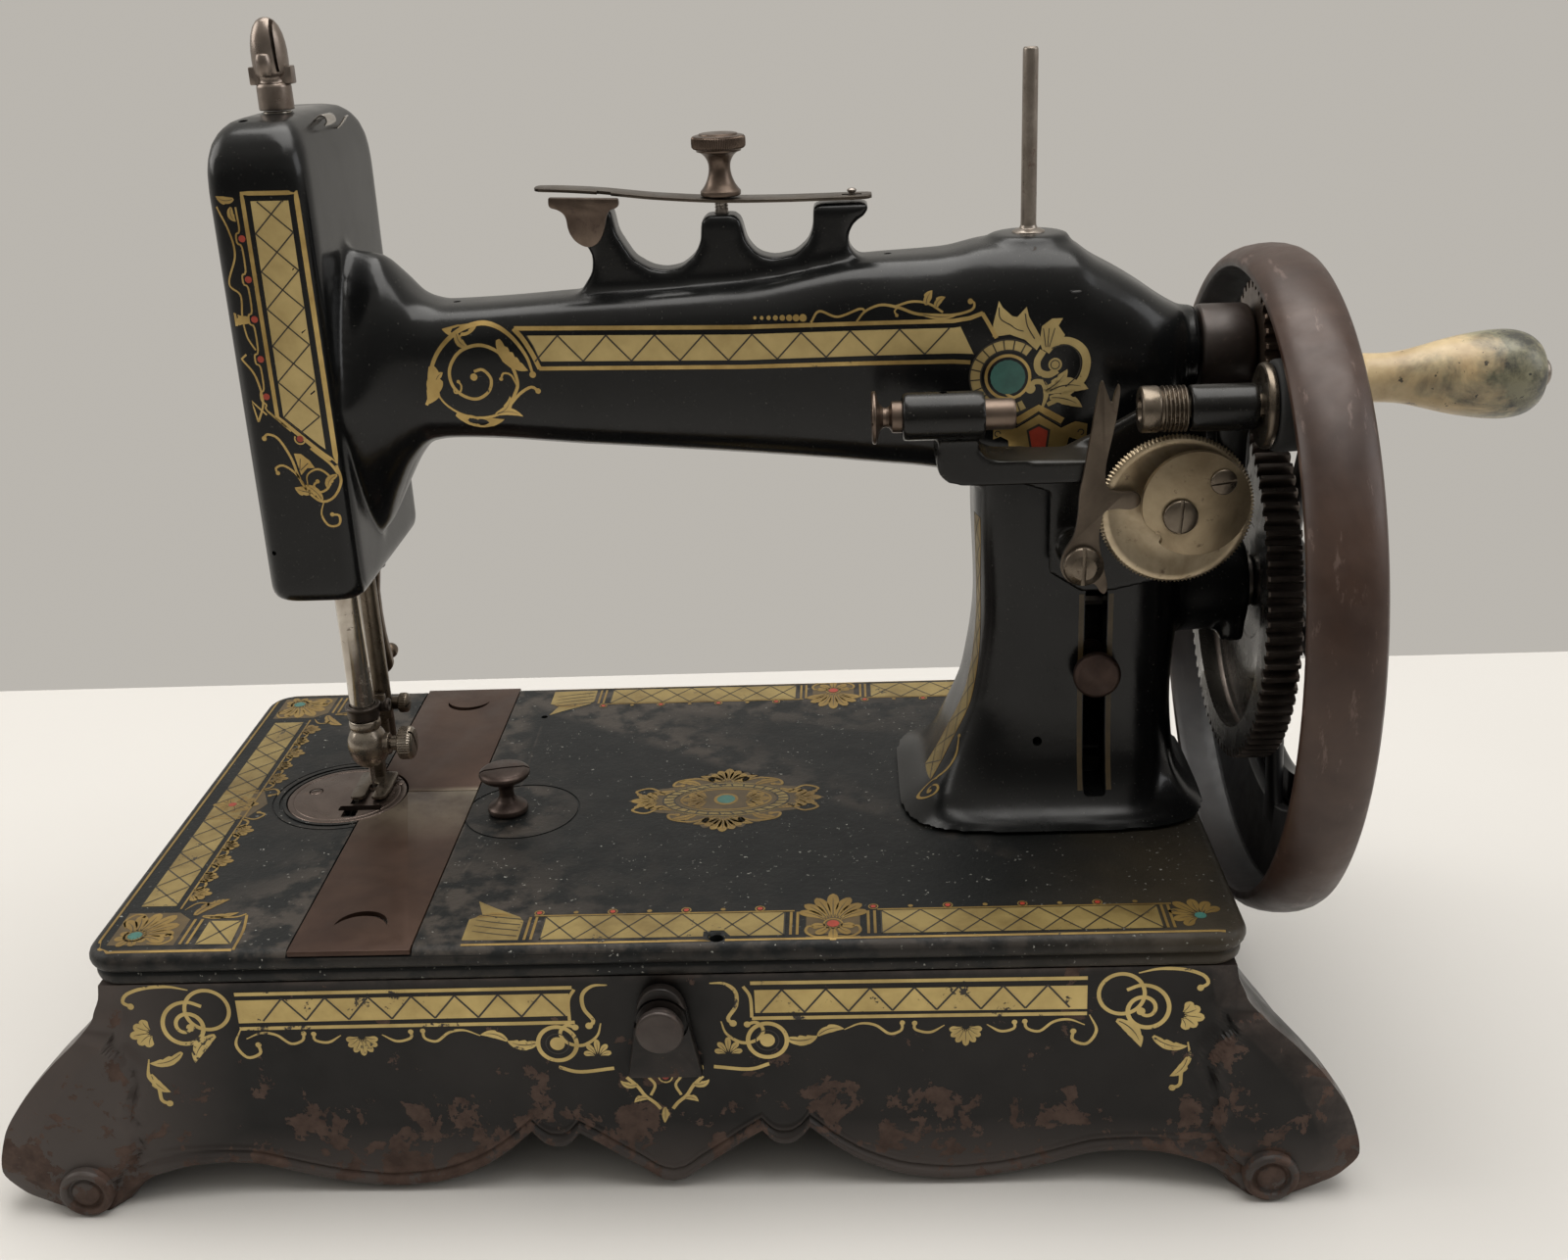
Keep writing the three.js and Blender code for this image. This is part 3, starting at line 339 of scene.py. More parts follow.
# ---------------------------------------------------------------- material helpers
class Mat:
    """Small builder for a procedural material on object coordinates."""

    def __init__(self, name):
        self.m = bpy.data.materials.new(name)
        self.m.use_nodes = True
        self.t = self.m.node_tree
        self.b = self.t.nodes["Principled BSDF"]
        self.co = self.t.nodes.new("ShaderNodeTexCoord").outputs["Object"]

    def link(self, a, b):
        if isinstance(a, (int, float)):
            b.default_value = a
        elif isinstance(a, tuple):
            b.default_value = (*a, 1) if len(b.default_value) == 4 and len(a) == 3 else a
        else:
            self.t.links.new(a, b)

    def stretched(self, x, y, z):
        n = self.t.nodes.new("ShaderNodeMapping")
        n.inputs["Scale"].default_value = (x, y, z)
        self.link(self.co, n.inputs["Vector"])
        return n.outputs[0]

    def noise(self, scale, detail=4.0, rough=0.55, distortion=0.0, co=None):
        n = self.t.nodes.new("ShaderNodeTexNoise")
        n.inputs["Scale"].default_value = scale
        n.inputs["Detail"].default_value = detail
        n.inputs["Roughness"].default_value = rough
        n.inputs["Distortion"].default_value = distortion
        self.link(co or self.co, n.inputs["Vector"])
        return n.outputs["Fac"]

    def cells(self, scale, co=None, feature="F1"):
        n = self.t.nodes.new("ShaderNodeTexVoronoi")
        n.feature = feature
        n.inputs["Scale"].default_value = scale
        self.link(co or self.co, n.inputs["Vector"])
        return n.outputs["Distance"]

    def ramp(self, fac, stops):
        n = self.t.nodes.new("ShaderNodeValToRGB")
        e = n.color_ramp.elements
        while len(e) < len(stops):
            e.new(0.5)
        for i, (at, c) in enumerate(stops):
            e[i].position = at
            e[i].color = (c, c, c, 1) if isinstance(c, (int, float)) else (*c, 1)
        self.link(fac, n.inputs["Fac"])
        return n.outputs["Color"]

    def step(self, fac, lo, hi):
        """0 below lo, 1 above hi."""
        n = self.t.nodes.new("ShaderNodeMapRange")
        n.clamp = True
        n.inputs["From Min"].default_value = lo
        n.inputs["From Max"].default_value = hi
        self.link(fac, n.inputs["Value"])
        return n.outputs[0]

    def mix(self, fac, a, b):
        n = self.t.nodes.new("ShaderNodeMix")
        n.data_type = "RGBA"
        self.link(fac, n.inputs[0])
        self.link(a, n.inputs[6])
        self.link(b, n.inputs[7])
        return n.outputs[2]

    def math(self, op, a, b=0.0):
        n = self.t.nodes.new("ShaderNodeMath")
        n.operation = op
        n.use_clamp = op in ("ADD", "SUBTRACT")
        self.link(a, n.inputs[0])
        self.link(b, n.inputs[1])
        return n.outputs[0]

    def up(self):
        """How far the surface faces up, for dust on the enamel and a painted sky reflection on the bed."""
        n = self.t.nodes.new("ShaderNodeNewGeometry")
        s = self.t.nodes.new("ShaderNodeSeparateXYZ")
        self.link(n.outputs["Normal"], s.inputs[0])
        return s.outputs["Z"]

    def part(self, axis):
        s = self.t.nodes.new("ShaderNodeSeparateXYZ")
        self.link(self.co, s.inputs[0])
        return s.outputs[axis]

    def edge(self, lo=0.52, hi=0.58):
        """Worn convex edges."""
        n = self.t.nodes.new("ShaderNodeNewGeometry")
        return self.step(n.outputs["Pointiness"], lo, hi)

    def bump(self, height, strength, distance, normal=None):
        n = self.t.nodes.new("ShaderNodeBump")
        n.inputs["Strength"].default_value = strength
        n.inputs["Distance"].default_value = distance
        self.link(height, n.inputs["Height"])
        if normal is not None:
            self.link(normal, n.inputs["Normal"])
        return n.outputs[0]

    def done(self, color, rough, metal=0.0, normal=None, **more):
        self.link(color, self.b.inputs["Base Color"])
        self.link(rough, self.b.inputs["Roughness"])
        self.link(metal, self.b.inputs["Metallic"])
        if normal is not None:
            self.link(normal, self.b.inputs["Normal"])
        for k, v in more.items():
            self.b.inputs[k.replace("_", " ")].default_value = v
        return self.m


def enamel(name, base, dust, rough=(0.16, 0.34), pits=0.10, dusty=0.5, warm=(0.03, 0.022, 0.016)):
    """Black japan enamel: glossy, faintly orange-peeled, with pinholes and a film of dust above."""
    k = Mat(name)
    cloud = k.noise(22, 3, 0.6)
    fine = k.noise(420, 3, 0.6)
    spots = k.step(k.noise(1500, 2, 0.5), 0.70, 0.76)
    chips = k.step(k.noise(150, 5, 0.62), 0.735, 0.75)
    film = k.math("MULTIPLY", k.step(k.up(), -0.2, 0.95), k.step(cloud, 0.3, 0.75))
    film = k.math("MULTIPLY", film, dusty)
    color = k.mix(k.step(cloud, 0.35, 0.7), base, tuple(1.7 * v for v in base))
    color = k.mix(film, color, dust)
    color = k.mix(chips, color, warm)
    color = k.mix(k.math("MULTIPLY", spots, 0.25), color, (0.25, 0.24, 0.21))
    gloss = k.ramp(k.noise(60, 5, 0.65), [(0.3, rough[0]), (0.75, rough[1])])
    gloss = k.mix(film, gloss, (0.62, 0.62, 0.62))
    gloss = k.mix(chips, gloss, (0.6, 0.6, 0.6))
    n = k.bump(fine, pits, 0.0002)
    n = k.bump(k.noise(95, 3, 0.5), 0.12, 0.0004, n)
    n = k.bump(chips, 0.5, -0.00008, n)
    return k.done(color, gloss, 0.0, n, IOR=1.38)


def metal(name, base, tint, rough=(0.25, 0.45), stain=30, amount=0.7, rust=None, metallic=0.9, grain=None):
    """Bare or plated metal with stains, fine grain and a little rust."""
    k = Mat(name)
    a = k.noise(stain, 5, 0.65, 0.4)
    b = k.noise(stain * 9, 4, 0.6)
    color = k.mix(k.math("MULTIPLY", k.step(a, 0.35, 0.68), amount), base, tint)
    gloss = k.ramp(k.noise(stain * 3, 5, 0.6), [(0.3, rough[0]), (0.72, rough[1])])
    met = metallic
    if rust:
        spots = k.step(k.noise(stain * 5, 6, 0.7), 0.60, 0.70)
        color = k.mix(k.math("MULTIPLY", spots, 0.85), color, rust)
        gloss = k.mix(spots, gloss, (0.7, 0.7, 0.7))
        met = k.math("MULTIPLY", k.math("SUBTRACT", 1.0, k.math("MULTIPLY", spots, 0.6)), metallic)
    co = k.stretched(*grain) if grain else None
    n = k.bump(k.noise(700, 3, 0.6, co=co), 0.10, 0.0001)
    n = k.bump(b, 0.08, 0.0002, n)
    return k.done(color, gloss, met, n)


def base_paint():
    """Dull black on the cast base: brown where paint has flaked from the lower apron and the feet, and the feet a
    lighter brown-grey, partly worn metal and partly a painted sheen.
    """
    k = Mat("japanned_base_worn")
    z = k.part("Z")
    low = k.math("SUBTRACT", 1.0, k.step(z, 0.006, 0.058))
    big = k.noise(78, 7, 0.66, 0.3)
    small = k.noise(240, 4, 0.6)
    field = k.math("ADD", k.math("MULTIPLY", big, 0.78), k.math("MULTIPLY", small, 0.16))
    field = k.math("ADD", field, k.math("MULTIPLY", low, 0.112))
    flakes = k.step(field, 0.580, 0.586)
    rubbed = k.math("MULTIPLY", k.edge(0.50, 0.56), k.step(big, 0.35, 0.6))
    feet = k.math("SUBTRACT", 1.0, k.step(z, 0.004, 0.022))
    tone = k.mix(k.step(k.noise(18, 3, 0.6), 0.35, 0.7), (0.0055, 0.0050, 0.0048), (0.014, 0.012, 0.011))
    brown = k.mix(k.step(small, 0.35, 0.65), (0.046, 0.027, 0.020), (0.084, 0.053, 0.041))
    ends = k.t.nodes.new("ShaderNodeMath")
    ends.operation = "ABSOLUTE"
    k.link(k.part("X"), ends.inputs[0])
    feet = k.math("MAXIMUM", feet, k.step(ends.outputs[0], 0.150, 0.185))
    # The feet are lighter brown-grey: partly bare worn metal, partly a painted sheen.
    color = k.mix(k.math("MULTIPLY", feet, 0.8), tone, (0.082, 0.068, 0.062))
    color = k.mix(k.math("MULTIPLY", rubbed, 0.6), color, (0.085, 0.066, 0.058))
    color = k.mix(flakes, color, brown)
    gloss = k.ramp(k.noise(90, 5, 0.6), [(0.3, 0.30), (0.75, 0.55)])
    gloss = k.mix(flakes, gloss, (0.62, 0.62, 0.62))
    n = k.bump(flakes, 0.6, -0.00012)
    n = k.bump(k.noise(300, 5, 0.65), 0.22, 0.0003, n)
    n = k.bump(k.noise(60, 4, 0.6), 0.2, 0.0006, n)
    return k.done(color, gloss, 0.05, n, IOR=1.34)


def bed_paint():
    """Pitted blue-black top with a painted blue-grey sky reflection on its up-facing faces, brown and dusty towards
    the wheel end.
    """
    k = Mat("japanned_bed_pitted")
    x = k.part("X")
    cloud = k.noise(16, 4, 0.6)
    pits = k.noise(620, 4, 0.6)
    specks = k.step(k.noise(820, 2, 0.5), 0.700, 0.725)
    few = k.step(k.noise(120, 3, 0.6), 0.40, 0.58)
    brown = k.math("MULTIPLY", k.step(x, 0.055, 0.130), k.step(cloud, 0.30, 0.6))
    sky = k.step(k.up(), 0.3, 0.95)
    color = k.mix(k.step(cloud, 0.35, 0.7), (0.0052, 0.0060, 0.0062), (0.0072, 0.0082, 0.0084))
    # Painted sky reflection: faces that look up are lightened towards blue-grey.
    color = k.mix(k.math("MULTIPLY", sky, 0.18), color, (0.012, 0.0135, 0.0135))
    color = k.mix(k.math("MULTIPLY", brown, 0.7), color, (0.052, 0.040, 0.024))
    color = k.mix(k.math("MULTIPLY", k.math("MULTIPLY", specks, few), 0.8), color, (0.34, 0.34, 0.31))
    rim = k.math("MULTIPLY", k.edge(0.515, 0.56), k.step(k.noise(110, 4, 0.6), 0.42, 0.56))
    color = k.mix(k.math("MULTIPLY", rim, 0.5), color, (0.085, 0.070, 0.058))
    gloss = k.ramp(k.noise(80, 5, 0.65), [(0.3, 0.38), (0.72, 0.58)])
    n = k.bump(pits, 0.42, 0.00035)
    n = k.bump(k.cells(420), 0.14, 0.0003, n)
    return k.done(color, gloss, 0.0, n, IOR=1.32)


def gold_leaf(name, base, deep, worn=0.60, black=(0.012, 0.011, 0.010), gloss=(0.28, 0.46), metallic=0.75):
    """Gold transfer rubbed through to the black in places."""
    k = Mat(name)
    tone = k.noise(70, 4, 0.6)
    rub = k.step(k.math("ADD", k.math("MULTIPLY", k.noise(120, 6, 0.7), 0.7),
                        k.math("MULTIPLY", k.noise(900, 3, 0.6), 0.3)), worn, worn + 0.035)
    color = k.mix(k.step(tone, 0.35, 0.7), base, deep)
    color = k.mix(rub, color, black)
    rough = k.mix(rub, k.ramp(k.noise(200, 4, 0.6), [(0.3, gloss[0]), (0.7, gloss[1])]), (0.45, 0.45, 0.45))
    met = k.math("MULTIPLY", k.math("SUBTRACT", 1.0, rub), metallic)
    n = k.bump(k.noise(500, 3, 0.6), 0.18, 0.0001)
    return k.done(color, rough, met, n)


def plain_paint(name, base, spread=1.35, rough=0.4):
    k = Mat(name)
    color = k.mix(k.step(k.noise(220, 4, 0.6), 0.35, 0.7), base, tuple(min(1, spread * v) for v in base))
    return k.done(color, rough, 0.0, k.bump(k.noise(600, 3, 0.6), 0.1, 0.0001))


def wheel_paint():
    """Brown-mauve rim, polished along its edges and thumbed on the face; black inside."""
    k = Mat("wheel_rim_paint")
    y, z = k.part("Y"), k.part("Z")
    dy = k.math("SUBTRACT", y, 0.0)
    n = k.t.nodes.new("ShaderNodeVectorMath")
    n.operation = "LENGTH"
    c = k.t.nodes.new("ShaderNodeCombineXYZ")
    ay = k.t.nodes.new("ShaderNodeMath")
    ay.operation = "SUBTRACT"
    k.link(y, ay.inputs[0])
    ay.inputs[1].default_value = (AXIS_Y + SHIFT[1]) * MM
    az = k.t.nodes.new("ShaderNodeMath")
    az.operation = "SUBTRACT"
    k.link(z, az.inputs[0])
    az.inputs[1].default_value = (WHEEL_Z + SHIFT[2]) * MM
    k.link(ay.outputs[0], c.inputs[1])
    k.link(az.outputs[0], c.inputs[2])
    k.link(c.outputs[0], n.inputs[0])
    radius = n.outputs["Value"]
    outer = k.step(radius, 0.0935, 0.0955)
    cloud = k.noise(34, 5, 0.6, 0.3)
    paint = k.mix(k.step(cloud, 0.35, 0.7), (0.032, 0.016, 0.011), (0.064, 0.035, 0.024))
    scuffs = k.step(k.noise(260, 6, 0.72, co=k.stretched(1, 0.25, 0.25)), 0.60, 0.66)
    paint = k.mix(k.math("MULTIPLY", scuffs, 0.35), paint, (0.20, 0.14, 0.12))
    black = k.mix(k.step(cloud, 0.4, 0.7), (0.008, 0.008, 0.009), (0.022, 0.020, 0.019))
    color = k.mix(outer, black, paint)
    edges = k.math("MULTIPLY", k.edge(0.53, 0.60), outer)
    color = k.mix(k.math("MULTIPLY", edges, 0.55), color, (0.17, 0.115, 0.092))
    gloss = k.ramp(k.noise(120, 5, 0.62), [(0.3, 0.32), (0.75, 0.52)])
    return k.done(color, gloss, k.math("MULTIPLY", outer, 0.15),
                  k.bump(k.noise(240, 4, 0.6), 0.14, 0.0003))


def handle_paint():
    """Cream paint near the wheel, rubbed to olive-black wood over the grip's bulb."""
    k = Mat("handle_worn_paint")
    x = k.part("X")
    along = k.step(x, (200 + SHIFT[0]) * MM, (243 + SHIFT[0]) * MM)
    patch = k.math("ADD", k.math("MULTIPLY", k.noise(55, 5, 0.65, 0.5), 0.75), k.math("MULTIPLY", along, 0.34))
    gone = k.step(patch, 0.50, 0.66)
    flecks = k.step(k.noise(330, 4, 0.6), 0.645, 0.665)
    cream = k.mix(k.step(k.noise(120, 4, 0.6), 0.35, 0.7), (0.60, 0.47, 0.27), (0.42, 0.30, 0.16))
    olive = k.mix(k.step(k.noise(150, 5, 0.7), 0.38, 0.62), (0.045, 0.045, 0.036), (0.21, 0.20, 0.13))
    color = k.mix(gone, cream, olive)
    color = k.mix(k.math("MULTIPLY", flecks, 0.85), color, (0.012, 0.015, 0.018))
    gloss = k.ramp(k.noise(140, 4, 0.6), [(0.3, 0.26), (0.7, 0.46)])
    n = k.bump(gone, 0.35, -0.0001)
    n = k.bump(k.noise(380, 4, 0.6, co=k.stretched(0.3, 1, 1)), 0.15, 0.0002, n)
    return k.done(color, gloss, 0.0, n)


def slide_metal():
    """Slide plates: brown patina with a pink cast, dulled by handling, with a painted band of light near the seam."""
    k = Mat("slide_patina_and_painted_light")
    a = k.noise(40, 5, 0.65, 0.3)
    y = k.part("Y")
    # Painted band of light on the front plate towards the seam, broken up by noise.
    painted_light_band = k.math("MULTIPLY", k.step(y, (62 + SHIFT[1]) * MM, (94 + SHIFT[1]) * MM),
                  k.math("SUBTRACT", 1.0, k.step(y, (96 + SHIFT[1]) * MM, (99 + SHIFT[1]) * MM)))
    painted_light_band = k.math("MULTIPLY", painted_light_band, k.step(a, 0.3, 0.62))
    color = k.mix(k.step(a, 0.34, 0.7), (0.044, 0.023, 0.016), (0.078, 0.045, 0.031))
    color = k.mix(k.math("MULTIPLY", painted_light_band, 0.75), color, (0.26, 0.225, 0.165))
    dark = k.step(k.noise(420, 4, 0.65), 0.62, 0.70)
    color = k.mix(k.math("MULTIPLY", dark, 0.5), color, (0.05, 0.032, 0.028))
    gloss = k.ramp(k.noise(110, 5, 0.6), [(0.3, 0.36), (0.72, 0.52)])
    n = k.bump(k.noise(700, 3, 0.6, co=k.stretched(1, 0.12, 1)), 0.10, 0.0001)
    return k.done(color, gloss, 0.62, n)


BLACK = enamel("japan_arm", (0.0030, 0.0032, 0.0034), (0.022, 0.023, 0.021), rough=(0.13, 0.27), dusty=0.26)
BLACK_WINDER = enamel("japan_winder", (0.0032, 0.0032, 0.0032), (0.050, 0.044, 0.034), dusty=0.5)
BLACK_RING = enamel("japan_ring", (0.0030, 0.0031, 0.0034), (0.04, 0.04, 0.04), rough=(0.10, 0.22), dusty=0.2)
BASE_PAINT = base_paint()
BED_PAINT = bed_paint()
SLIDE = slide_metal()
PLATE = metal("needle_plate_steel", (0.165, 0.128, 0.110), (0.085, 0.060, 0.050), (0.22, 0.40), 60, 0.8,
              rust=(0.10, 0.06, 0.04))
CAP_NICKEL = metal("cap_nickel", (0.30, 0.255, 0.22), (0.15, 0.115, 0.095), (0.24, 0.42), 60, 0.85,
                   rust=(0.075, 0.045, 0.035))
LEAF_NICKEL = metal("leaf_nickel", (0.105, 0.088, 0.070), (0.055, 0.043, 0.034), (0.30, 0.50), 55, 0.9,
                    rust=(0.065, 0.038, 0.03))
NICKEL_BROWN = metal("browned_nickel", (0.165, 0.125, 0.098), (0.080, 0.057, 0.045), (0.26, 0.46), 55, 0.9,
                     rust=(0.065, 0.038, 0.03))
BRIGHT = metal("bright_bar", (0.56, 0.53, 0.49), (0.28, 0.24, 0.21), (0.12, 0.26), 80, 0.7)
STEEL = metal("plain_steel", (0.40, 0.37, 0.34), (0.22, 0.185, 0.16), (0.24, 0.42), 60, 0.8,
              rust=(0.11, 0.065, 0.045))
PIN_STEEL = metal("spool_pin_steel", (0.30, 0.265, 0.23), (0.15, 0.12, 0.10), (0.26, 0.42), 50, 0.8,
                  rust=(0.09, 0.055, 0.04), grain=(1, 1, 0.1))
RUSTY = metal("rust_brown_screw", (0.066, 0.042, 0.034), (0.036, 0.024, 0.021), (0.34, 0.58), 90, 0.9,
              rust=(0.085, 0.045, 0.032), metallic=0.7)
GEAR = metal("gear_iron", (0.115, 0.095, 0.082), (0.045, 0.036, 0.031), (0.24, 0.46), 45, 0.9,
             rust=(0.06, 0.036, 0.026), metallic=0.8)
PINION = metal("pinion_iron", (0.14, 0.10, 0.075), (0.06, 0.04, 0.03), (0.30, 0.5), 60, 0.9,
               rust=(0.09, 0.05, 0.03), metallic=0.8)
BRASS = metal("tarnished_disc", (0.60, 0.50, 0.35), (0.27, 0.20, 0.12), (0.28, 0.46), 55, 0.85,
              rust=(0.12, 0.075, 0.045), metallic=0.78)
CAM_BRASS = metal("tarnished_cam", (0.36, 0.29, 0.19), (0.19, 0.14, 0.085), (0.30, 0.48), 50, 0.85,
                  rust=(0.075, 0.042, 0.022))
FORK = metal("fork_nickel", (0.135, 0.108, 0.082), (0.070, 0.053, 0.040), (0.28, 0.46), 60, 0.85,
             rust=(0.08, 0.05, 0.035), metallic=0.8)
RUBBER = plain_paint("winder_rubber", (0.012, 0.012, 0.012), 1.6, 0.85)
WINDER_STEEL = metal("winder_screw_steel", (0.185, 0.155, 0.120), (0.085, 0.066, 0.050), (0.22, 0.40), 70, 0.85,
                     rust=(0.075, 0.045, 0.026))
GEAR_FACE = metal("gear_face_turned", (0.085, 0.08, 0.072), (0.035, 0.032, 0.029), (0.18, 0.36), 38, 0.8,
                  rust=(0.055, 0.035, 0.02), grain=(1, 0.4, 0.4))
WHEEL = wheel_paint()
HANDLE = handle_paint()
GOLD = gold_leaf("gold_scroll", (0.60, 0.43, 0.165), (0.36, 0.235, 0.075), 0.625)
GOLD_BAND = gold_leaf("gold_band", (0.56, 0.43, 0.185), (0.40, 0.295, 0.118), 0.665, metallic=0.35, gloss=(0.34, 0.5))
GOLD_BED = gold_leaf("gold_bed", (0.32, 0.24, 0.088), (0.18, 0.125, 0.042), 0.60, metallic=0.35, gloss=(0.36, 0.52))
GOLD_WORN = gold_leaf("gold_band_worn", (0.60, 0.46, 0.185), (0.42, 0.31, 0.12), 0.585, black=(0.020, 0.014, 0.010),
                      metallic=0.55, gloss=(0.36, 0.55))
GOLD_BED_LINE = gold_leaf("gold_bed_line", (0.33, 0.22, 0.065), (0.19, 0.12, 0.036), 0.60, metallic=0.5,
                          gloss=(0.34, 0.5))
INK = plain_paint("band_ink", (0.022, 0.018, 0.012), 1.5, 0.45)
RED = plain_paint("red_dot", (0.28, 0.035, 0.018), 1.4, 0.4)
TEAL = plain_paint("teal_roundel", (0.035, 0.115, 0.095), 1.5, 0.35)


# ---------------------------------------------------------------- cast base
APRON_EDGE = [
    [(0, -78.5), (3, -77.7), (8, -74), (15, -69), (21, -64.6), (26, -61.3)],
    [(26, -61.3), (28, -63.9), (31, -65.9), (34, -65.7), (37, -63.7), (39.5, -60.4)],
    [(39.5, -60.4), (42, -62.7), (47, -67.2), (56, -73.2), (68, -77.5), (80, -78.7), (92, -77.5), (106, -74.2),
     (120, -70.2), (132, -68.6), (140, -70.5), (146, -75), (150, -79.9), (157, -80)],
]
SIDE_EDGE = [(0, -67), (30, -67.5), (48, -69), (58, -71), (66, -75), (71, -79.9), (86, -80)]
LEAN = [(0, 0), (0.14, 1.4), (0.22, 5.5), (0.36, 15.5), (0.5, 24), (0.65, 30), (0.8, 32), (0.9, 27), (1, 13)]
BASE_A, BASE_B, BASE_TOP = 156.6, BED_W / 2 - 2.4, -10.7


def table(points, x):
    return float(pchip([p[0] for p in points], [p[1] for p in points], [x])[0])


def apron_low(x):
    x = abs(x)
    for part in APRON_EDGE:
        if x <= part[-1][0]:
            return table(part, x)
    return -80.0


# Scalloped edge of the leaf cast in relief on each foot: how far out it starts at each height.
LEAF_EDGE = [(-80, 165), (-70.7, 160.5), (-67.2, 155.9), (-61.8, 152.1), (-54.5, 151.3), (-50.2, 153.9),
             (-46.9, 152.9),
             (-41.7, 150.1), (-34.3, 151.4), (-28.3, 156.1), (-22.3, 154.2), (-14.2, 157.1), (-9, 158)]


def base_casting():
    xs = sorted(set([round(v, 2) for v in np.linspace(0, 120, 78)] + [26, 39.5] + [round(v, 2) for v in np.linspace(120.8, 150, 40)]))
    long_row = [-x for x in reversed(xs) if x > 0] + xs
    side_row = [float(v) for v in np.linspace(-82, 82, 84)]
    stations = [(x, -BASE_B, x, None) for x in long_row]
    stations += [(BASE_A, y, None, y) for y in [-BASE_B] + side_row + [BASE_B]]
    stations += [(x, BASE_B, x, None) for x in reversed(long_row)]
    stations += [(-BASE_A, y, None, y) for y in [BASE_B] + side_row[::-1] + [-BASE_B]]
    lean = np.array(LEAN, float)
    fine = np.linspace(0, 1, 201)
    lean_fine = pchip(lean[:, 0], lean[:, 1], fine)
    leaf_z = [p[0] for p in LEAF_EDGE]
    leaf_x = [p[1] for p in LEAF_EDGE]

    def bead(d):
        return float(np.interp(d, [0, 0.5, 1.2, 2.2, 3.0, 3.6, 4.1, 4.8, 5.5, 6.3],
                               [0.0, 0.8, 1.35, 1.45, 1.0, 0.15, 0.1, 0.55, 0.45, 0.0]))

    def point(st, z, low, inset):
        x, y, along, side = st
        t = (BASE_TOP - z) / (BASE_TOP - low)
        corner = ease((abs(x) - 118) / 36) * ease((abs(y) - 40) / 42)
        out = float(np.interp(t, fine, lean_fine)) * corner + (2 * t if abs(x) > 150 else 0)
        px = x + math.copysign(out, x)
        py = y + math.copysign(7 * ease(t / 0.85) * corner + (2 * t if abs(y) > 80 else 0), y)
        if inset:
            px -= math.copysign(inset, x) * (1 if side is not None else abs(x) / BASE_A)
            py -= math.copysign(inset, y) * (1 if along is not None else abs(y) / BASE_B)
            return (px, MID_Y + py, z)
        d = z - low
        push = bead(d) * (1 - 0.8 * corner)
        if along is not None:
            edge = float(np.interp(z, leaf_z, leaf_x))
            push += 2.4 * ease((abs(px) - edge + 1.2) / 2.4) * ease((-10 - z) / 6)
            push -= 1.0 * math.exp(-((abs(px) - edge + 2.6) / 1.8) ** 2) * ease((-10 - z) / 6)
            return (px, MID_Y + py + math.copysign(push, y), z)
        push += 1.3 * ease((abs(y) - 55 - 4 * math.sin((z + 20) / 6.5)) / 3) * ease((-14 - z) / 6)
        return (px + math.copysign(push, x), MID_Y + py, z)

    def ring(level, inset):
        out = []
        for st in stations:
            low = apron_low(st[2]) if st[3] is None else table(SIDE_EDGE, abs(st[3]))
            upper = low + 7.5
            if level <= 1:
                z = BASE_TOP + (upper - BASE_TOP) * level
            else:
                z = low + 7.5 * (2 - level)
            out.append(point(st, z, low, inset))
        return out

    outer = [ring(t, 0) for t in np.linspace(0, 1, 44)]
    outer += [ring(2 - d / 7.5, 0) for d in (6.9, 6.3, 5.8, 5.3, 4.8, 4.3, 3.9, 3.5, 3.0, 2.4, 1.8, 1.2, 0.7, 0.3, 0)]
    inner = [ring(2, 4.2), ring(1.6, 5)] + [ring(t, 5) for t in (1, 0.8, 0.6, 0.4, 0.2, 0)]
    rings = outer + inner
    n = len(rings[0])
    verts = [p for r in rings for p in r]
    m = len(rings)
    faces = []
    for k in range(m):
        q = (k + 1) % m
        for i in range(n):
            j = (i + 1) % n
            faces.append((k * n + i, k * n + j, q * n + j, q * n + i))
    return work(verts, faces)


base = base_casting()
roundel = [(0, -9), (7.4, -9), (7.7, 0.6), (7.1, 1.6), (6.2, 1.9), (5.4, 1.4), (4.9, 0.3), (4.4, 0.3), (3.8, 1.0),
           (1.8, 1.4),
           (0, 1.5)]
discs = []
for sx, sy in ((-1, -1), (1, -1), (-1, 1), (1, 1)):
    axis = "-y" if sy < 0 else "y"
    discs.append(lathe(roundel, axis, (sx * 167.0, MID_Y + sy * 98.0, -72.2), 56, 0.3))
base = union(base, *discs)
BASE = place(base, "base_cast", BASE_PAINT, "machine", "base_casting", 34)

# Latch: a tapered arch standing off the apron, with a flat-faced knob.
latch_arch = catmull([(-10.4, -41), (-9.2, -34), (-8.0, -27), (-7.2, -21), (-5.8, -16), (-3.2, -13), (0, -12.1),
                      (3.2, -13), (5.8, -16), (7.2, -21), (8.0, -27), (9.2, -34), (10.4, -41)], 0.8)
latch = slab([tuple(p) for p in latch_arch], -2.5, 1.1, "xz", 0.9, 4)
groove = lathe([(6.9, -1), (7.6, -1), (7.6, 3), (6.9, 3), (6.9, -1)], "-y", (0, -2.0, -22.5), 56, 0)
boolean(latch, [groove])
place(latch, "latch_arch", BASE_PAINT, "machine", "latch_plate")
knob = lathe([(0, 0), (5.2, 0), (5.2, 2.0), (6.1, 2.3), (6.6, 3.0), (6.6, 4.7), (6.2, 5.2), (5.6, 5.35), (0, 5.5)],
             "-y",
             (0, -2.9, -22.5), 72, 0.25)
place(knob, "latch_button", metal("latch_iron", (0.075, 0.062, 0.056), (0.045, 0.036, 0.033), (0.34, 0.52), 60,
                                  0.9, rust=(0.07, 0.045, 0.036), metallic=0.6), "latch", "latch_knob")

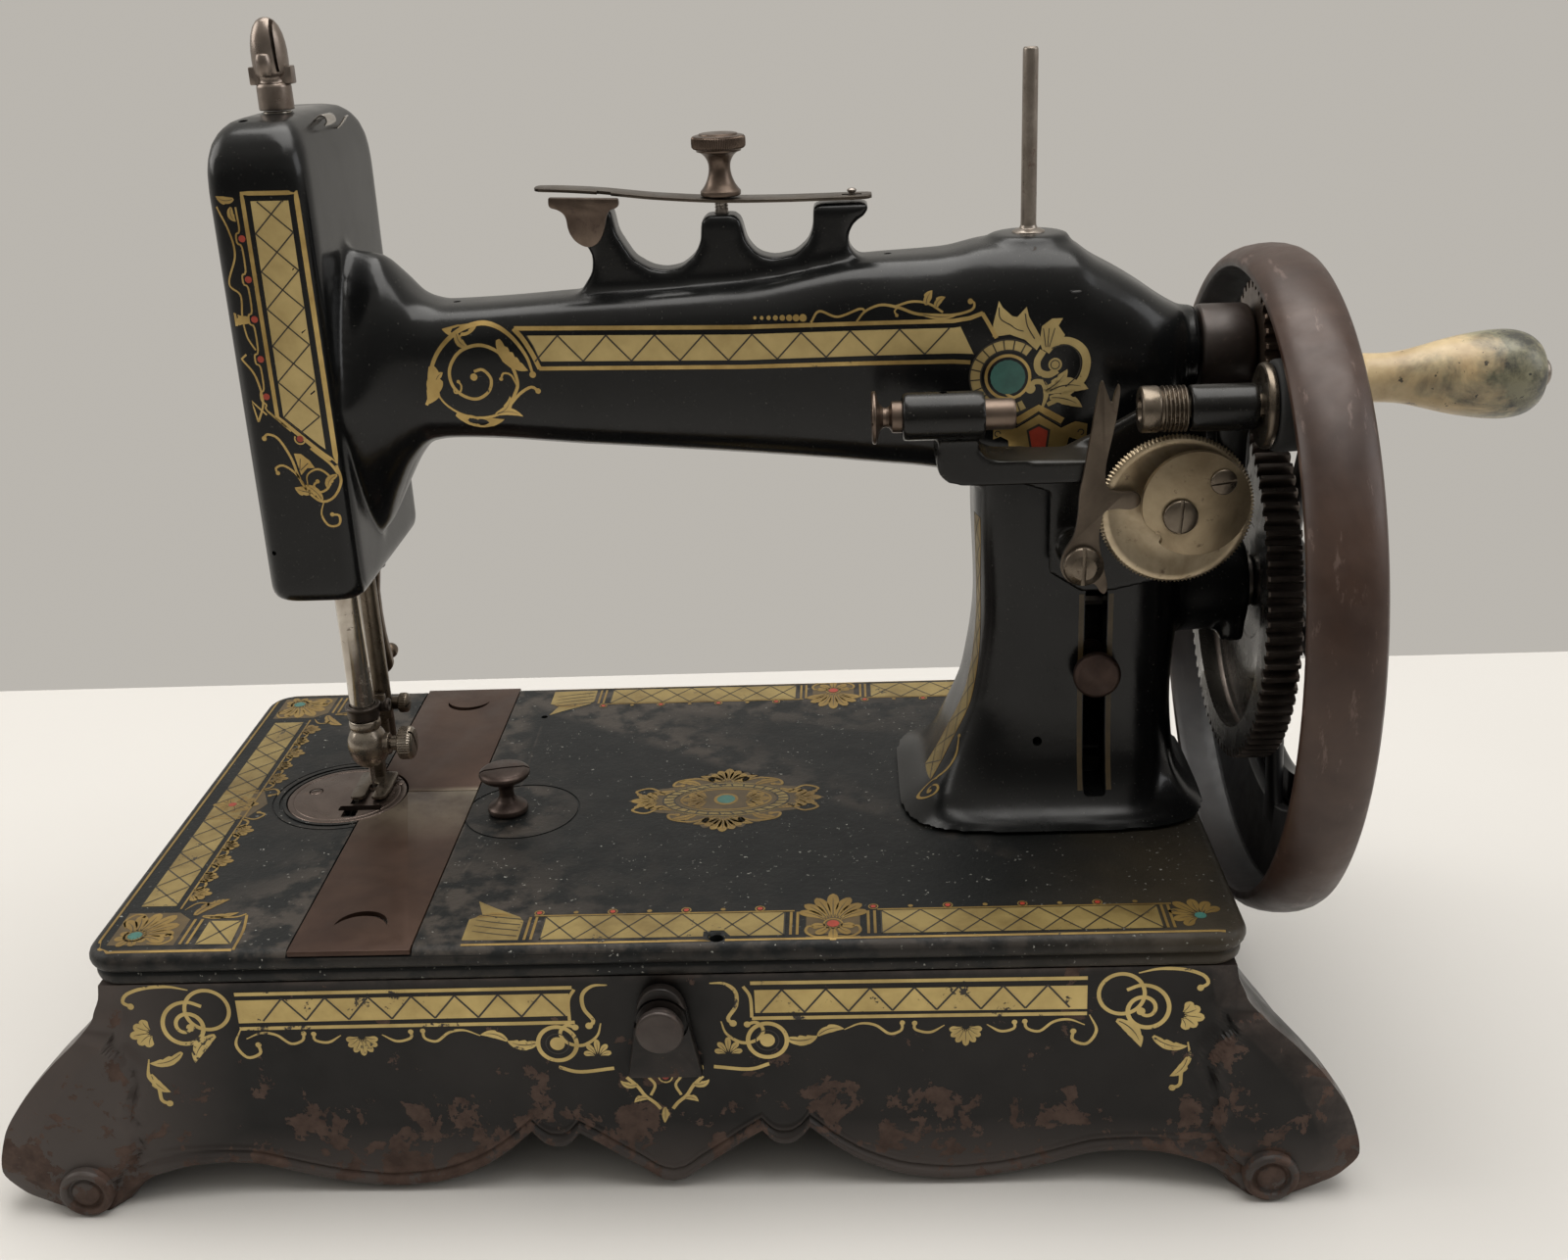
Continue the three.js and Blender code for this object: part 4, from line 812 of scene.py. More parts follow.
# ---------------------------------------------------------------- bed
RIM = [(-10.4, 3.0), (-10.1, 2.2), (-9.5, 1.6), (-8.4, 1.3), (-7.4, 1.3), (-6.8, 1.5), (-6.3, 1.9), (-5.9, 1.5),
       (-5.4, 0.75), (-4.6, 0.25), (-3.6, 0.0), (-2.7, 0.1), (-1.8, 0.5), (-1.0, 1.15), (-0.4, 2.0), (-0.1, 2.9),
       (0, 4)]
bed = loft([[(x, MID_Y + y, z) for x, y in round_rect(BED_L / 2 - i, BED_W / 2 - i, 10 - i, 10)] for z, i in RIM])
cuts = [
    block(-148, -104, 8, BED_W - 8, -20, -4.6),
    block(-65, 148, 8, BED_W - 8, -20, -4.6),
    block(-105, -64, 12, BED_W - 12, -20, -4.6),
    block(-97.5, -71.5, 14, BED_W - 14, -20, 5),
    block(-102, -67.2, -3, BED_W + 3, -1.9, 5),
    rod("z", (NEEDLE_X - 8, 94.5, -2.2), 19.3, 10, 96),
    block(NEEDLE_X - 7, NEEDLE_X + 5, 84, 108, -8, 1),
    block(105, 143, 86, 110, -8, 1),
    rod("z", (-54.7, 80.6, -3), 2.4, 10, 32),
    lathe([(0, -3), (1.9, -3), (1.9, -0.6), (2.8, 0.2), (2.8, 2), (0, 2)], "z", (16, 4.4, 0), 32, 0.1),
    rod("z", (-54.7, 152, -3), 1.2, 10, 24),
]
ring_cut = lathe([(20.4, -0.55), (21.5, -0.55), (21.5, 1), (20.4, 1), (20.4, -0.55)], "z", (NEEDLE_X - 8, 94.5, 0),
                 96, 0)
ring_far = lathe([(23.2, -0.35), (23.7, -0.35), (23.7, 1), (23.2, 1), (23.2, -0.35)], "z", (NEEDLE_X - 8, 94.5, 0),
                 96, 0)
pad = lathe([(17.6, -0.3), (18.3, -0.3), (18.3, 1), (17.6, 1), (17.6, -0.3)], "z", (-50.5, 80.6, 0), 80, 0)
boolean(bed, cuts + [ring_cut, ring_far])
boolean(bed, [pad])
BED = place(bed, "bed_cast", BED_PAINT, "machine", "bed", 30)


def slide(front):
    y0, y1 = (0.6, 95.8) if front else (96.2, BED_W - 0.6)
    plate = block(-101.6, -67.6, y0, y1, -1.6, 0, 0.28, 2)
    cy, off = (14, -2.2) if front else (BED_W - 12, 2.2)
    moon = rod("z", (-84.6, cy, -3), 7.5, 6, 64)
    boolean(moon, [rod("z", (-84.6, cy + off * 1.5, -4), 8.2, 9, 64)])
    return boolean(plate, [rod("z", (NEEDLE_X - 8, 94.5, -3), 19.6, 6, 96), moon])


place(slide(True), "slide_front", SLIDE, "front_slide", "slide_plate_front", 30)
place(slide(False), "slide_rear", SLIDE, "rear_slide", "slide_plate_rear", 30)

disc = lathe([(0, -1.8), (19, -1.8), (19, -0.35), (18.75, -0.05), (18.3, 0), (17.2, 0), (17.0, -0.18), (16.8, 0),
              (0, 0)],
             "z", (NEEDLE_X - 8, 94.5, 0), 128, 0.08)
boolean(disc, [
    lathe([(0, -4), (1.2, -4), (1.2, -0.7), (2.1, 0.3), (0, 0.3)], "z", (NEEDLE_X, AXIS_Y, 0), 32, 0),
    block(NEEDLE_X - 5.4, NEEDLE_X - 3, 88, 104, -4, 2),
    block(NEEDLE_X - 8.2, NEEDLE_X + 5.4, 83.6, 86.8, -4, 2, 0.5, 2),
    block(NEEDLE_X - 6.2, NEEDLE_X - 1.6, 79.2, 84.4, -4, 2, 0.5, 2),
    rod("z", (-120.9, 97.4, -0.8), 2.3, 4, 32),
    rod("z", (-95.2, 102.8, -0.8), 2.3, 4, 32),
])
place(disc, "needle_disc", PLATE, "machine", "needle_plate", 30)


def screw(axis, at, r, height, slot, dome=0.25, wide=0.8, deep=0.9, shank=None, seg=56):
    """A slotted screw head; slot is its slot's angle in degrees."""
    prof = [(0, 0), (r, 0), (r, height * 0.6), (r * 0.93, height * 0.86), (r * 0.6, height + dome * 0.6),
            (0, height + dome)]
    if shank:
        prof = [(0, -shank[1]), (shank[0], -shank[1]), (shank[0], 0)] + prof[1:]
    head = lathe(prof, axis, at, seg, 0.22)
    tool = block(-r - 1, r + 1, -wide / 2, wide / 2, 0, 5)
    u, v, w = (Vector(b) for b in BASES[axis])
    c, s = math.cos(math.radians(slot)), math.sin(math.radians(slot))
    a, b = u * c + v * s, v * c - u * s
    m = Matrix((a, b, w)).transposed().to_4x4()
    m.translation = Vector(at) + w * (height + dome - deep)
    tool.data.transform(m)
    return boolean(head, [tool])


place(screw("z", (-120.9, 97.4, -0.5), 2, 0.55, 20, 0.2, 0.5, 0.4), "plate_screw_a", PLATE, "machine",
      "needle_plate_screw_left")
place(screw("z", (-95.2, 102.8, -0.5), 2, 0.55, 75, 0.2, 0.5, 0.4), "plate_screw_b", PLATE, "machine",
      "needle_plate_screw_right")

# ---------------------------------------------------------------- arm, pillar, head and crest
ARM = np.array([
    (-91, 84, 176, 27.5), (-84, 92, 173.5, 23), (-78, 103, 172, 20), (-72.5, 112.4, 166.4, 17.8),
    (-67, 117.6, 160, 16.6),
    (-60, 118.6, 157.8, 16.5), (-20, 115.4, 159.4, 17), (30, 111, 162, 18), (62, 107.5, 167, 19),
    (84, 104.6, 168, 20.5),
    (96, 98, 170.4, 21.5), (108, 94, 170.9, 22), (119, 92, 169.6, 22), (126, 92, 164.9, 22), (133, 92, 161, 21.6),
    (139, 92, 157.3, 21), (147, 95, 151.8, 18), (151, 108, 149.6, 14)])
PILLAR = np.array([
    (0.3, 66, 164, 44), (2.2, 70, 161, 38), (6, 75.5, 157.6, 33), (12, 79.6, 154.6, 29), (20, 83.6, 153, 26.4),
    (36, 89.6, 152, 24), (64, 93, 153.6, 23), (96, 92, 154, 22.6), (120, 93, 152, 21)])
HEAD = [(76, 9.4, 34.6), (76.5, 11.2, 36.6), (77.8, 12.2, 37.5), (80, 12.6, 38), (90, 12.6, 38), (150, 12.6, 38),
        (194, 12.6, 38), (199, 12.4, 37.6), (203, 11.9, 36.6), (206.5, 10.9, 34.8), (209.4, 9.2, 32),
        (211.3, 6.8, 28),
        (212.2, 4, 22)]
CREST = [
    (-40, 148), (-22, 157), (-19, 161.9), (-16.3, 165.5), (-16.2, 171), (-19.3, 175.3), (-21.8, 179.4), (-22, 183),
    (-9.8, 183), (-8.6, 176), (-4.4, 169), (0, 166.2), (4.4, 165.2), (9, 166), (13, 169), (15, 173), (15.4, 179),
    (17, 180.2), (25.2, 180.2), (26.9, 178.6), (28, 172.8), (31, 169), (35.6, 167.6), (41.8, 168.7), (45.6, 172),
    (47, 176), (47.2, 182.2), (63, 182.2), (62.3, 179), (58.4, 176.6), (56.8, 173), (57.4, 169.4), (60.4, 166.6),
    (66, 160), (60, 148)]


def stations(data, q):
    return np.array([pchip(data[:, 0], data[:, k], q) for k in range(1, 4)]).T


def arm_casting():
    q = np.concatenate([np.linspace(-91, -60, 22), np.linspace(-58, 96, 48), np.linspace(98, 151, 34)])
    arm = loft([[(x, AXIS_Y + y, (z0 + z1) / 2 + z) for y,
                 z in oval(hy, (z1 - z0) / 2, 1.3 + 2.1 * ease((x + 91) / 34), 96)]
                for x, (z0, z1, hy) in zip(q, stations(ARM, q))])
    q = np.concatenate([np.linspace(0.3, 20, 26), np.linspace(22, 120, 40)])
    pillar = loft([[((x0 + x1) / 2 + x, AXIS_Y + y, z) for x, y in oval((x1 - x0) / 2, hy, 4.2, 96)]
                   for z, (x0, x1, hy) in zip(q, stations(PILLAR, q))])
    head = loft([[(NEEDLE_X + x, 106 + y, z) for x, y in round_rect(hx + 1.4, hy, min(6.2, hx * 0.66), 9)]
                 for z, hx, hy in HEAD])
    crest = slab(CREST, AXIS_Y - 6, AXIS_Y + 6, "xz", 1.2, 3)
    collar = union(lathe([(0, 0), (17, 0), (15, 8), (14.6, 29.8), (0, 29.8)], "x", (144, AXIS_Y, WHEEL_Z), 72, 0.8),
                   block(166, 173.4, AXIS_Y - 12.6, AXIS_Y - 6.6, WHEEL_Z - 15.6, WHEEL_Z - 4, 1.2))
    boss = rod("x", (140, AXIS_Y, SHAFT_Z), 13, 16.2, 72)
    crown = lathe([(0, 0), (14.4, 0), (12.2, 4), (11.5, 7), (10.9, 8.2), (0, 8.4)], "z", (108, AXIS_Y, 163.6), 64,
                  0.5)
    lug = block(NEEDLE_X - 4.4, NEEDLE_X + 4.4, 126.7, 131, 65.4, 80)
    cavity = block(105, 141, 84, 112, -2, 120)
    hollow = block(NEEDLE_X - 9.6, NEEDLE_X + 9.6, 72, 160, 84, 202)
    arm = union(arm, pillar, head, crest, collar, boss, crown, lug)
    boolean(arm, [cavity, hollow])
    remesh(arm, 1.25, 5, 0.5)
    slot_cut = slab([(126.9 + x, 39.7 + z) for x, z in round_rect(3.3, 31.8, 1.2, 5)], 50, 92, "xz")
    holes = [
        slot_cut,
        block(105.4, 140.6, 84.4, 111.6, -2, 147.6),
        rod("x", (-94, AXIS_Y, SHAFT_Z), 6.4, 252, 40),
        rod("x", (141, AXIS_Y, WHEEL_Z), 6.3, 40, 40),
        rod("z", (NEEDLE_X, AXIS_Y, 60), 4.2, 170, 40),
        rod("z", (NEEDLE_X, PRESSER_Y, 60), 3.7, 30, 40),
        rod("y", (NEEDLE_X, 124, 70), 2, 9, 32),
        rod("z", (21.2, AXIS_Y, 172), 2.2, 12, 32),
        rod("z", (108, AXIS_Y, 160), 2.5, 20, 32),
        rod("y", (110, 60, 24), 1.4, 20, 24),
        rod("z", (-57, 97, 150), 1.1, 14, 20),
        rod("z", (68, 97, 158), 1.1, 14, 20),
        rod("z", (NEEDLE_X - 4, 80, 206), 1.3, 10, 20),
        rod("y", (-112, 60, 92), 0.7, 10, 16),
    ]
    return boolean(arm, holes)


ARM_OBJ = place(arm_casting(), "arm_cast", BLACK, "machine", "arm_casting", 48)
cover = loft([[(NEEDLE_X + x, y, 143 + z) for x, z in round_rect(9.4 - i, 58.6 - i, 3 - i, 6)]
              for y, i in ((140.4, 0), (142.9, 0), (143.25, 0.15), (143.4, 0.5))])
place(cover, "head_back_cover", BLACK, "machine", "head_cover")

# ---------------------------------------------------------------- hand wheel, gears and crank
HUB = (0, AXIS_Y, WHEEL_Z)


def closed(profile):
    return list(profile) + [profile[0]]


def hand_wheel():
    rim_line = [(94.1, 169.0), (94.8, 168.6), (96.3, 168.7), (97.6, 169.9), (98.9, 171.9), (99.8, 174.4),
                (100.35, 177.6),
                (100.5, 180.6), (100.25, 183.4), (99.5, 186.0), (98.4, 187.9), (96.9, 188.8), (94.4, 188.9),
                (93.3, 188.4),
                (92.8, 185.6), (92.6, 180.5), (93.7, 177.2), (93.8, 171)]
    rim = lathe(closed(rim_line), "x", HUB, 200, 0.35)
    web = lathe(closed([(70.5, 184.2), (80, 183.3), (93.6, 181.2), (94.6, 183.6), (93.6, 186.6), (80, 188),
                        (70.5, 188.6),
                        (69.6, 186.4)]), "x", HUB, 160, 0.5)
    hub = lathe(closed([(6.25, 180), (14.4, 180), (15, 180.8), (14.6, 183), (13.6, 187.6), (13.2, 190.4),
                        (12.6, 191.8),
                        (11.6, 192.2), (6.25, 192.2)]), "x", HUB, 72, 0.3)
    for k in range(5):
        rings = []
        for r, w, t in ((10, 6.2, 3.2), (16, 5.4, 3.0), (24, 4.9, 2.8), (38, 4.4, 2.6), (52, 4.3, 2.5),
                        (62, 4.7, 2.4),
                        (69, 5.8, 2.3), (76, 8.6, 2.1)):
            rings.append([(185.5 + x, y, r) for x, y in oval(t, w, 2.3, 24)])
        spoke = loft(rings)
        spoke.data.transform(Matrix.Rotation(TAU * k / 5 + 0.44, 4, "X"))
        spoke.data.transform(Matrix.Translation(Vector(HUB)))
        union(web, spoke)
    return union(web, hub, rim)


place(hand_wheel(), "wheel_cast", WHEEL, "wheel", "hand_wheel", 40)

ring = lathe(closed([(60, 189.1), (79, 189.1), (79.9, 189.5), (80.4, 190.4), (80.5, 191.6), (80.2, 192.6),
                     (79.4, 193.2),
                     (78.2, 193.5), (73, 193.5), (72.4, 193.1), (67, 193.1), (66.4, 193.5), (61.6, 193.5),
                     (60.4, 193.1),
                     (59.9, 192)]), "x", HUB, 200, 0.25)
boolean(ring, [rod("x", (180, CRANK_Y, CRANK_Z), 3.4, 30, 40)])
place(ring, "crank_band", BLACK_RING, "wheel", "crank_ring", 40)

pin = lathe([(0, 189.5), (3.1, 189.5), (3.1, 247), (4.3, 247.2), (4.4, 248), (4.3, 249), (3.9, 250.1), (3.0, 250.8),
             (1.6, 251.1), (0.9, 250.9), (0, 250.7)], "x", (0, CRANK_Y, CRANK_Z), 56, 0.2)
boolean(pin, [block(249.9, 253, CRANK_Y - 0.4, CRANK_Y + 0.4, CRANK_Z - 6, CRANK_Z + 6)])
place(pin, "handle_bolt", PIN_STEEL, "wheel", "handle_pin")

grip_line = catmull([(7.0, 199.2), (6.85, 202.5), (6.9, 206), (7.5, 211), (8.7, 216), (10.1, 221.4), (11.3, 227),
                     (12.1, 232.5),
                     (12.4, 237), (12.1, 241), (11.0, 244.4), (9.0, 247.0), (6.6, 248.4), (5.2, 248.7)], 1.2)
grip = lathe(closed([(3.4, 194.3), (7.6, 194.3), (8.2, 194.8), (8.6, 195.8), (8.7, 196.8), (8.2, 198.0), (7.3, 198.5)]
                    + [tuple(p) for p in grip_line] + [(4.6, 248.3), (4.6, 246.7), (3.4, 246.7)]),
             "x", (0, CRANK_Y, CRANK_Z), 96, 0.12)
place(grip, "grip_wood", HANDLE, "grip", "crank_handle", 50)

stud = lathe([(0, 142), (6, 142), (6, 174.3), (7.6, 174.3), (8.0, 174.7),
              (8.0, 176.1), (7.6, 176.5), (6, 176.5), (6, 193),
              (0, 193)], "x", HUB, 64, 0.2)
place(stud, "wheel_axle", STEEL, "machine", "wheel_stud")
nut = lathe([(0, 193.35), (9.2, 193.35), (9.6, 193.8), (9.6, 195.0), (9.0, 195.8), (7.8, 196.6), (6.9, 197.6),
             (4.8, 198.7),
             (2.4, 199.1), (0, 199.2)], "x", HUB, 64, 0.25)
boolean(nut, [block(197.6, 201, AXIS_Y - 0.7, AXIS_Y + 0.7, WHEEL_Z - 11, WHEEL_Z + 11)])
place(nut, "wheel_cap_nut", RUSTY, "machine", "wheel_nut")


def gear(teeth, module, add, ded, phase, slack, hole, x0, x1, y, z, chamfer=0.5):
    """A spur gear along X, each tooth with curved flanks and chamfered ends."""
    pitch = teeth * module / 2
    flank = [(-ded, 0.30), (-ded * 0.5, 0.26), (0, 0), (add * 0.6, -0.26), (add, -0.36)]

    def ring(x, trim):
        out = []
        for i in range(teeth):
            c = phase + TAU * i / teeth
            half = math.pi / (2 * teeth) - slack / pitch
            side = []
            for r, slope in flank:
                rr = min(r, add - trim)
                side.append((pitch + rr, half + (-r * 0.30 if r < 0 else -r * 0.36) / pitch))
            for r, a in side:
                out.append((x, y + r * math.cos(c - a), z + r * math.sin(c - a)))
            for r, a in reversed(side):
                out.append((x, y + r * math.cos(c + a), z + r * math.sin(c + a)))
        return out

    body = loft([ring(x0, chamfer), ring(x0 + chamfer, 0), ring(x1 - chamfer, 0), ring(x1, chamfer)])
    return boolean(body, [rod("x", (x0 - 5, y, z), hole, x1 - x0 + 10, 56)])


MODULE = 2 * (SHAFT_Z - WHEEL_Z) / 108
spur = gear(80, MODULE, 1.05, 1.5, math.pi / 2 + math.pi / 80, 0.06, 6.25, 169.4, 179.4, AXIS_Y, WHEEL_Z)
dish = lathe([(0, 0), (44.6, 0), (46.0, 3.4), (46.8, 6.4), (46.6, 7.6), (45.4, 8.2), (31, 8.2), (30.4, 7.8),
              (18, 7.8),
              (17.4, 8.2), (0, 8.2)], "x", (168.6, AXIS_Y, WHEEL_Z), 120, 0.3)
boolean(spur, [dish])
spur = place(spur, "wheel_gear", GEAR, "wheel", "spur_gear", 32)
spur.data.materials.append(GEAR_FACE)
for poly in spur.data.polygons:
    at = np.array(poly.center) / MM - SHIFT
    if math.hypot(at[1] - AXIS_Y, at[2] - WHEEL_Z) < 46.4 and at[0] < 178:
        poly.material_index = 1
small = gear(28, MODULE, 1.05, 1.5, -math.pi / 2, 0.1, 5.3, 172.6, 180.8, AXIS_Y, SHAFT_Z)
place(small, "shaft_pinion", PINION, "shaft", "pinion", 32)

sleeve = lathe([(0, 156.7), (12.3, 156.7), (12.9, 157.3), (13, 158.4), (13, 169.6), (12.6, 171.0), (11.6, 171.9),
                (8, 171.9),
                (7, 171.2), (0, 171.2)], "x", (0, AXIS_Y, SHAFT_Z), 72, 0.3)
boolean(sleeve, [rod("x", (150, AXIS_Y, SHAFT_Z), 5.4, 40, 48), rod("-y", (164, 82, SHAFT_Z), 1.6, 8, 24)])
place(sleeve, "shaft_sleeve", metal("collar_worn", (0.050, 0.036, 0.030), (0.020, 0.016, 0.014), (0.30, 0.5), 70, 0.8,
                                    rust=(0.09, 0.055, 0.04), metallic=0.35), "machine", "shaft_collar")

# ---------------------------------------------------------------- bobbin winder
SPINDLE = (0, WINDER_Y, SPINDLE_Z)


def winder_bracket():
    web = slab([(100, 108), (118, 118), (127, 122), (138, 128), (166, 128), (167, 112), (163, 96), (158, 84),
                (148, 78),
                (130, 74), (121, 74), (112, 80), (112, 104)], 66, 70, "xz")
    rail = slab([(79, 119), (79.4, 115.4), (80.6, 113.2), (83, 111.6), (87, 110.9), (92, 110.7), (122, 110.8),
                 (122, 117.2),
                 (96, 117.8), (92.5, 118.8), (90.8, 121.4), (90, 125.6), (80, 125.6), (79.4, 122)], 52, 68, "xz")
    barrel = rod("x", (69.8, WINDER_Y, SPINDLE_Z), 6.5, 22.2, 48)
    sleeve = rod("x", (146.1, WINDER_Y, SPINDLE_Z), 6.3, 18.1, 48)
    stem = block(149, 163, WINDER_Y - 3, 67, 125, 130.4)
    strip = block(155, 164, 57, 67, 108, 127)
    foot = block(114, 136, 67, 74.6, 84, 104)
    worm_boss = rod("y", (WORM_X, 55.2, WORM_Z), 5, 12, 40)
    fork_boss = rod("y", (118.9, 51.4, 88.4), 4.7, 16, 40)
    body = joined(web, rail, barrel, sleeve, stem, strip, foot, worm_boss, fork_boss)
    remesh(body, 0.8, 6, 0.5)
    return boolean(body, [
        rod("x", (60, WINDER_Y, SPINDLE_Z), 4.5, 40, 48),
        rod("x", (140, WINDER_Y, SPINDLE_Z), 3.9, 40, 48),
        rod("-y", (WORM_X, 72, WORM_Z), 2.7, 30, 32),
        rod("-y", (118.9, 64, 88.4), 2.3, 20, 32),
        rod("z", (81, WINDER_Y, 135), 1.1, 6, 20),
    ])


place(winder_bracket(), "winder_casting", BLACK_WINDER, "machine", "winder_bracket", 44)


def worm(a, r, h):
    """Helical thread between the two plain ends of the spindle's worm."""
    if 138.9 < h < 145.5:
        u = ((h - 139) / 1.115 - a / TAU) % 1
        wave = 0.5 + 0.5 * math.cos(TAU * u)
        return 5.65 + 0.62 * wave ** 0.7
    return r


worm_steps = [(6.0, 138.9 + 0.09 * i) for i in range(1, 73)]
spindle = lathe([(0, 137.4), (1.8, 137.2), (2.2, 136), (2.9, 134.4), (3.4, 133.3), (5.7, 133.2), (6.2, 133.6),
                 (6.3, 134.2),
                 (6.3, 137.6), (6.0, 138.2), (5.5, 138.5)] + worm_steps +
                [(5.6, 145.55), (3.6, 145.6), (3.6, 165), (10.8, 165), (11.3, 165.3), (11.5, 165.9), (11.5, 166.9),
                 (11.2, 167.5),
                 (10.6, 167.7), (3.4, 167.75), (3.4, 176.4), (2.8, 177), (0, 177)], "x", SPINDLE, 96, 0, worm)
place(spindle, "winder_worm", WINDER_STEEL, "spindle", "winder_spindle", 30)
tyre = lathe(closed([(3.6, 168), (11.2, 168), (12.0, 168.3), (12.3, 169.2), (12.4, 171.8), (12.3, 174.6),
                     (12.0, 175.5),
                     (11.2, 175.8), (6.6, 175.8), (6.2, 175.3), (3.6, 175.3)]), "x", SPINDLE, 80, 0.2)
place(tyre, "winder_tyre", RUBBER, "spindle", "winder_pulley")


def worm_disc():
    def teeth(a, r, h):
        if r < 20.2:
            return r
        return r - 0.5 * (0.5 + 0.5 * math.cos(120 * a)) ** 0.8
    disc = lathe([(0, -54.4), (20.0, -54.4), (20.7, -54.1), (21.2, -53.4), (21.3, -52.8), (20.8, -52.1),
                  (20.1, -51.7),
                  (19.2, -51.5), (18.2, -51.8), (16.4, -52.5), (13.4, -53.1), (10, -53.4), (0, -53.4)], "-y",
                  (WORM_X, 0, WORM_Z), 960, 0,
                 teeth)
    hub = lathe([(0, -54.6), (6.4, -54.6), (6.4, -51.5), (0, -51.4)], "-y", (WORM_X, 0, WORM_Z), 56, 0.3)
    union(disc, hub)
    return boolean(disc, [rod("y", (WORM_X, 40, WORM_Z), 2.7, 30, 40)])


place(worm_disc(), "worm_disc", BRASS, "traverse", "worm_wheel", 34)

CAM_X, CAM_Z = 148.6, 105.8
cam_line = []
for i in range(160):
    a = TAU * i / 160
    r = 14.6 - 1.2 * math.exp(-(((a - 3.75 + math.pi) % TAU - math.pi) / 0.16) ** 2)
    cam_line.append((CAM_X + r * math.cos(a), CAM_Z + r * math.sin(a)))
cam_disc = slab(cam_line, 46.5, 48.85, "xz", 0.3, 2)
boolean(cam_disc, [
    rod("y", (WORM_X, 40, WORM_Z), 2.7, 30, 40),
    rod("y", (CAM_X - 10.6, 40, CAM_Z - 9.8), 1.8, 30, 32),
    lathe([(0, -1), (5.2, -1), (5.2, 0.45), (0, 0.45)], "y", (WORM_X, 46.2, WORM_Z), 48, 0),
])
place(cam_disc, "traverse_cam", CAM_BRASS, "traverse", "winder_cam", 34)

place(screw("-y", (WORM_X, 46.15, WORM_Z), 4.7, 1.35, 86, 0.3, 1.0, 1.25, (2.4, 20)), "cam_pivot", WINDER_STEEL,
      "machine",
      "cam_pivot_screw")
place(screw("-y", (155.4, 46.15, 112), 3.5, 0.9, 8, 0.25, 0.85, 0.8), "cam_clamp", WINDER_STEEL, "traverse",
      "cam_pin_screw")

FORK_LINE = [(122.7, 139.6), (124.0, 137.0), (125.2, 133.9), (125.7, 133.8), (126.3, 136.4), (127.2, 138.6),
             (127.6, 137.4),
             (127.5, 135), (126.6, 128), (125.3, 121.1), (124.5, 116.5), (124.5, 112), (126.0, 109.5), (129.0, 108.9),
             (132.0, 108.8), (133.7, 107.8), (134.1, 106.3), (133.3, 104.7), (131.2, 103.9), (127.6, 104.2),
             (125.0, 103.7),
             (123.8, 101.6), (123.2, 96), (123.9, 91), (125.2, 85.4), (125.9, 81.6), (125.0, 79.6), (123.7, 80.6),
             (122.2, 82.6), (119, 82.1), (115.4, 83.4), (113.3, 86), (112.9, 88.8), (114, 92.6), (116.2, 96.6),
             (117.2, 101.5),
             (117.6, 108.5), (118.6, 114.7), (119.6, 121.1), (120.6, 127.6), (121.3, 132.8)]
fork = slab([tuple(p) for p in catmull(FORK_LINE, 0.9, True)], 49.35, 51.05, "xz", 0.3, 2)
boolean(fork, [rod("y", (118.9, 40, 88.4), 2.3, 20, 40)])
place(fork, "traverse_fork", FORK, "fork", "thread_fork", 40)
place(screw("-y", (118.9, 48.95, 88.4), 5.6, 2.2, 88, 1.3, 1.15, 2.0, (2, 14)), "fork_pivot", WINDER_STEEL, "machine",
      "fork_pivot_screw")

plunger = lathe([(0, 61.7), (6.2, 61.7), (6.9, 61.9), (7.15, 62.3), (7.1, 62.8), (6.5, 63.15), (5.2, 63.4),
                 (3.6, 64.0),
                 (2.8, 64.8), (2.6, 65.6), (2.9, 66.4), (3.6, 66.9), (4.2, 67.2), (4.25, 68.4), (4.2, 99.2),
                 (3.9, 100.1),
                 (3.2, 100.3), (1.9, 100.2), (1.7, 99.4), (1.5, 98.6), (0, 98.6)], "x", SPINDLE, 64, 0.12)
boolean(plunger, [block(60.9, 62.1, WINDER_Y - 8, WINDER_Y + 8, SPINDLE_Z - 0.45, SPINDLE_Z + 0.45)])
place(plunger, "winder_centre", NICKEL_BROWN, "plunger", "winder_plunger", 34)

# ---------------------------------------------------------------- stitch knob, tension and thread guides
knob = lathe([(0, -13), (5, -13), (5, -12.4), (2.6, -12.4), (2.6, 1.6), (6.2, 1.6), (6.8, 1.9), (7.0, 2.6),
              (7.0, 3.9),
              (6.8, 4.6), (6.3, 5.0), (5.7, 5.15), (5.2, 5.0), (0, 4.85)], "-y", (126.9, 73, 46.5), 72, 0.15)
place(knob, "stitch_button", RUSTY, "regulator", "stitch_knob")

spring_line = np.array([(-31.4, 188.6, 1.9), (-30.8, 188.6, 3.4), (-29.4, 188.5, 4.3), (-26, 188.35, 4.75),
                        (-16, 187.6, 5),
                        (4, 185.2, 5.25), (21, 183.9, 5.5), (30, 183.6, 5.5), (44, 183.4, 5.4), (58, 183.4, 5.3),
                        (61.4, 183.4, 5.0), (63.0, 183.45, 4.2), (63.8, 183.5, 2.8)])
q = np.concatenate([np.linspace(-31.4, -28, 8), np.linspace(-26, 60, 44), np.linspace(61, 63.8, 7)])
zs, hs = pchip(spring_line[:, 0], spring_line[:, 1], q), pchip(spring_line[:, 0], spring_line[:, 2], q)
spring = loft([[(x, AXIS_Y + y, z + 0.2 + dz) for y, dz in round_rect(h, 0.45, 0.2, 3)] for x, z,
               h in zip(q, zs, hs)])
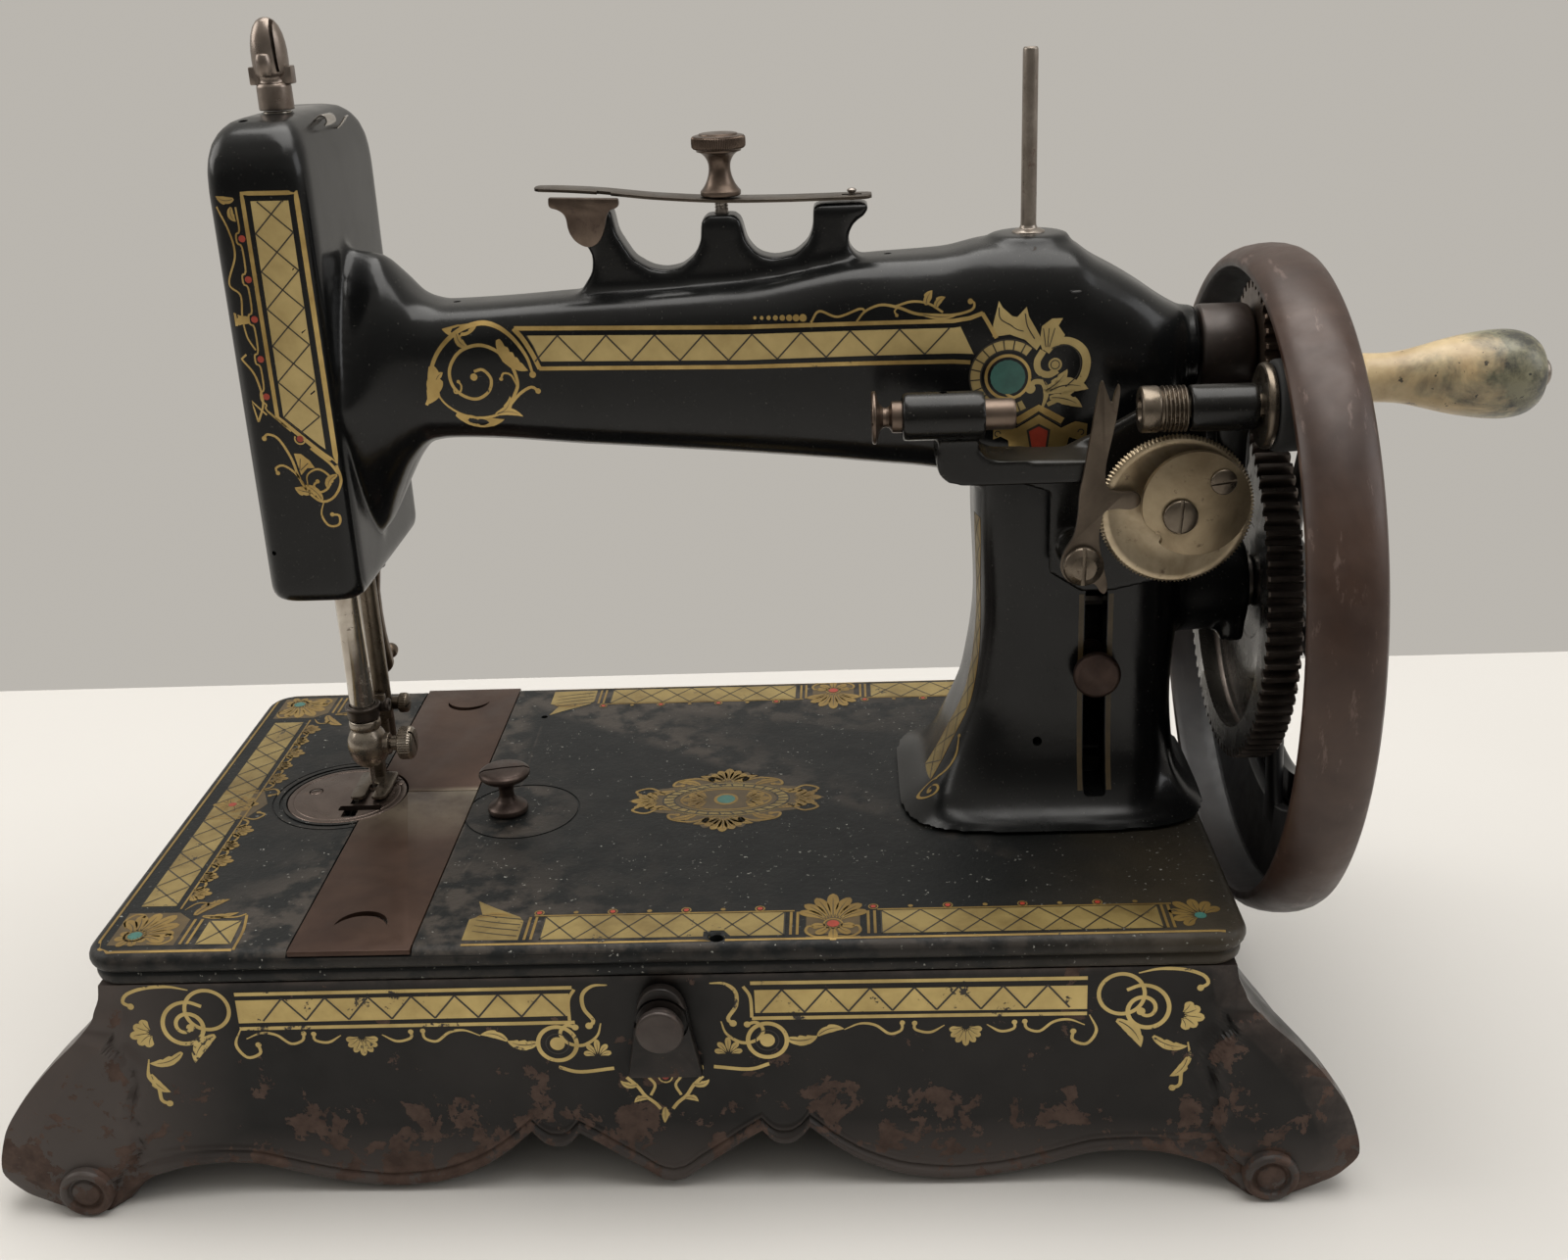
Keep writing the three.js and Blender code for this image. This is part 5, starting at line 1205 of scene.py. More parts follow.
boolean(spring, [rod("z", (21.2, AXIS_Y, 178), 2.3, 12, 40), block(55.4, 61, AXIS_Y - 1.2, AXIS_Y + 1.2, 180, 190),
                 block(-13.4, -9.4, AXIS_Y - 5.6, AXIS_Y - 3.4, 180, 190)])
place(spring, "tension_leaf", LEAF_NICKEL, "machine", "tension_spring", 40)


def stud_thread(a, r, h):
    return r - 0.16 * (0.5 + 0.5 * math.cos(TAU * (h / 0.9 - a / TAU))) if 1.8 < r < 2 and 181 < h < 197 else r


stud = lathe([(0, 172.6), (1.9, 172.6)] + [(1.9, 173 + 0.22 * i) for i in range(112)] + [(1.4, 198), (0, 198)], "z",
             (21.2, AXIS_Y, 0), 40, 0, stud_thread)
place(stud, "tension_screw", STEEL, "machine", "tension_stud")


def knurl(a, r, h):
    if 197.9 < h < 201.4 and r > 7.1:
        return r - 0.22 * (0.5 + 0.5 * math.cos(72 * a))
    return r


nut_line = [tuple(p) for p in catmull([(5.7, 186.4), (5.0, 187.2), (4.1, 188.6), (3.35, 190.6), (3.05, 192.6),
                                       (3.3, 194.4),
                                       (4.2, 196.0), (5.4, 197.0)], 0.35)]
nut = lathe(closed([(2.2, 185), (5.3, 185), (5.7, 185.3), (5.75, 186.0)] + nut_line +
                   [(6.3, 197.2), (6.4, 197.7), (7.2, 198.0), (7.6, 198.5), (7.65, 199.2), (7.65, 200.2),
                    (7.6, 200.9),
                    (7.2, 201.4), (6.5, 201.6), (5.6, 201.6), (5.4, 202.0), (4.8, 202.15), (0.001, 202.1),
                    (0.001, 199),
                    (2.2, 198.6)]), "z", (21.2, AXIS_Y, 0), 288, 0.08, knurl)
place(nut, "tension_button", NICKEL_BROWN, "tension", "tension_nut", 34)

tongue_line = catmull([(-26.6, 187.1), (-26.7, 185.2), (-26.2, 184.3), (-24.4, 183.7), (-22.9, 182.7), (-22.1, 181.2),
                       (-21.8, 178.8), (-21.2, 176.8), (-19.8, 174.8), (-17.6, 173.4), (-15.6, 173.2), (-13.6, 174.2),
                       (-12.2, 176.2), (-11.2, 179.0), (-10.6, 181.4), (-9.6, 183.0), (-7.9, 183.6), (-7.1, 184.3),
                       (-7.0, 185.4), (-7.2, 186.2)], 0.7)
tongue = slab([tuple(p) for p in tongue_line], 89.3, 91.6, "xz", 0.35, 2)
place(tongue, "thread_tongue", NICKEL_BROWN, "machine", "thread_bracket", 40)
peg = lathe([(0, 182.5), (0.9, 182.5), (0.9, 184.6), (1.3, 184.9), (1.35, 185.4), (0.8, 185.75), (0, 185.8)], "z",
            (58.2, AXIS_Y, 0), 32, 0.1)
place(peg, "spring_catch", STEEL, "machine", "spring_peg")

pin = lathe([(0, 160.4), (2.2, 160.4), (2.2, 171.3), (4.4, 171.3), (4.7, 171.6), (4.6, 172.2), (3.6, 172.7),
             (2.6, 173.0),
             (2.25, 173.8), (2.2, 175), (2.15, 219.6), (2.1, 221.2), (1.8, 221.7), (0, 221.8)], "z",
             (108, AXIS_Y, 0), 40, 0.15)
place(pin, "spool_rod", PIN_STEEL, "machine", "spool_pin")

# Thread hooks on the head's shoulder: a curled strap and a short lip, both of bright strip.
def strip(points, half, thick, y):
    """A thin strap that follows points in the X-Z plane and is 2*half wide along Y."""
    pts = [np.array(p) for p in catmull(points, 0.35)]
    rings = []
    for i, p in enumerate(pts):
        t = pts[min(i + 1, len(pts) - 1)] - pts[max(i - 1, 0)]
        t = t / np.linalg.norm(t)
        n = np.array([-t[1], t[0]])
        a, b = p + n * thick / 2, p - n * thick / 2
        rings.append([(a[0], y - half, a[1]), (a[0], y + half, a[1]), (b[0], y + half, b[1]), (b[0], y - half, b[1])])
    return bevel(loft(rings), 0.12, 2)


hook = turned(strip([(-91.9, 209.4), (-90.9, 209.9), (-89.4, 210.9), (-88.1, 210.6), (-87.6, 209.2), (-88.4, 208.2)],
                    3.1,
                    0.55, 100), -8, "Z", (-90, 100, 208))
place(hook, "thread_hook_front", BRIGHT, "machine", "thread_tab_front")
lip = turned(strip([(-90.6, 205.9), (-89.5, 206.6), (-88.3, 207.9), (-87.3, 209.3)], 2.6, 0.5, 114.6), 6, "Z",
             (-89.9, 114.6, 206))
place(lip, "thread_hook_rear", BRIGHT, "machine", "thread_tab_rear")

# ---------------------------------------------------------------- needle bar, clamp and presser
NEEDLE_AT = (NEEDLE_X, AXIS_Y, 0)
bar = lathe([(0, 26), (3.4, 26), (3.4, 29.6), (3.9, 29.9), (3.9, 212.4), (3.7, 212.6), (0, 212.6)], "z", NEEDLE_AT,
            64, 0.1)
place(bar, "needle_rod", metal("bar_polished", (0.52, 0.48, 0.42), (0.25, 0.21, 0.17), (0.10, 0.24), 50, 0.75,
                               rust=(0.14, 0.10, 0.07), grain=(1, 1, 0.06)), "needle_slide", "needle_bar")

acorn = lathe([(0, 212.9), (4.7, 212.9), (4.85, 213.2), (4.8, 219.2), (4.5, 219.9), (3.9, 220.3), (3.75, 221),
               (3.9, 221.8),
               (4.6, 222.6), (4.9, 224), (5.0, 226), (4.95, 228.4), (4.75, 230.6), (4.3, 232.9), (3.5, 235),
               (2.4, 236.5),
               (1.2, 237.2), (0, 237.4)], "z", NEEDLE_AT, 64, 0.25)
lug_left = block(NEEDLE_X - 6.0, NEEDLE_X - 3, AXIS_Y - 2.1, AXIS_Y + 2.1, 219.7, 224.5, 0.35, 2)
lug_right = block(NEEDLE_X + 3, NEEDLE_X + 6.0, AXIS_Y - 2.1, AXIS_Y + 2.1, 219.7, 224.5, 0.35, 2)
finger = lathe([(0, 0), (1.6, 0.5), (2.2, 2.2), (2.3, 4.5), (1.9, 6.2), (0, 7)], "z", (NEEDLE_X - 0.5, AXIS_Y - 4.1,
                                                                                       221.6), 32, 0.3)
union(acorn, lug_left, lug_right, finger)
split = slab([(NEEDLE_X + 1.5, 238), (NEEDLE_X + 2.2, 230), (NEEDLE_X + 2.6, 223), (NEEDLE_X + 3.3, 223),
              (NEEDLE_X + 3.0, 231),
              (NEEDLE_X + 2.4, 238)], AXIS_Y - 8, AXIS_Y - 0.6, "xz")
boolean(acorn, [split])
place(acorn, "take_up_cap", CAP_NICKEL, "needle_slide", "take_up_guide", 40)

clamp = lathe([(0, 8.7), (2.3, 8.9), (3.3, 9.6), (4.4, 10.6), (5.3, 12.0), (6.0, 13.8), (6.35, 15.6), (6.4, 17.2),
               (6.1, 19),
               (5.5, 20.6), (4.7, 21.8), (4.4, 22.3), (4.75, 22.6), (5.0, 23.2), (5.0, 24.8), (4.75, 25.5),
               (4.3, 25.7),
               (0, 25.7)], "z", NEEDLE_AT, 72, 0.2)
boss = rod("x", (NEEDLE_X + 3, AXIS_Y, 16.6), 3.4, 4.2, 40, 0.3)
union(clamp, boss)
boolean(clamp, [rod("x", (NEEDLE_X + 1.4, AXIS_Y, 16.6), 1.9, 10, 32), rod("z", (NEEDLE_X, AXIS_Y, 5), 1.1, 11, 24),
                rod("z", (NEEDLE_X - 4.9, AXIS_Y + 1, 14), 0.6, 14, 16)])
clamp_mat = metal("clamp_nickel", (0.34, 0.30, 0.25), (0.16, 0.125, 0.095), (0.20, 0.36), 90, 0.85,
                  rust=(0.05, 0.032, 0.024))
place(clamp, "needle_ball", clamp_mat, "needle_slide", "needle_clamp", 44)
band = lathe(closed([(4.15, 26.0), (4.9, 26.0), (5.1, 26.5), (5.15, 29.2), (5.5, 29.5), (5.6, 30.2), (5.3, 30.6),
                     (4.15, 30.7)]),
             "z", NEEDLE_AT, 64, 0.15)
ear = lathe(closed([(0.9, -0.7), (2.0, -0.7), (2.2, 0), (2.0, 0.7), (0.9, 0.7)]), "x", (NEEDLE_X + 7.2, AXIS_Y + 2.6,
                                                                                        29), 40, 0.2)
neck = block(NEEDLE_X + 4.4, NEEDLE_X + 6.9, AXIS_Y + 1.6, AXIS_Y + 3.6, 27, 30, 0.3, 2)
union(band, neck, ear)
place(band, "needle_bar_ring", metal("ring_dark", (0.075, 0.06, 0.05), (0.035, 0.028, 0.024), (0.25, 0.45), 90, 0.8,
                                     metallic=0.7), "needle_slide")


def thumb_knurl(a, r, h):
    return r - 0.16 * (0.5 + 0.5 * math.cos(40 * a)) if r > 4.6 and 9 < h < 13 else r


thumb = lathe([(0, 0), (1.6, 0), (1.6, 6.2), (2.4, 6.3), (2.5, 8.2), (4.6, 8.7), (5.2, 9.1), (5.4, 9.8), (5.4, 12.2),
               (5.1, 13.0), (4.4, 13.6), (2.4, 13.85), (0, 13.9)], "x", (NEEDLE_X + 1.6, AXIS_Y, 16.6), 160, 0.15,
               thumb_knurl)
turned_slot = turned(block(NEEDLE_X + 14, NEEDLE_X + 18, AXIS_Y - 0.45, AXIS_Y + 0.45, 8, 26), 24, "X",
                     (NEEDLE_X, AXIS_Y, 16.6))
boolean(thumb, [turned_slot])
place(thumb, "clamp_wing", clamp_mat, "needle_slide", "clamp_thumbscrew", 40)

needle = lathe([(0, -12), (0.28, -11), (0.5, -9.4), (0.54, -6), (0.55, 2), (0.62, 2.4), (0.82, 2.9), (0.85, 3.4),
                (0.85, 15.6),
                (0, 15.6)], "z", NEEDLE_AT, 32, 0)
boolean(needle, [rod("y", (NEEDLE_X, 90, -8.6), 0.2, 20, 16), block(NEEDLE_X - 0.13, NEEDLE_X + 0.13, AXIS_Y - 2,
                                                                    AXIS_Y - 0.42, -8, 2)])
place(needle, "needle_blade", BRIGHT, "needle_slide", "needle", 40)

presser = lathe([(0, 5), (3.1, 5), (3.3, 5.3), (3.3, 149.6), (3, 150), (0, 150)], "z", (NEEDLE_X, PRESSER_Y, 0), 56,
                0.1)
place(presser, "presser_rod", WINDER_STEEL, "presser", "presser_bar")

SOLE = [(-5.6, 90.2), (-4.6, 88.6), (-2.6, 88.2), (-1.4, 89.4), (-1.2, 91), (-1.2, 99.0), (-0.9, 99.5), (0.9, 99.5),
        (1.2, 99.0), (1.2, 91), (1.4, 89.4), (2.6, 88.2), (4.6, 88.6), (5.6, 90.2), (6.0, 96), (6.0, 106.6),
        (5.2, 108),
        (-5.2, 108), (-6.0, 106.6), (-6.0, 96)]
sole = slab([(NEEDLE_X + x, y) for x, y in SOLE], 0.4, 1.6, "xy", 0.25, 2)
for v in sole.data.vertices:
    if v.co.y < 92:
        v.co.z += 0.11 * (92 - v.co.y) ** 1.5
foot = union(sole,
             block(NEEDLE_X - 1.9, NEEDLE_X + 1.9, 104.2, 107.9, 1, 8.2, 0.4, 2),
             block(NEEDLE_X - 1.9, NEEDLE_X + 1.9, 104.4, 115.2, 5.3, 8.5, 0.5, 2),
             block(NEEDLE_X - 2.7, NEEDLE_X + 2.7, 112.8, 115.3, 5.3, 27, 0.5, 2),
             block(NEEDLE_X - 2.7, NEEDLE_X + 4.4, 112.8, 115.3, 18.4, 24.6, 0.4, 2))
place(foot, "presser_sole", WINDER_STEEL, "presser", "presser_foot", 36)
foot_bolt = lathe([(0, 0), (2.2, 0), (2.2, 2.1), (2.9, 2.3), (3.3, 2.7), (3.35, 3.4), (3.3, 4.6), (3.0, 5.2),
                   (2.4, 5.5),
                   (0, 5.6)], "x", (NEEDLE_X + 3.6, PRESSER_Y, 21.5), 120, 0.12,
                  lambda a, r, h: r - 0.14 * (0.5 + 0.5 * math.cos(24 * a)) if r > 3.2 else r)
boolean(foot_bolt, [block(NEEDLE_X + 8.2, NEEDLE_X + 10, PRESSER_Y - 6, PRESSER_Y + 6, 21.1, 21.9)])
place(foot_bolt, "foot_knob", WINDER_STEEL, "presser", "foot_screw", 40)

LIFTER_Z = 70
lever_line = [(NEEDLE_X + 4.4 * math.cos(math.pi * i / 16),
               LIFTER_Z + 4.4 * math.sin(math.pi * i / 16)) for i in range(17)]
lever_line += [(NEEDLE_X - 3.6, 65), (NEEDLE_X - 2.9, 59), (NEEDLE_X - 2.6, 50), (NEEDLE_X - 2.8, 42),
               (NEEDLE_X - 3.05, 37)]
lever_line += [(NEEDLE_X + 0.4 + 3.5 * math.cos(math.pi * (1 + i / 16)),
                33.8 + 3.5 * math.sin(math.pi * (1 + i / 16)))
               for i in range(17)]
lever_line += [(NEEDLE_X + 3.4, 38), (NEEDLE_X + 2.7, 44), (NEEDLE_X + 2.4, 51), (NEEDLE_X + 2.5, 59),
               (NEEDLE_X + 3.4, 65.4)]
lever = slab(lever_line, 123.4, 126.2, "xz", 0.55, 3)
ball = lathe([(0, -0.8), (1.4, -0.8), (1.4, 6), (1.55, 6.6), (2.2, 7.4), (2.5, 8.4), (2.55, 9.2), (2.35, 10.4),
              (1.8, 11.3),
              (1.0, 11.85), (0, 12)], "y", (NEEDLE_X + 0.4, 126, 33.8), 48, 0.2)
rivet = lathe([(0, 0), (1.7, 0), (1.7, 0.35), (1.3, 0.6), (0, 0.65)], "-y", (NEEDLE_X + 0.4, 123.5, 33.8), 32, 0.1)
union(lever, ball, rivet)
boolean(lever, [rod("y", (NEEDLE_X, 120, LIFTER_Z), 2, 10, 40)])
place(lever, "lifter_lever", metal("lifter_patina", (0.17, 0.13, 0.095), (0.085, 0.062, 0.046), (0.26, 0.44), 80,
                                   0.85,
                                   rust=(0.05, 0.032, 0.024)), "lifter", "presser_lifter", 40)
stud = screw("-y", (NEEDLE_X, 123.15, LIFTER_Z), 3, 0.6, 60, 0.2, 0.6, 0.45, (1.7, 7.2))
place(stud, "lifter_pivot", STEEL, "machine", "lifter_stud")

guide = lathe([(0, -2.7), (2.1, -2.7), (2.1, 0.3), (5.6, 0.3), (6.2, 0.6), (6.35, 1.3), (6.2, 2.2), (5.4, 3.0),
               (4.0, 3.7),
               (3.0, 4.6), (2.4, 5.8), (2.25, 7.4), (2.5, 9.0), (3.4, 10.2), (5.0, 11.1), (6.8, 11.9), (7.7, 12.7),
               (8.0, 13.5),
               (7.8, 14.2), (7.2, 14.7), (6.2, 15.1), (0, 15.3)], "z", (-54.7, 80.6, 0), 96, 0.2)
boolean(guide, [turned(block(-64, -45, 80.15, 81.05, 14.0, 17), 12, "Z", (-54.7, 80.6, 0))])
place(guide, "guide_screw", metal("guide_rust", (0.085, 0.062, 0.052), (0.048, 0.033, 0.028), (0.3, 0.5), 110, 0.9,
                                  rust=(0.09, 0.05, 0.036), metallic=0.75), "cloth_guide", "cloth_guide_screw",
                                  36)

# Small detail that hangs on the castings: an oil plug with a slotted head, by the fork pivot.
# Known fault: this plug hangs about 10.7 mm clear of the arm.
place(screw("z", (117.4, 66, 160.2), 1.6, 0.5, 30, 0.15, 0.5, 0.35), "oil_plug", BLACK_RING, "machine")

# ---------------------------------------------------------------- working parts inside
INSIDE = {
    "arm_shaft": STEEL, "needle_cam": STEEL, "feed_cam": STEEL, "rock_lever": GEAR, "lever_stud": STEEL,
    "shuttle_pivot": STEEL, "shuttle_arm": GEAR, "shuttle_carrier": STEEL, "shuttle": BRIGHT, "feed_bar": STEEL,
}
for name, mat in INSIDE.items():
    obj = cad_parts[name]
    weld = obj.modifiers.new("weld", "WELD")
    weld.merge_threshold = 1e-6
    soft = obj.modifiers.new("bevel", "BEVEL")
    soft.width = 0.00018
    soft.segments = 2
    soft.limit_method = "ANGLE"
    soft.angle_limit = math.radians(35)
    obj.data.materials.clear()
    obj.data.materials.append(mat)

# ---------------------------------------------------------------- gold transfers
GROUND = plain_paint("transfer_ground", (0.058, 0.038, 0.014), 1.6, 0.42)
G, B, W, K, N, R, E = range(7)   # gold, band, worn band, ink, ground, red, green
PAINTS = [GOLD, GOLD_BAND, GOLD_WORN, INK, GROUND, RED, TEAL]
LIFT = {G: 0.085, B: 0.06, W: 0.06, K: 0.115, N: 0.04, R: 0.125, E: 0.10}


def surface(obj, axis, start):
    """Finds the skin of a placed piece by looking along an axis; answers in machine millimetres."""
    tree = BVHTree.FromPolygons([v.co for v in obj.data.vertices], [p.vertices for p in obj.data.polygons])
    way = {"+y": Vector((0, 1, 0)), "-y": Vector((0, -1, 0)), "+x": Vector((1, 0, 0)), "-x": Vector((-1, 0, 0))}[axis]

    def find(a, b, lift):
        at = row(start, a, b) if axis[1] == "x" else row(a, start, b)
        spot, normal, _, _ = tree.ray_cast(at, way)
        if spot is None:
            return None
        if normal.dot(way) > 0:
            normal = -normal
        p = (spot + normal * lift * MM) / MM
        return tuple(np.array(p) - SHIFT)
    return find


class Transfer:
    """Drawn in a surface's own two coordinates in millimetres, then laid just above that surface."""

    def __init__(self, find):
        self.find = find
        self.verts, self.faces, self.mats = [], [], []
        self.m = lambda a, b: (a, b)

    def put(self, pts, faces, mat, up=0.0):
        base = len(self.verts)
        spots = [self.find(*self.m(a, b), LIFT[mat] + up) for a, b in pts]
        for f in faces:
            if all(spots[i] is not None for i in f):
                self.faces.append(tuple(base + i for i in f))
                self.mats.append(mat)
        self.verts += [s if s is not None else (0, 0, 0) for s in spots]

    def line(self, pts, width=0.9, mat=G, ends=(1.0, 1.0), smooth=True, closed=False, up=0.0, step=0.8):
        p = catmull(pts, step, closed) if smooth else self.resample(pts, 2.0, closed)
        p = [np.array(q, float) for q in p]
        n = len(p)
        out, faces = [], []
        for i in range(n):
            a = p[(i - 1) % n] if closed or i else p[0]
            b = p[(i + 1) % n] if closed or i < n - 1 else p[-1]
            t = b - a
            t = t / (np.linalg.norm(t) or 1)
            k = i / max(1, n - 1)
            w = width * (1 if closed else ends[0] + (1 - ends[0]) * min(1, k * 3)) / 2
            if not closed and k > 0.6:
                w *= 1 + (ends[1] - 1) * (k - 0.6) / 0.4
            side = np.array([-t[1], t[0]]) * w
            out += [tuple(p[i] + side), tuple(p[i] - side)]
        for i in range(n if closed else n - 1):
            j = (i + 1) % n
            faces.append((2 * i, 2 * i + 1, 2 * j + 1, 2 * j))
        self.put(out, faces, mat, up)

    @staticmethod
    def resample(pts, step, closed=False):
        pts = [np.array(p, float) for p in pts]
        if closed:
            pts = pts + [pts[0]]
        out = []
        for a, b in zip(pts, pts[1:]):
            n = max(1, int(np.linalg.norm(b - a) / step))
            out += [a + (b - a) * k / n for k in range(n)]
        return out if closed else out + [pts[-1]]

    def fill(self, pts, mat=G, smooth=False, up=0.0):
        if smooth:
            pts = catmull(pts, 0.9, True)
        bm = bmesh.new()
        verts = [bm.verts.new((float(a), float(b), 0)) for a, b in pts]
        bm.faces.new(verts)
        bmesh.ops.triangulate(bm, faces=bm.faces)
        for _ in range(4):
            longer = [e for e in bm.edges if e.calc_length() > 2.6]
            if not longer:
                break
            bmesh.ops.subdivide_edges(bm, edges=longer, cuts=1)
            bmesh.ops.triangulate(bm, faces=bm.faces)
        bm.verts.index_update()
        self.put([(v.co.x, v.co.y) for v in bm.verts], [tuple(v.index for v in f.verts) for f in bm.faces], mat, up)
        bm.free()

    def dot(self, a, b, r, mat=G, up=0.0):
        n = 18
        self.put([(a, b)] + [(a + r * math.cos(TAU * i / n), b + r * math.sin(TAU * i / n)) for i in range(n)],
                 [(0, i + 1, (i + 1) % n + 1) for i in range(n)], mat, up)

    def ring(self, a, b, r, width, mat=G, lo=0, hi=360, squash=1.0, up=0.0):
        n = max(8, int(abs(hi - lo) / 6))
        pts = [(a + r * math.cos(math.radians(lo + (hi - lo) * i / n)),
                b + squash * r * math.sin(math.radians(lo + (hi - lo) * i / n))) for i in range(n + 1)]
        self.line(pts[:-1] if abs(hi - lo) == 360 else pts, width, mat, closed=abs(hi - lo) == 360, up=up)

    def curl(self, pts, width=0.9, mat=G, eye=None, ends=(0.35, 1.0)):
        """A tendril that thins at its root and finishes in a round eye."""
        self.line(pts, width, mat, ends)
        a, b = pts[-1]
        self.dot(a, b, eye or width * 0.95, mat, 0.004)

    def spiral(self, a, b, r0, start, sweep, width=0.8, r1=0.14, mat=G):
        n = 22
        pts = []
        for i in range(n + 1):
            t = i / n
            r = r0 * (1 - t * (1 - r1))
            w = math.radians(start + sweep * t)
            pts.append((a + r * math.cos(w), b + r * math.sin(w)))
        self.curl(pts, width, mat, ends=(0.8, 0.8))

    def leaf(self, a, b, c, d, width, bend=0.2, lobes=3, mat=G, vein=True, blunt=False):
        """A serrated leaf from its root to its tip, bowed to one side."""
        p0, p1 = np.array([a, b], float), np.array([c, d], float)
        along = p1 - p0
        side = np.array([-along[1], along[0]])
        left, right, mid = [], [], []
        n = 16
        for i in range(n + 1):
            t = i / n
            spine = p0 + along * t + side * bend * 4 * t * (1 - t)
            dirn = along + side * bend * 4 * (1 - 2 * t)
            nrm = np.array([-dirn[1], dirn[0]]) / np.linalg.norm(dirn)
            w = width / 2 * math.sin(math.pi * (min(1, t * 0.94 + 0.06) if not blunt else t ** 1.8)) ** (0.5 if blunt else 0.75)
            saw = 1 - 0.38 * (t * lobes % 1) ** 2 if 0.05 < t < 0.97 and not blunt else 1
            left.append(tuple(spine + nrm * w * saw))
            right.append(tuple(spine - nrm * w * (0.75 + 0.25 * saw)))
            mid.append(tuple(spine))
        self.put(left + right, [(i, i + 1, n + 2 + i, n + 1 + i) for i in range(n)], mat)
        if vein:
            self.line(mid[1:-3], max(0.16, width * 0.07), K, ends=(1, 0.3))

    def palmette(self, a, b, size, angle, spread=150, n=7, mat=G, width=None):
        for k in range(n):
            s = k / (n - 1) * 2 - 1
            w = math.radians(angle + s * spread / 2)
            r = size * (1 - 0.28 * abs(s))
            root = 0.16 * size
            self.leaf(a + root * math.cos(w), b + root * math.sin(w), a + r * math.cos(w), b + r * math.sin(w),
                      width or size * 0.30, -0.12 * s, 1, mat, blunt=True)

    def band(self, top, low, mat=B):
        """A filled band between an upper and a lower line that have the same number of points."""
        rows = [list(zip(self.resample(top, 2), self.resample(low, 2)))]
        pts, faces = [], []
        for a, b in rows[0]:
            for k in range(5):
                pts.append(tuple(a + (b - a) * k / 4))
        for i in range(len(rows[0]) - 1):
            for k in range(4):
                q = i * 5 + k
                faces.append((q, q + 1, q + 6, q + 5))
        self.put(pts, faces, mat)

    def lattice(self, a0, a1, b0, b1, pitch, width=0.35, crossed=True, mat=K):
        """Zigzag or crossed diagonals between two lines of constant height."""
        n = max(1, int(round((a1 - a0) / pitch)))
        step = (a1 - a0) / n
        for i in range(n):
            a = a0 + i * step
            if crossed:
                self.line([(a, b0), (a + step, b1)], width, mat, smooth=False)
                self.line([(a, b1), (a + step, b0)], width, mat, smooth=False)
            else:
                self.line([(a, b0), (a + step / 2, b1)], width, mat, smooth=False)
                self.line([(a + step / 2, b1), (a + step, b0)], width, mat, smooth=False)

    def done(self, name, body, swap=None):
        me = bpy.data.meshes.new(name)
        me.from_pydata(self.verts, [], self.faces)
        for poly, mat in zip(me.polygons, self.mats):
            poly.material_index = mat
        obj = bpy.data.objects.new(name, me)
        SCENE.collection.objects.link(obj)
        used = sorted(set(self.mats))
        for poly in me.polygons:
            poly.material_index = used.index(poly.material_index)
        bm = bmesh.new()
        bm.from_mesh(me)
        bmesh.ops.delete(bm, geom=[v for v in bm.verts if not v.link_faces], context="VERTS")
        bm.normal_update()
        bm.to_mesh(me)
        bm.free()
        keep = [p.material_index for p in me.polygons]
        place(obj, name, [(swap or {}).get(i, PAINTS[i]) for i in used], body, angle=180)
        for poly, i in zip(me.polygons, keep):
            poly.material_index = i
        return obj


def mirrored(about):
    return lambda a, b: (2 * about - a, b)


def plain(a, b):
    return a, b


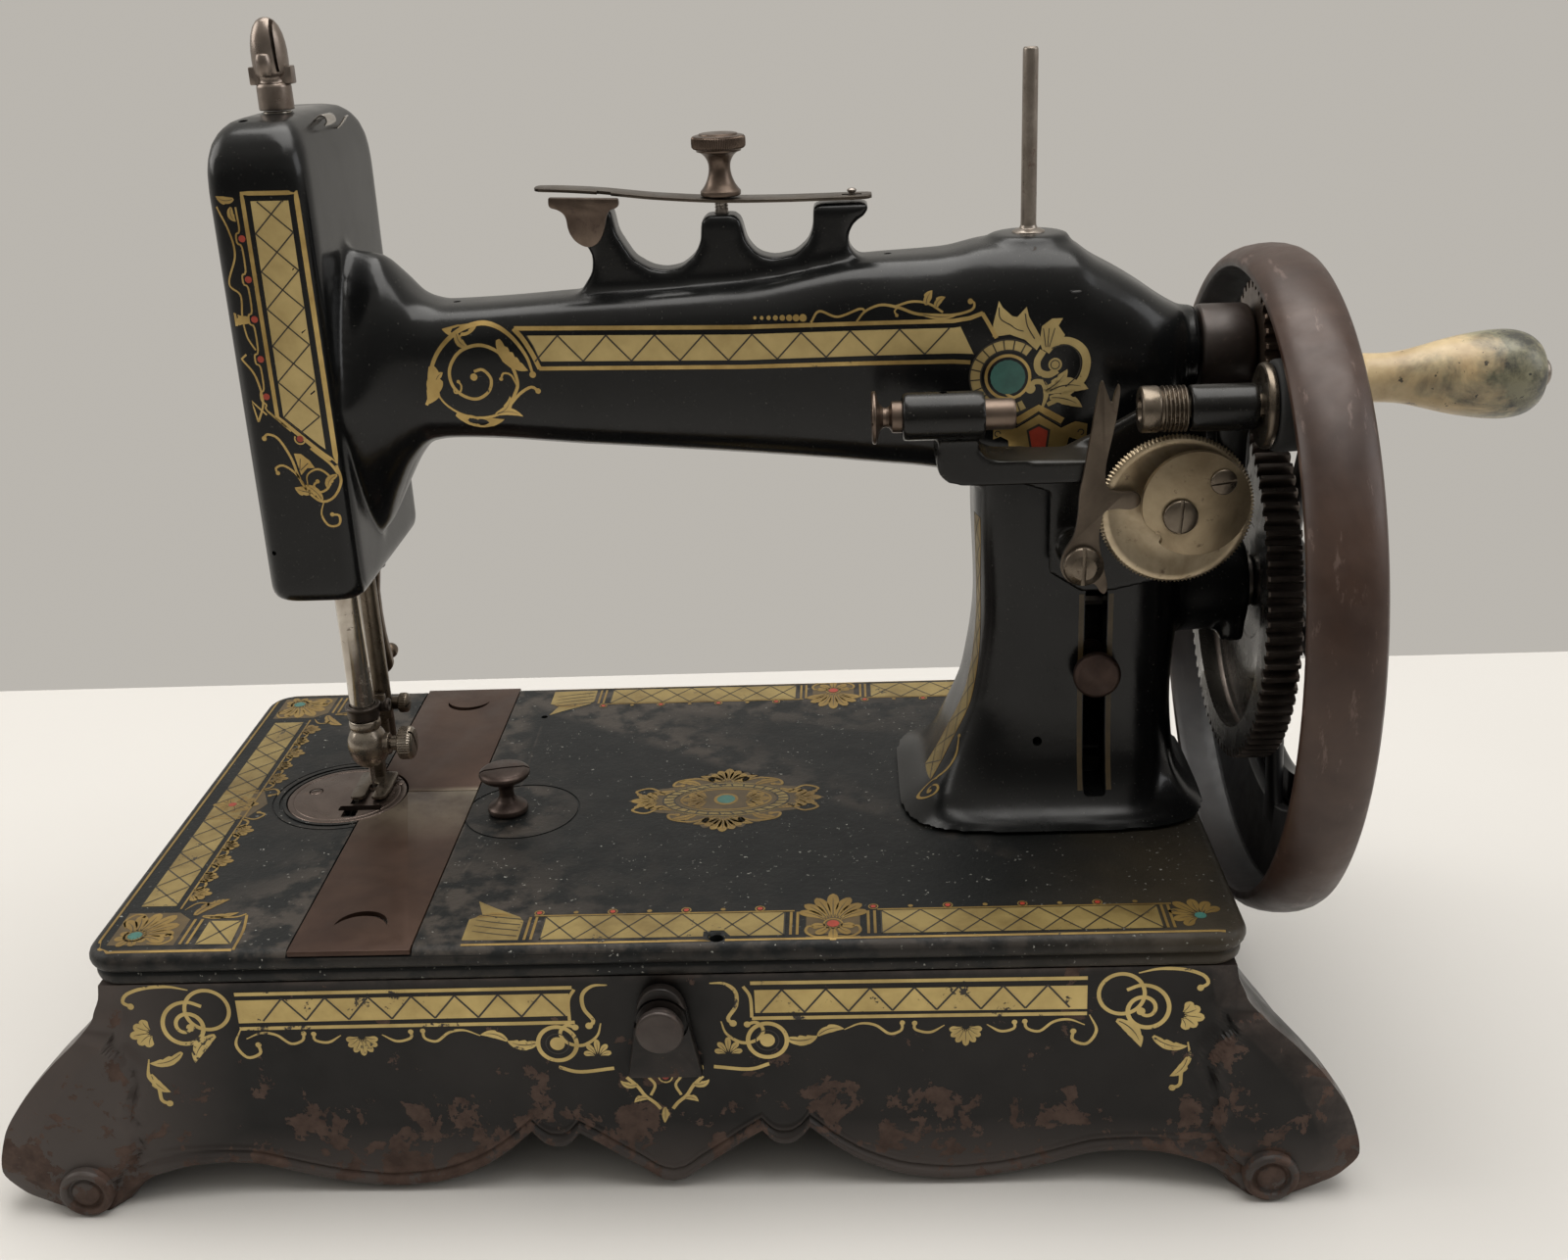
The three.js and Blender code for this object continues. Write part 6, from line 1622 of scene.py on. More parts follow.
# The arm: scroll circle, long band, flourish and a roundel with leaves.
def arm_transfer(t):
    top = [(-34.7, 150.2), (26.6, 148.8), (85.3, 149.3), (93.7, 150.5), (95.9, 145.6)]
    low = [(-31.2, 142.9), (26.4, 141.6), (85.3, 142.2), (90.6, 142.0), (91.0, 141.9)]
    t.band(top, low)
    x = -33.0
    zig = []
    while x < 88:
        zig.append(x)
        x += 6.9
    upper, lower = [p for p in top[:4]], [p for p in low[:4]]

    def height(line, x):
        return float(np.interp(x, [p[0] for p in line], [p[1] for p in line]))
    for i, (a, b) in enumerate(zip(zig, zig[1:])):
        up = i % 2 == 0
        t.line([(a, height(lower if up else upper, a)), (b, height(upper if up else lower, b))], 0.42, K,
               smooth=False)
    t.line([(-38.4, 152.2), (26.7, 150.8), (85.3, 151.2), (90, 151.9), (93.6, 153.2)], 1.15, G, smooth=False)
    t.line([(93.4, 153.2), (95.4, 149.8), (97.3, 146.3)], 1.1, G)
    t.line([(-32.0, 140.9), (26.2, 139.7), (85.3, 139.9), (90.1, 139.6)], 1.15, G, smooth=False)
    t.line([(-38.6, 152.2), (-36.1, 149.4), (-33.7, 145.3), (-31.8, 140.8)], 1.3, G)
    t.line([(-35.0, 150.2), (-33.2, 147.2), (-31.6, 143.0)], 0.35, K)
    # Scroll circle.
    t.line([(-34.0, 139.6), (-35.4, 144.5), (-38.9, 149.6), (-43.3, 152.8), (-48.5, 153.8), (-55, 151.7),
            (-60.5, 146.6),
            (-63.6, 140), (-64.0, 134.8), (-65.6, 131.2)], 1.25, G, ends=(0.6, 0.7))
    t.dot(-34.0, 139.2, 0.95)
    t.line([(-62.9, 136.8), (-60.5, 131.9), (-56.2, 128.4), (-51, 126.9), (-45.6, 127.6), (-42, 130.2),
            (-39.9, 133.3),
            (-38.6, 137.0), (-40.2, 142.6), (-44.4, 146.6), (-49.2, 148.0), (-54.6, 146.2), (-57.7, 141.6),
            (-57.5, 137.0),
            (-54.8, 133.8), (-50.8, 132.6), (-47.2, 134.6), (-46.1, 138.2), (-48.2, 141.0), (-50.8, 140.6)], 0.95, G,
           ends=(0.5, 0.9))
    t.dot(-51.0, 139.0, 1.05)
    t.curl([(-57.2, 136.2), (-57.0, 134.6), (-55.4, 134.8), (-54.9, 136.6), (-55.6, 137.8)], 0.55)
    t.curl([(-38.9, 136.0), (-40.2, 139.2), (-42.4, 139.8), (-43.2, 138.2)], 0.6)
    t.curl([(-41.3, 130.2), (-38.4, 133.6), (-34.8, 135.6), (-32.9, 134.4)], 0.85)
    t.leaf(-49.5, 153.4, -59.2, 152.6, 3.6, 0.12, 2, vein=False)
    t.leaf(-55.0, 151.6, -51.6, 147.6, 2.4, -0.2, 2)
    t.leaf(-63.0, 142.6, -65.2, 131.4, 4.8, 0.14, 3, vein=False)
    t.leaf(-62.0, 138.4, -59.8, 140.6, 1.8, 0.1, 2)
    t.leaf(-57.4, 128.2, -43.6, 126.2, 3.6, -0.12, 4, vein=False)
    t.leaf(-46.0, 127.6, -38.0, 126.9, 2.2, 0.16, 2)
    t.leaf(-45.8, 128.0, -41.2, 133.2, 2.3, -0.2, 2)
    t.leaf(-43.2, 149.4, -35.2, 140.4, 4.0, -0.12, 5, vein=False)
    # Row of dots and the flourish over the band.
    for i in range(8):
        t.dot(30.1 + 1.93 * i, 153.2 - 0.04 * i, 0.45 + 0.085 * i)
    t.line([(45.8, 151.6), (48.2, 154.6), (53.3, 153.0), (59.6, 155.0), (61.0, 154.2)], 0.65, G)
    t.curl([(58.6, 151.6), (61.2, 154.4), (65.5, 155.9), (70.3, 155.1), (75, 153.4), (80, 152.9), (86, 152.9),
            (90.6, 154.2),
            (91.2, 156.0), (90.2, 156.4)], 0.8, ends=(0.7, 0.8))
    t.line([(69.4, 155.4), (74.0, 156.6), (78.6, 156.0), (82.6, 153.6)], 0.65, G)
    t.curl([(70.3, 155.2), (69.2, 154.2), (69.8, 153.0)], 0.5)
    t.leaf(78.0, 155.6, 79.8, 159.4, 2.3, 0.12, 2)
    t.leaf(80.6, 154.6, 83.4, 157.6, 1.9, 0.2, 2)
    t.leaf(76.5, 153.3, 86.5, 152.7, 1.5, -0.06, 2)
    # Roundel.
    cx, cz = 100.5, 135.2
    t.ring(cx, cz, 9.1, 2.9, B, 50, 300)
    t.ring(cx, cz, 10.6, 0.45, K, 46, 304)
    t.ring(cx, cz, 7.6, 0.4, K, 50, 300)
    for i in range(14):
        w = math.radians(62 + 17.5 * i)
        t.line([(cx + 7.8 * math.cos(w), cz + 7.8 * math.sin(w)), (cx + 10.4 * math.cos(w), cz + 10.4 * math.sin(w))],
               0.35, K, smooth=False)
    t.ring(cx, cz, 6.1, 0.85, G)
    t.dot(cx, cz, 4.9, E)
    t.curl([(104.2, 129.8), (102.4, 129.4), (100.2, 130.4), (99.9, 132.4), (101.6, 133.2), (102.5, 132.2)], 0.75)
    t.fill([(96.2, 146.6), (96.4, 150.2), (98.0, 156.4), (99.0, 154.6), (101.6, 152.2), (103.0, 151.9),
            (105.6, 154.6),
            (106.2, 152.0), (108.6, 147.8), (110.0, 145.0), (108.4, 142.6), (105.2, 145.6), (101.0, 147.2)], B)
    t.line([(98.0, 154.6), (98.4, 151.6), (101.8, 149.4)], 0.3, K)
    t.line([(105.2, 152.8), (105.8, 149.4), (107.8, 145.8)], 0.3, K)
    t.line([(100.6, 150.2), (102.8, 148.6), (104.8, 148.0)], 0.25, K)
    t.fill([(109.2, 145.0), (109.8, 149.2), (112.6, 151.2), (115.6, 151.2), (114.4, 149.2), (116.2, 146.6),
            (114.6, 143.6),
            (111.8, 142.4), (110.0, 142.6)], B)
    for dx in (-1.6, 0.0, 1.6):
        t.line([(111.4 + 0.3 * dx, 143.4), (111.8 + dx, 148.6)], 0.25, K)
    t.line([(111.2, 142.0), (113.6, 144.6), (117.4, 144.9), (120.8, 142.8), (122.3, 139.2), (121.4, 134.6),
            (118.4, 131.2),
            (114.6, 128.6), (111.6, 127.0)], 2.3, B, ends=(0.7, 0.5))
    t.line([(112.6, 143.0), (114.4, 143.6), (117.2, 143.7), (119.6, 142.0), (120.7, 139.0), (119.8, 135.2),
            (116.6, 132.0)],
           0.35, K)
    t.dot(113.6, 138.4, 1.9, B)
    t.line([(110.2, 142.4), (108.6, 139.4), (109.2, 136.6), (111.8, 135.6), (114.2, 136.8)], 1.9, B)
    t.ring(113.6, 138.4, 1.2, 0.3, K)
    t.leaf(111.6, 130.6, 123.0, 131.2, 4.4, 0.14, 4, B)
    t.leaf(112.2, 129.0, 121.4, 126.0, 3.4, 0.1, 3, B)
    t.leaf(110.6, 131.0, 117.0, 137.0, 3.2, -0.1, 3, B)
    t.curl([(110.0, 125.8), (111.2, 129.6), (110.4, 133.2), (107.8, 133.6), (106.8, 131.8)], 1.5, B)
    t.line([(106.8, 134.4), (109.6, 135.2), (111.2, 132.6)], 0.3, K)
    # Foot of the ornament with its kite.
    t.fill([(99.4, 109.8), (101.2, 113), (100.8, 116.8), (98.6, 118.0), (96.6, 117.2), (96.6, 120.2), (99, 121.6),
            (103, 120.4), (109.3, 124.2), (115.6, 120.2), (119.6, 122.0), (123.0, 121.2), (122.8, 117.4),
            (120.9, 116.4),
            (118.0, 117.4), (116.9, 113.4), (118.2, 109.4)], G)
    t.line([(102.9, 122.4), (109.2, 126.2), (116, 122.2)], 1.9, G, smooth=False)
    t.line([(103.0, 121.0), (109.25, 124.8), (115.6, 120.9)], 0.35, K, smooth=False)
    t.ring(97.8, 118.8, 0.8, 0.35, K, 0, 270)
    t.ring(121.2, 118.8, 0.8, 0.35, K, -90, 180)
    t.fill([(105.9, 119.8), (109.3, 121.6), (112.6, 119.8), (111.3, 109.4), (107.9, 109.4)], K)
    t.fill([(106.6, 119.4), (109.3, 120.8), (111.9, 119.4), (110.7, 109.8), (108.4, 109.8)], R)


front_arm = Transfer(surface(ARM_OBJ, "+y", -60))
arm_transfer(front_arm)


# The head: framed lattice with a slanted foot, scalloped edging, red dots and a tendril.
def head_transfer(t):
    frame_line = [(-105.2, 193.9), (-90.9, 193.6), (-90.3, 118.4), (-104.7, 132.4)]
    fill_line = [(-103.1, 191.8), (-92.9, 191.6), (-92.5, 122.6), (-103.0, 132.6)]
    t.fill(fill_line, B)
    t.line(frame_line, 1.15, G, smooth=False, closed=True)
    for k in range(7):
        z = 183.2 - 10.2 * k
        if k < 5:
            t.line([(-103.0, z), (-92.8, z - 10.2)], 0.38, K, smooth=False)
            t.line([(-92.8, z), (-103.0, z - 10.2)], 0.38, K, smooth=False)
    t.line([(-103.0, 183.2), (-94.6, 191.6)], 0.38, K, smooth=False)
    t.line([(-92.8, 183.2), (-101.4, 191.6)], 0.38, K, smooth=False)
    t.line([(-92.8, 132.2), (-98.6, 127.9)], 0.38, K, smooth=False)
    t.line([(-103.0, 132.2), (-97.6, 127.0)], 0.38, K, smooth=False)
    dots = [182.0, 171.0, 160.1, 149.0, 138.4]
    path = [(-107.4, 190.4)]
    for z in dots:
        path += [(-107.3, z + 2.3), (-108.3, z + 1.3), (-108.5, z), (-108.3, z - 1.3), (-107.3, z - 2.3)]
    path += [(-107.3, 134.4), (-102.6, 129.6)]
    t.line(path, 0.5, G, step=0.5)
    t.line([(-107.2, 134.3), (-101.4, 128.3)], 0.55, G)
    t.line([(-96.6, 123.2), (-92.0, 118.6), (-90.2, 115.0)], 0.7, G)
    for z in dots:
        t.dot(-106.9, z, 0.95, R)
    t.dot(-99.2, 126.0, 0.95, R)
    t.ring(-99.2, 126.0, 1.5, 0.45, G, 150, 330)
    t.line([(-112.8, 190.6), (-110.2, 184), (-109.6, 177.5), (-112.6, 170.0), (-109.8, 166.9), (-110.2, 161.2)],
           0.55, G)
    t.fill([(-112.7, 162.0), (-110.6, 161.2), (-108.6, 161.0), (-108.6, 159.0), (-110.6, 158.8), (-112.7, 158.2)], G)
    t.line([(-110.2, 158.8), (-109.6, 155.0), (-107.9, 151.6)], 0.5, G)
    t.line([(-112.6, 149.0), (-110.8, 150.4)], 0.55, G)
    t.line([(-112.4, 149.0), (-109.6, 145.4), (-108.3, 140.6), (-108.2, 136.2), (-110.2, 131.4)], 0.6, G)
    t.line([(-110.3, 131.2), (-111.4, 137.2), (-107.6, 133.2)], 0.5, G, smooth=False)
    t.leaf(-107.6, 192.6, -112.6, 193.4, 2.2, 0.16, 2)
    t.leaf(-108.6, 190.4, -107.8, 186.6, 2.0, -0.2, 2)
    # Tendril at the foot.
    t.curl([(-90.4, 117.6), (-89.9, 112.6), (-92.0, 108.6), (-95.4, 107.4), (-98.6, 109.8), (-101.0, 114.4),
            (-102.6, 120.6),
            (-105.4, 126.2), (-108.4, 127.6), (-109.4, 126.4)], 0.75, ends=(0.8, 0.9))
    t.curl([(-99.4, 111.6), (-102.0, 116.0), (-105.2, 118.4), (-107.4, 117.6), (-107.0, 116.2)], 0.65)
    t.curl([(-99.0, 112.0), (-98.6, 115.4), (-95.4, 117.0), (-92.6, 114.8), (-93.2, 111.4), (-96.0, 110.2),
            (-97.2, 112.2),
            (-96.0, 113.4)], 0.65)
    t.curl([(-95.0, 107.4), (-96.2, 103.6), (-94.6, 100.2), (-91.8, 100.2), (-91.4, 102.8), (-93.2, 103.4)], 0.65)
    t.fill([(-101.6, 121.8), (-99.6, 121.6), (-97.4, 119.6), (-96.2, 117.4), (-98.4, 117.4), (-100.4, 115.4)], G)
    t.line([(-100.6, 117.0), (-100.0, 120.2)], 0.25, K)
    t.line([(-100.4, 116.8), (-98.0, 118.8)], 0.25, K)
    t.leaf(-90.6, 114.8, -93.2, 110.8, 2.2, -0.2, 3)
    t.leaf(-98.2, 110.4, -102.8, 111.8, 2.8, 0.1, 2)
    t.leaf(-95.4, 107.8, -99.8, 112.4, 2.4, -0.1, 3)


head_transfer(front_arm)
# Brassy worn lips of the slot for the stitch knob.
for side in (-1, 1):
    front_arm.line([(126.9 + side * 4.3, 9.5), (126.9 + side * 4.3, 70.0)], 1.5, N, smooth=False)
front_arm.done("arm_front_gold", "machine")

# The back of the arm, unseen in the photograph, carries the band alone.
back_arm = Transfer(surface(ARM_OBJ, "-y", 260))
arm_transfer(back_arm)
back_arm.done("arm_back_gold", "machine")


# The pillar's left flank: a wavy strip of lattice with a scroll below it.
def flank_transfer(t):
    left, right = [], []
    for i in range(30):
        z = 92 - 84 * i / 29
        wave = 1.5 * math.sin(z / 8.5)
        grow = 0.8 + 1.0 * max(0, (40 - z) / 40)
        mid = 88.5 - 4.5 * (92 - z) / 84 + 1.2 * math.sin(z / 17)
        left.append((mid + (3.4 * grow + wave), z))
        right.append((mid - (3.4 * grow - wave), z))
    t.band(left, right, B)
    t.line(left, 0.8, G)
    t.line(right, 0.8, G)
    for i in range(0, 28, 3):
        t.line([left[i], right[min(29, i + 3)]], 0.35, K)
        t.line([right[i], left[min(29, i + 3)]], 0.35, K)
    t.spiral(76.0, 6.6, 3.6, 60, -520, 0.65)
    t.curl([(78.6, 8.8), (77.0, 13.0), (77.4, 18.0), (79.8, 23.0)], 0.6, ends=(1, 0.8))


flank = Transfer(surface(ARM_OBJ, "+x", -60))
flank_transfer(flank)
flank.done("pillar_gold", "machine", {G: GOLD_BED_LINE, B: GOLD_BED})


# The base front: a worn zigzag band each side of a bracket, with scrolled ends and a pendant.
def base_half(t, start, end, lines, panel):
    """One band with its two border lines and its zigzag, from the latch outwards."""
    lo, hi = panel
    t.band([(start, hi), (end, hi - 0.4)], [(start, lo), (end, lo - 0.6)], W)
    t.line([(start - 1, lines[1]), (end, lines[1] - 0.3)], 1.1, W, smooth=False)
    t.line([(start - 1, lines[0]), (end, lines[0] - 0.3)], 1.1, W, smooth=False)
    x, up = start + 1.5, True
    while x + 6.05 < end - 1:
        t.line([(x, lo if up else hi), (x + 6.05, hi if up else lo)], 0.55, K, smooth=False)
        x, up = x + 6.05, not up


def base_ornament(t):
    """The bracket beside the latch, the scroll that ends the band, and what hangs below; drawn to the right."""
    t.curl([(13.4, -13.4), (17.5, -13.6), (20.4, -16.2), (20.4, -20.6), (18.0, -24.6), (19.3, -26.2)], 1.1, W)
    t.line([(22.6, -14.6), (24.4, -18.0), (24.6, -24.4)], 0.9, W)
    t.curl([(16.0, -25.5), (17.4, -29.6), (21.4, -32.4), (25.6, -31.6), (27.6, -28.6), (25.8, -26.0), (23.2, -26.6)],
           1.0, W)
    t.ring(28.6, -31.8, 5.4, 1.2, W)
    t.dot(28.6, -31.8, 2.1, W)
    t.ring(28.6, -31.8, 3.2, 0.3, K)
    t.line([(28.8, -39.4), (23.0, -41.0), (13.3, -40.1)], 1.1, W)
    t.palmette(17.6, -36.2, 5.6, 90, 150, 5, W)
    t.leaf(34.2, -31.4, 42.6, -30.6, 3.4, -0.12, 3, W)
    t.leaf(42.6, -30.6, 50.0, -28.6, 2.6, 0.16, 2, W)
    t.line([(10.0, -43.2), (7.2, -46.2), (5.2, -49.4), (2.6, -51.8), (1.0, -53.9)], 1.0, W)
    t.line([(3.6, -49.3), (2.2, -46.0), (3.8, -43.4)], 0.8, W)
    t.leaf(7.0, -45.6, 11.8, -44.2, 2.0, -0.2, 2, W)
    t.leaf(4.4, -50.4, 8.4, -51.6, 1.9, 0.2, 2, W)
    # Fringe under the band and the ornament in its middle.
    t.curl([(50.0, -28.8), (54.4, -27.0), (58.6, -27.6), (62.4, -30.4), (65.6, -29.4), (66.0, -27.0)], 0.8, W)
    t.curl([(116.0, -28.6), (111.6, -26.8), (107.4, -27.5), (103.6, -30.4), (100.2, -29.4), (99.6, -27.2)], 0.8, W)
    t.palmette(83.4, -28.4, 6.4, -90, 160, 7, W, 1.9)
    t.curl([(77.6, -28.0), (73.6, -30.2), (69.6, -29.2), (69.4, -27.2)], 0.8, W)
    t.curl([(89.2, -28.0), (93.0, -30.2), (96.6, -29.4), (96.8, -27.4)], 0.8, W)
    # Scrolled end.
    t.curl([(117.2, -25.4), (119.2, -30.4), (116.6, -34.6), (112.8, -33.4), (112.9, -30.6)], 0.9, W)
    t.ring(125.8, -19.0, 6.2, 1.1, W)
    t.spiral(132.2, -23.8, 7.8, 130, -640, 1.25, 0.16, W)
    t.curl([(130.2, -12.6), (136.0, -11.4), (142.6, -11.8), (147.6, -13.6), (149.0, -16.0), (147.0, -17.4)], 1.0, W)
    t.palmette(141.8, -25.4, 6.6, -8, 130, 5, W, 2.6)
    t.leaf(124.6, -27.2, 131.4, -35.6, 3.8, 0.14, 4, W)
    t.leaf(134.6, -32.0, 144.0, -34.8, 3.0, -0.14, 3, W)
    t.curl([(144.0, -33.6), (144.6, -38.6), (142.6, -42.6), (142.2, -46.8), (140.2, -48.0)], 1.0, W)
    t.leaf(144.0, -38.2, 139.4, -44.4, 2.6, 0.14, 3, W)


def base_transfer(t):
    for way, args in ((plain, (25.6, 116.5, (-24.7, -13.6), (-23.0, -15.8))),
                      (mirrored(-0.7), (24.2, 117.4, (-25.0, -14.0), (-22.9, -15.8)))):
        t.m = way
        base_half(t, *args)
        base_ornament(t)
    t.m = plain
    t.line([(-8.4, -40.4), (-4.2, -40.7), (0.4, -40.2), (10.3, -40.3)], 1.3, W)
    t.dot(-0.5, -43.2, 1.0, R)
    t.ring(-0.5, -43.2, 1.9, 0.45, W)
    t.dot(-1.0, -55.6, 1.0, W)
    t.leaf(-1.2, -53.4, -1.6, -58.6, 2.0, 0.02, 1, W)


front_base = Transfer(surface(BASE, "+y", -60))
base_transfer(front_base)
front_base.done("base_front_gold", "machine")
back_base = Transfer(surface(BASE, "-y", 260))
base_transfer(back_base)
back_base.done("base_back_gold", "machine")


# ---------------------------------------------------------------- bed transfer
def flat_top(obj, start, level):
    tree = BVHTree.FromPolygons([v.co for v in obj.data.vertices], [p.vertices for p in obj.data.polygons])

    def find(a, b, lift):
        spot, normal, _, _ = tree.ray_cast(row(a, b, start), Vector((0, 0, -1)))
        if spot is None:
            return None
        p = np.array(spot) / MM - SHIFT
        return (p[0], p[1], p[2] + lift) if abs(p[2] - level) < 0.6 else None
    return find


def bed_cells(t, a0, a1, lo, hi):
    """One run of crossed lattice on gold between two thin gold lines, with dots along its inner side."""
    t.band([(a0, hi), (a1, hi)], [(a0, lo), (a1, lo)])
    t.lattice(a0, a1, lo, hi, 10.3, 0.45)
    for a in (a0, a1):
        t.line([(a, lo), (a, hi)], 0.4, K, smooth=False)
    n = int((a1 - a0) / 10.3)
    for i in range(n + 1):
        a = a0 - 2.1 + 10.35 * i
        if i % 2:
            t.dot(a, hi + 2.1, 0.7, G)
        else:
            t.dot(a, hi + 2.1, 0.75, R)
            t.ring(a, hi + 2.1, 1.25, 0.35, G)


def bed_bar(t, a, lo, hi):
    for k in (-0.9, 0.9):
        t.line([(a + k, lo), (a + k, hi)], 0.75, G, smooth=False)


def bed_palmette(t, a, mid):
    """The upright palmette that breaks a band, standing on a small red drop between two tendrils."""
    t.band([(a - 7.4, mid + 6.4), (a + 7.4, mid + 6.4)], [(a - 7.4, mid - 6.4), (a + 7.4, mid - 6.4)], N)
    t.palmette(a, mid + 1.0, 15.4, 90, 120, 7, G, 3.4)
    t.palmette(a, mid + 0.4, 8.2, -90, 170, 5, G, 2.6)
    t.dot(a, mid + 0.4, 1.7, R)
    t.ring(a, mid + 0.4, 2.5, 0.5, G)
    for s in (-1, 1):
        t.curl([(a + 1.2 * s, mid - 5.8), (a + 5.0 * s, mid - 6.0), (a + 7.4 * s, mid - 3.6),
                (a + 6.8 * s, mid - 0.8),
                (a + 4.8 * s, mid - 1.4)], 0.8)


def bed_leaf_start(t, a, lo, hi, way):
    """The leafy piece that opens a band."""
    t.fill([(a, lo + 0.4), (a, hi - 0.6), (a + 3.4 * way, hi + 1.4), (a + 0.9 * way, hi + 9.2),
            (a + 6.4 * way, hi + 5.2),
            (a + 14.2 * way, hi + 0.2), (a + 15.6 * way, hi - 2.2), (a + 15.6 * way, lo)], B)
    for k in range(4):
        b = lo + 2.0 + k * 2.9
        t.line([(a + 15.0 * way, b), (a + 8.0 * way, b + 1.4), (a + 2.0 * way, b + 3.0)], 0.4, K, ends=(1, 0.4))
    t.leaf(a + 2.0 * way, hi + 0.4, a + 12.0 * way, hi + 0.6, 2.6, 0.12 * way, 3)


def bed_band(t, lo, hi, right):
    """The long decorated border along one edge of the bed, from the slides to the corner."""
    t.line([(-54.0, lo - 1.8), (right, lo - 1.8)], 0.7, G, smooth=False)
    t.line([(-36.0, hi + 0.6), (37.0, hi + 0.6)], 0.6, G, smooth=False)
    t.line([(60.0, hi + 0.6), (right - 14.0, hi + 0.6)], 0.6, G, smooth=False)
    bed_leaf_start(t, -54.2, lo, hi, 1)
    bed_bar(t, -36.0, lo, hi)
    bed_cells(t, -32.7, 34.3, lo, hi)
    bed_bar(t, 37.0, lo, hi)
    bed_palmette(t, 47.7, (lo + hi) / 2 - 1)
    bed_bar(t, 58.3, lo, hi)
    bed_cells(t, 61.0, right - 18.0, lo, hi)
    bed_bar(t, right - 16.0, lo, hi)
    t.palmette(right - 7.2, (lo + hi) / 2, 9.6, 130, 200, 7, G, 3.0)
    t.dot(right - 7.2, (lo + hi) / 2, 1.6, E)


def bed_middle(t):
    """The block that breaks the side border half way, facing the needle."""
    t.fill([(-151.8, MID_Y - 9), (-138.4, MID_Y - 9), (-134.6, MID_Y), (-138.4, MID_Y + 9), (-151.8, MID_Y + 9)], N)
    for s in (-1, 1):
        for k in (8.0, 9.6):
            t.line([(-151.6, MID_Y + k * s), (-140.4, MID_Y + k * s)], 0.75, G, smooth=False)
        t.curl([(-139.4, MID_Y + 9 * s), (-135.4, MID_Y + 10.4 * s), (-133.2, MID_Y + 7.4 * s),
                (-135.6, MID_Y + 5.8 * s)], 0.8)
    t.palmette(-145.6, MID_Y, 8.2, 0, 150, 5, G, 2.8)
    t.palmette(-146.4, MID_Y, 6.0, 180, 150, 5, G, 2.2)
    t.dot(-146.0, MID_Y, 1.3, R)


def bed_corner(t):
    """The left front corner: palmette block, bars, one crossed cell and the start of the side border."""
    t.line([(-117.4, 2.6), (-152.0, 2.6), (-155.2, 4.4), (-156.3, 8.2), (-156.3, MID_Y)], 0.8, G, smooth=False)
    t.line([(-116.9, 2.6), (-117.2, 12.0), (-118.9, 20.6)], 0.8, G)
    t.line([(-139.4, 24.6), (-139.4, MID_Y)], 0.6, G, smooth=False)
    t.band([(-151.6, 26.4), (-151.6, MID_Y)], [(-141.4, 26.4), (-141.4, MID_Y)])
    b = 27.4
    while b + 10.2 < MID_Y:
        t.line([(-151.6, b), (-141.4, b + 10.2)], 0.45, K, smooth=False)
        t.line([(-141.4, b), (-151.6, b + 10.2)], 0.45, K, smooth=False)
        b += 10.2
    for i in range(5):
        b = 33.0 + 9.6 * i
        t.palmette(-139.8, b, 6.6 - 1.4 * (i % 2), 0, 120, 5, G, 2.3)
        t.ring(-139.4, b + 4.8, 2.6, 0.8, G, -90, 90)
    t.fill([(-153.6, 5.8), (-134.6, 5.4), (-134.6, 18.8), (-138.8, 22.6), (-153.6, 22.8)], N)
    t.palmette(-147.4, 10.6, 13.4, 52, 150, 7, G, 3.6)
    t.palmette(-147.4, 10.6, 6.4, -120, 170, 5, G, 2.4)
    t.ring(-147.4, 10.6, 2.9, 0.7, G)
    t.dot(-147.4, 10.6, 2.0, E)
    t.curl([(-151.6, 14.6), (-153.2, 18.4), (-151.4, 21.8), (-148.6, 21.4), (-148.8, 19.4)], 0.8)
    t.curl([(-142.6, 6.6), (-138.6, 6.0), (-136.2, 8.4), (-137.6, 11.0), (-139.4, 10.2)], 0.8)
    for a in (-133.0, -131.0):
        t.line([(a, 5.8), (a, 18.9)], 0.8, G, smooth=False)
    t.fill([(-128.6, 5.6), (-118.6, 5.4), (-119.4, 17.6), (-128.6, 17.8)], B)
    t.line([(-128.4, 5.8), (-119.6, 17.4)], 0.5, K, smooth=False)
    t.line([(-118.8, 5.6), (-128.4, 17.6)], 0.5, K, smooth=False)
    t.line([(-129.2, 19.8), (-122.0, 19.6), (-119.2, 21.2)], 0.7, G)
    t.leaf(-134.0, 21.0, -126.6, 29.6, 3.8, 0.14, 3)
    t.leaf(-131.6, 20.4, -121.6, 22.2, 2.6, -0.1, 3)
    t.curl([(-138.0, 24.0), (-135.6, 27.6), (-132.4, 27.4), (-132.2, 25.4)], 0.7)


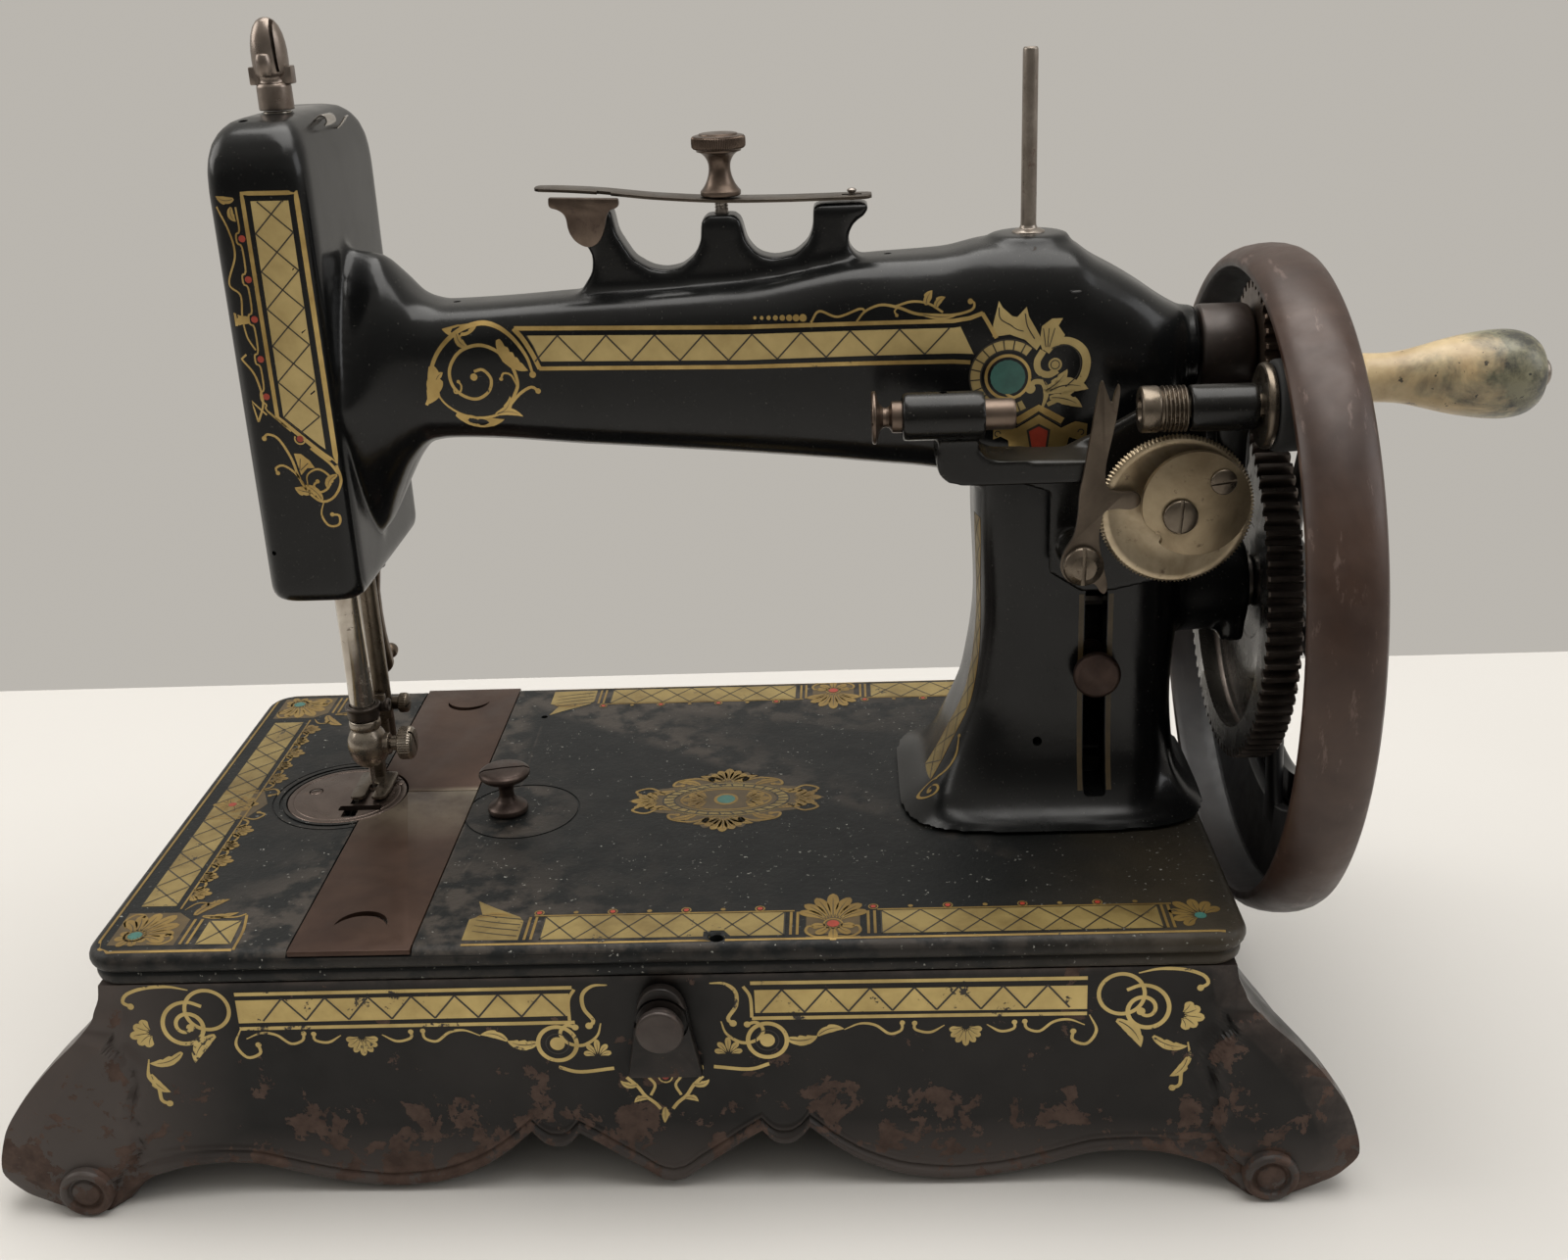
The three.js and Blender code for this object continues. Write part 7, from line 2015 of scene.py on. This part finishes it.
def medallion(t, a, b):
    edge = []
    for k in range(120):
        w = TAU * k / 120
        r = 1 / ((abs(math.cos(w)) / 29.5) ** 1.15 + (abs(math.sin(w)) / 20.4) ** 1.15) ** (1 / 1.15)
        r *= 1 + 0.055 * math.cos(20 * w)
        edge.append((a + r * math.cos(w), b + r * math.sin(w)))
    t.fill(edge, N)
    for q in (-1, 1):
        for s in (-1, 1):
            t.leaf(a + 9 * q, b + 9.8 * s, a + 16.5 * q, b + 12.4 * s, 3.2, 0.14 * q * s, 3)
            t.leaf(a + 17 * q, b + 6.6 * s, a + 24.5 * q, b + 5.4 * s, 3.0, -0.14 * q * s, 3)
            t.leaf(a + 5 * q, b + 12 * s, a + 9.4 * q, b + 16.2 * s, 2.6, 0.2 * q * s, 2)
    t.ring(a, b, 18.2, 3.6, B, squash=0.53)
    for r in (16.4, 20.0):
        t.ring(a, b, r, 0.5, K, squash=0.53, up=0.01)
    for k in range(30):
        w = TAU * k / 30
        t.line([(a + 16.6 * math.cos(w), b + 8.8 * math.sin(w)), (a + 19.8 * math.cos(w + 0.05),
                                                                  b + 10.5 * math.sin(w + 0.05))],
               0.5, K, smooth=False)
    t.ring(a, b, 14.2, 0.7, G, squash=0.50)
    for s, r in ((1, 0), (-1, 180)):
        t.palmette(a + 5.0 * s, b, 9.0, r, 110, 5, G, 2.8)
        t.palmette(a + 20.6 * s, b, 9.6, r, 110, 5, G, 3.0)
        t.palmette(a, b + 10.6 * s, 11.0, 90 * s, 120, 7, G, 3.0)
        for q in (-1, 1):
            t.curl([(a + 3.0 * q, b + 11.2 * s), (a + 10.0 * q, b + 14.6 * s), (a + 16.2 * q, b + 13.0 * s),
                    (a + 17.4 * q, b + 9.8 * s), (a + 14.6 * q, b + 10.0 * s)], 0.9)
            t.curl([(a + 19.6 * s, b + 4.0 * q), (a + 24.6 * s, b + 8.4 * q), (a + 29.0 * s, b + 6.6 * q),
                    (a + 28.0 * s, b + 4.2 * q)], 0.9)
    t.dot(a, b, 3.9, G)
    t.dot(a, b, 2.9, E)


bed_gold = Transfer(flat_top(BED, 30, 0))
bed_corner(bed_gold)
bed_band(bed_gold, 4.6, 16.4, 155)
medallion(bed_gold, 13.8, 85.5)
bed_gold.m = lambda a, b: (a, 2 * MID_Y - b)
bed_corner(bed_gold)
bed_band(bed_gold, 4.6, 16.4, 155)
bed_gold.m = plain
bed_middle(bed_gold)
bed_gold.done("bed_gold", "machine", {G: GOLD_BED_LINE, B: GOLD_BED})

# ---------------------------------------------------------------- floor, light and camera
def floor_material():
    k = Mat("studio_floor")
    tone = k.mix(k.step(k.noise(2.2, 3, 0.5), 0.3, 0.7), (0.60, 0.585, 0.56), (0.64, 0.625, 0.60))
    return k.done(tone, 0.75, 0.0, k.bump(k.noise(350, 3, 0.5), 0.05, 0.0002))


FLOOR_SIDE = 3          # metres each side
FLOOR_FRONT = -2.4      # metres, towards the camera
TABLE_EDGE_Y = 376      # machine millimetres, the table edge behind the machine
me = bpy.data.meshes.new("studio_floor")
far = row(0, TABLE_EDGE_Y, 0).y
me.from_pydata([(-FLOOR_SIDE, FLOOR_FRONT, 0), (FLOOR_SIDE, FLOOR_FRONT, 0), (FLOOR_SIDE, far, 0),
                (-FLOOR_SIDE, far, 0)], [], [(0, 1, 2, 3)])
me.materials.append(floor_material())
floor = bpy.data.objects.new("studio_floor", me)
SCENE.collection.objects.link(floor)

world = bpy.data.worlds.new("studio")
world.use_nodes = True
sky = world.node_tree.nodes["Background"]
sky.inputs["Color"].default_value = (0.50, 0.475, 0.435, 1)
# The room behind the camera is dim, so the black enamel has something dark to mirror.
heading = world.node_tree.nodes.new("ShaderNodeTexCoord")
axes = world.node_tree.nodes.new("ShaderNodeSeparateXYZ")
fade = world.node_tree.nodes.new("ShaderNodeMapRange")
fade.interpolation_type = "SMOOTHSTEP"
for socket, value in (("From Min", -0.85), ("From Max", 0.35), ("To Min", 0.24), ("To Max", 0.98)):
    fade.inputs[socket].default_value = value
world.node_tree.links.new(heading.outputs["Generated"], axes.inputs[0])
lift = world.node_tree.nodes.new("ShaderNodeMath")
lift.operation = "MULTIPLY_ADD"
lift.inputs[1].default_value = 1.1
world.node_tree.links.new(axes.outputs["Z"], lift.inputs[0])
world.node_tree.links.new(axes.outputs["Y"], lift.inputs[2])
world.node_tree.links.new(lift.outputs[0], fade.inputs["Value"])
world.node_tree.links.new(fade.outputs["Result"], sky.inputs["Strength"])
SCENE.world = world


def lamp(name, at, aim, size, power, color):
    data = bpy.data.lights.new(name, "AREA")
    data.shape = "RECTANGLE"
    data.size, data.size_y = size
    data.energy = power
    data.color = color
    obj = bpy.data.objects.new(name, data)
    SCENE.collection.objects.link(obj)
    obj.location = at
    obj.rotation_euler = (Vector(aim) - Vector(at)).to_track_quat("-Z", "Y").to_euler()
    return obj


lamp("top_softbox", (0.12, 0.12, 1.5), (0, 0, 0.05), (1.6, 1.1), 23, (1.0, 0.98, 0.95))
lamp("left_softbox", (-1.4, 0.15, 0.9), (0, 0, 0.15), (0.9, 0.9), 7, (1.0, 0.97, 0.93))
lamp("right_softbox", (1.45, -0.25, 0.9), (0.05, 0, 0.12), (0.8, 0.9), 5, (0.97, 0.98, 1.0))

SENSOR_MM, FOCAL_PX, IMAGE_WIDTH_PX = 36, 1730.5, 1600
yaw, pitch, roll = -0.04305, 0.37709, 0.04228      # radians, from the camera fit
forward = Vector((math.sin(yaw) * math.cos(pitch), math.cos(yaw) * math.cos(pitch), -math.sin(pitch)))
right = Vector((math.cos(yaw), -math.sin(yaw), 0))
down = forward.cross(right)
right2 = math.cos(roll) * right + math.sin(roll) * down
down2 = -math.sin(roll) * right + math.cos(roll) * down
cam = bpy.data.objects.new("camera", bpy.data.cameras.new("camera"))
SCENE.collection.objects.link(cam)
cam.data.sensor_width = 36
cam.data.lens = SENSOR_MM * FOCAL_PX / IMAGE_WIDTH_PX
cam.data.clip_start = 0.01
turn = Matrix(((right2.x, -down2.x, -forward.x), (right2.y, -down2.y, -forward.y),
               (right2.z, -down2.z, -forward.z))).to_4x4()
turn.translation = row(55.0, -393.0, 246.8)
cam.matrix_world = turn
SCENE.camera = cam
SCENE.view_settings.view_transform = "Standard"
SCENE.view_settings.look = "None"
SCENE.view_settings.exposure = 0.0
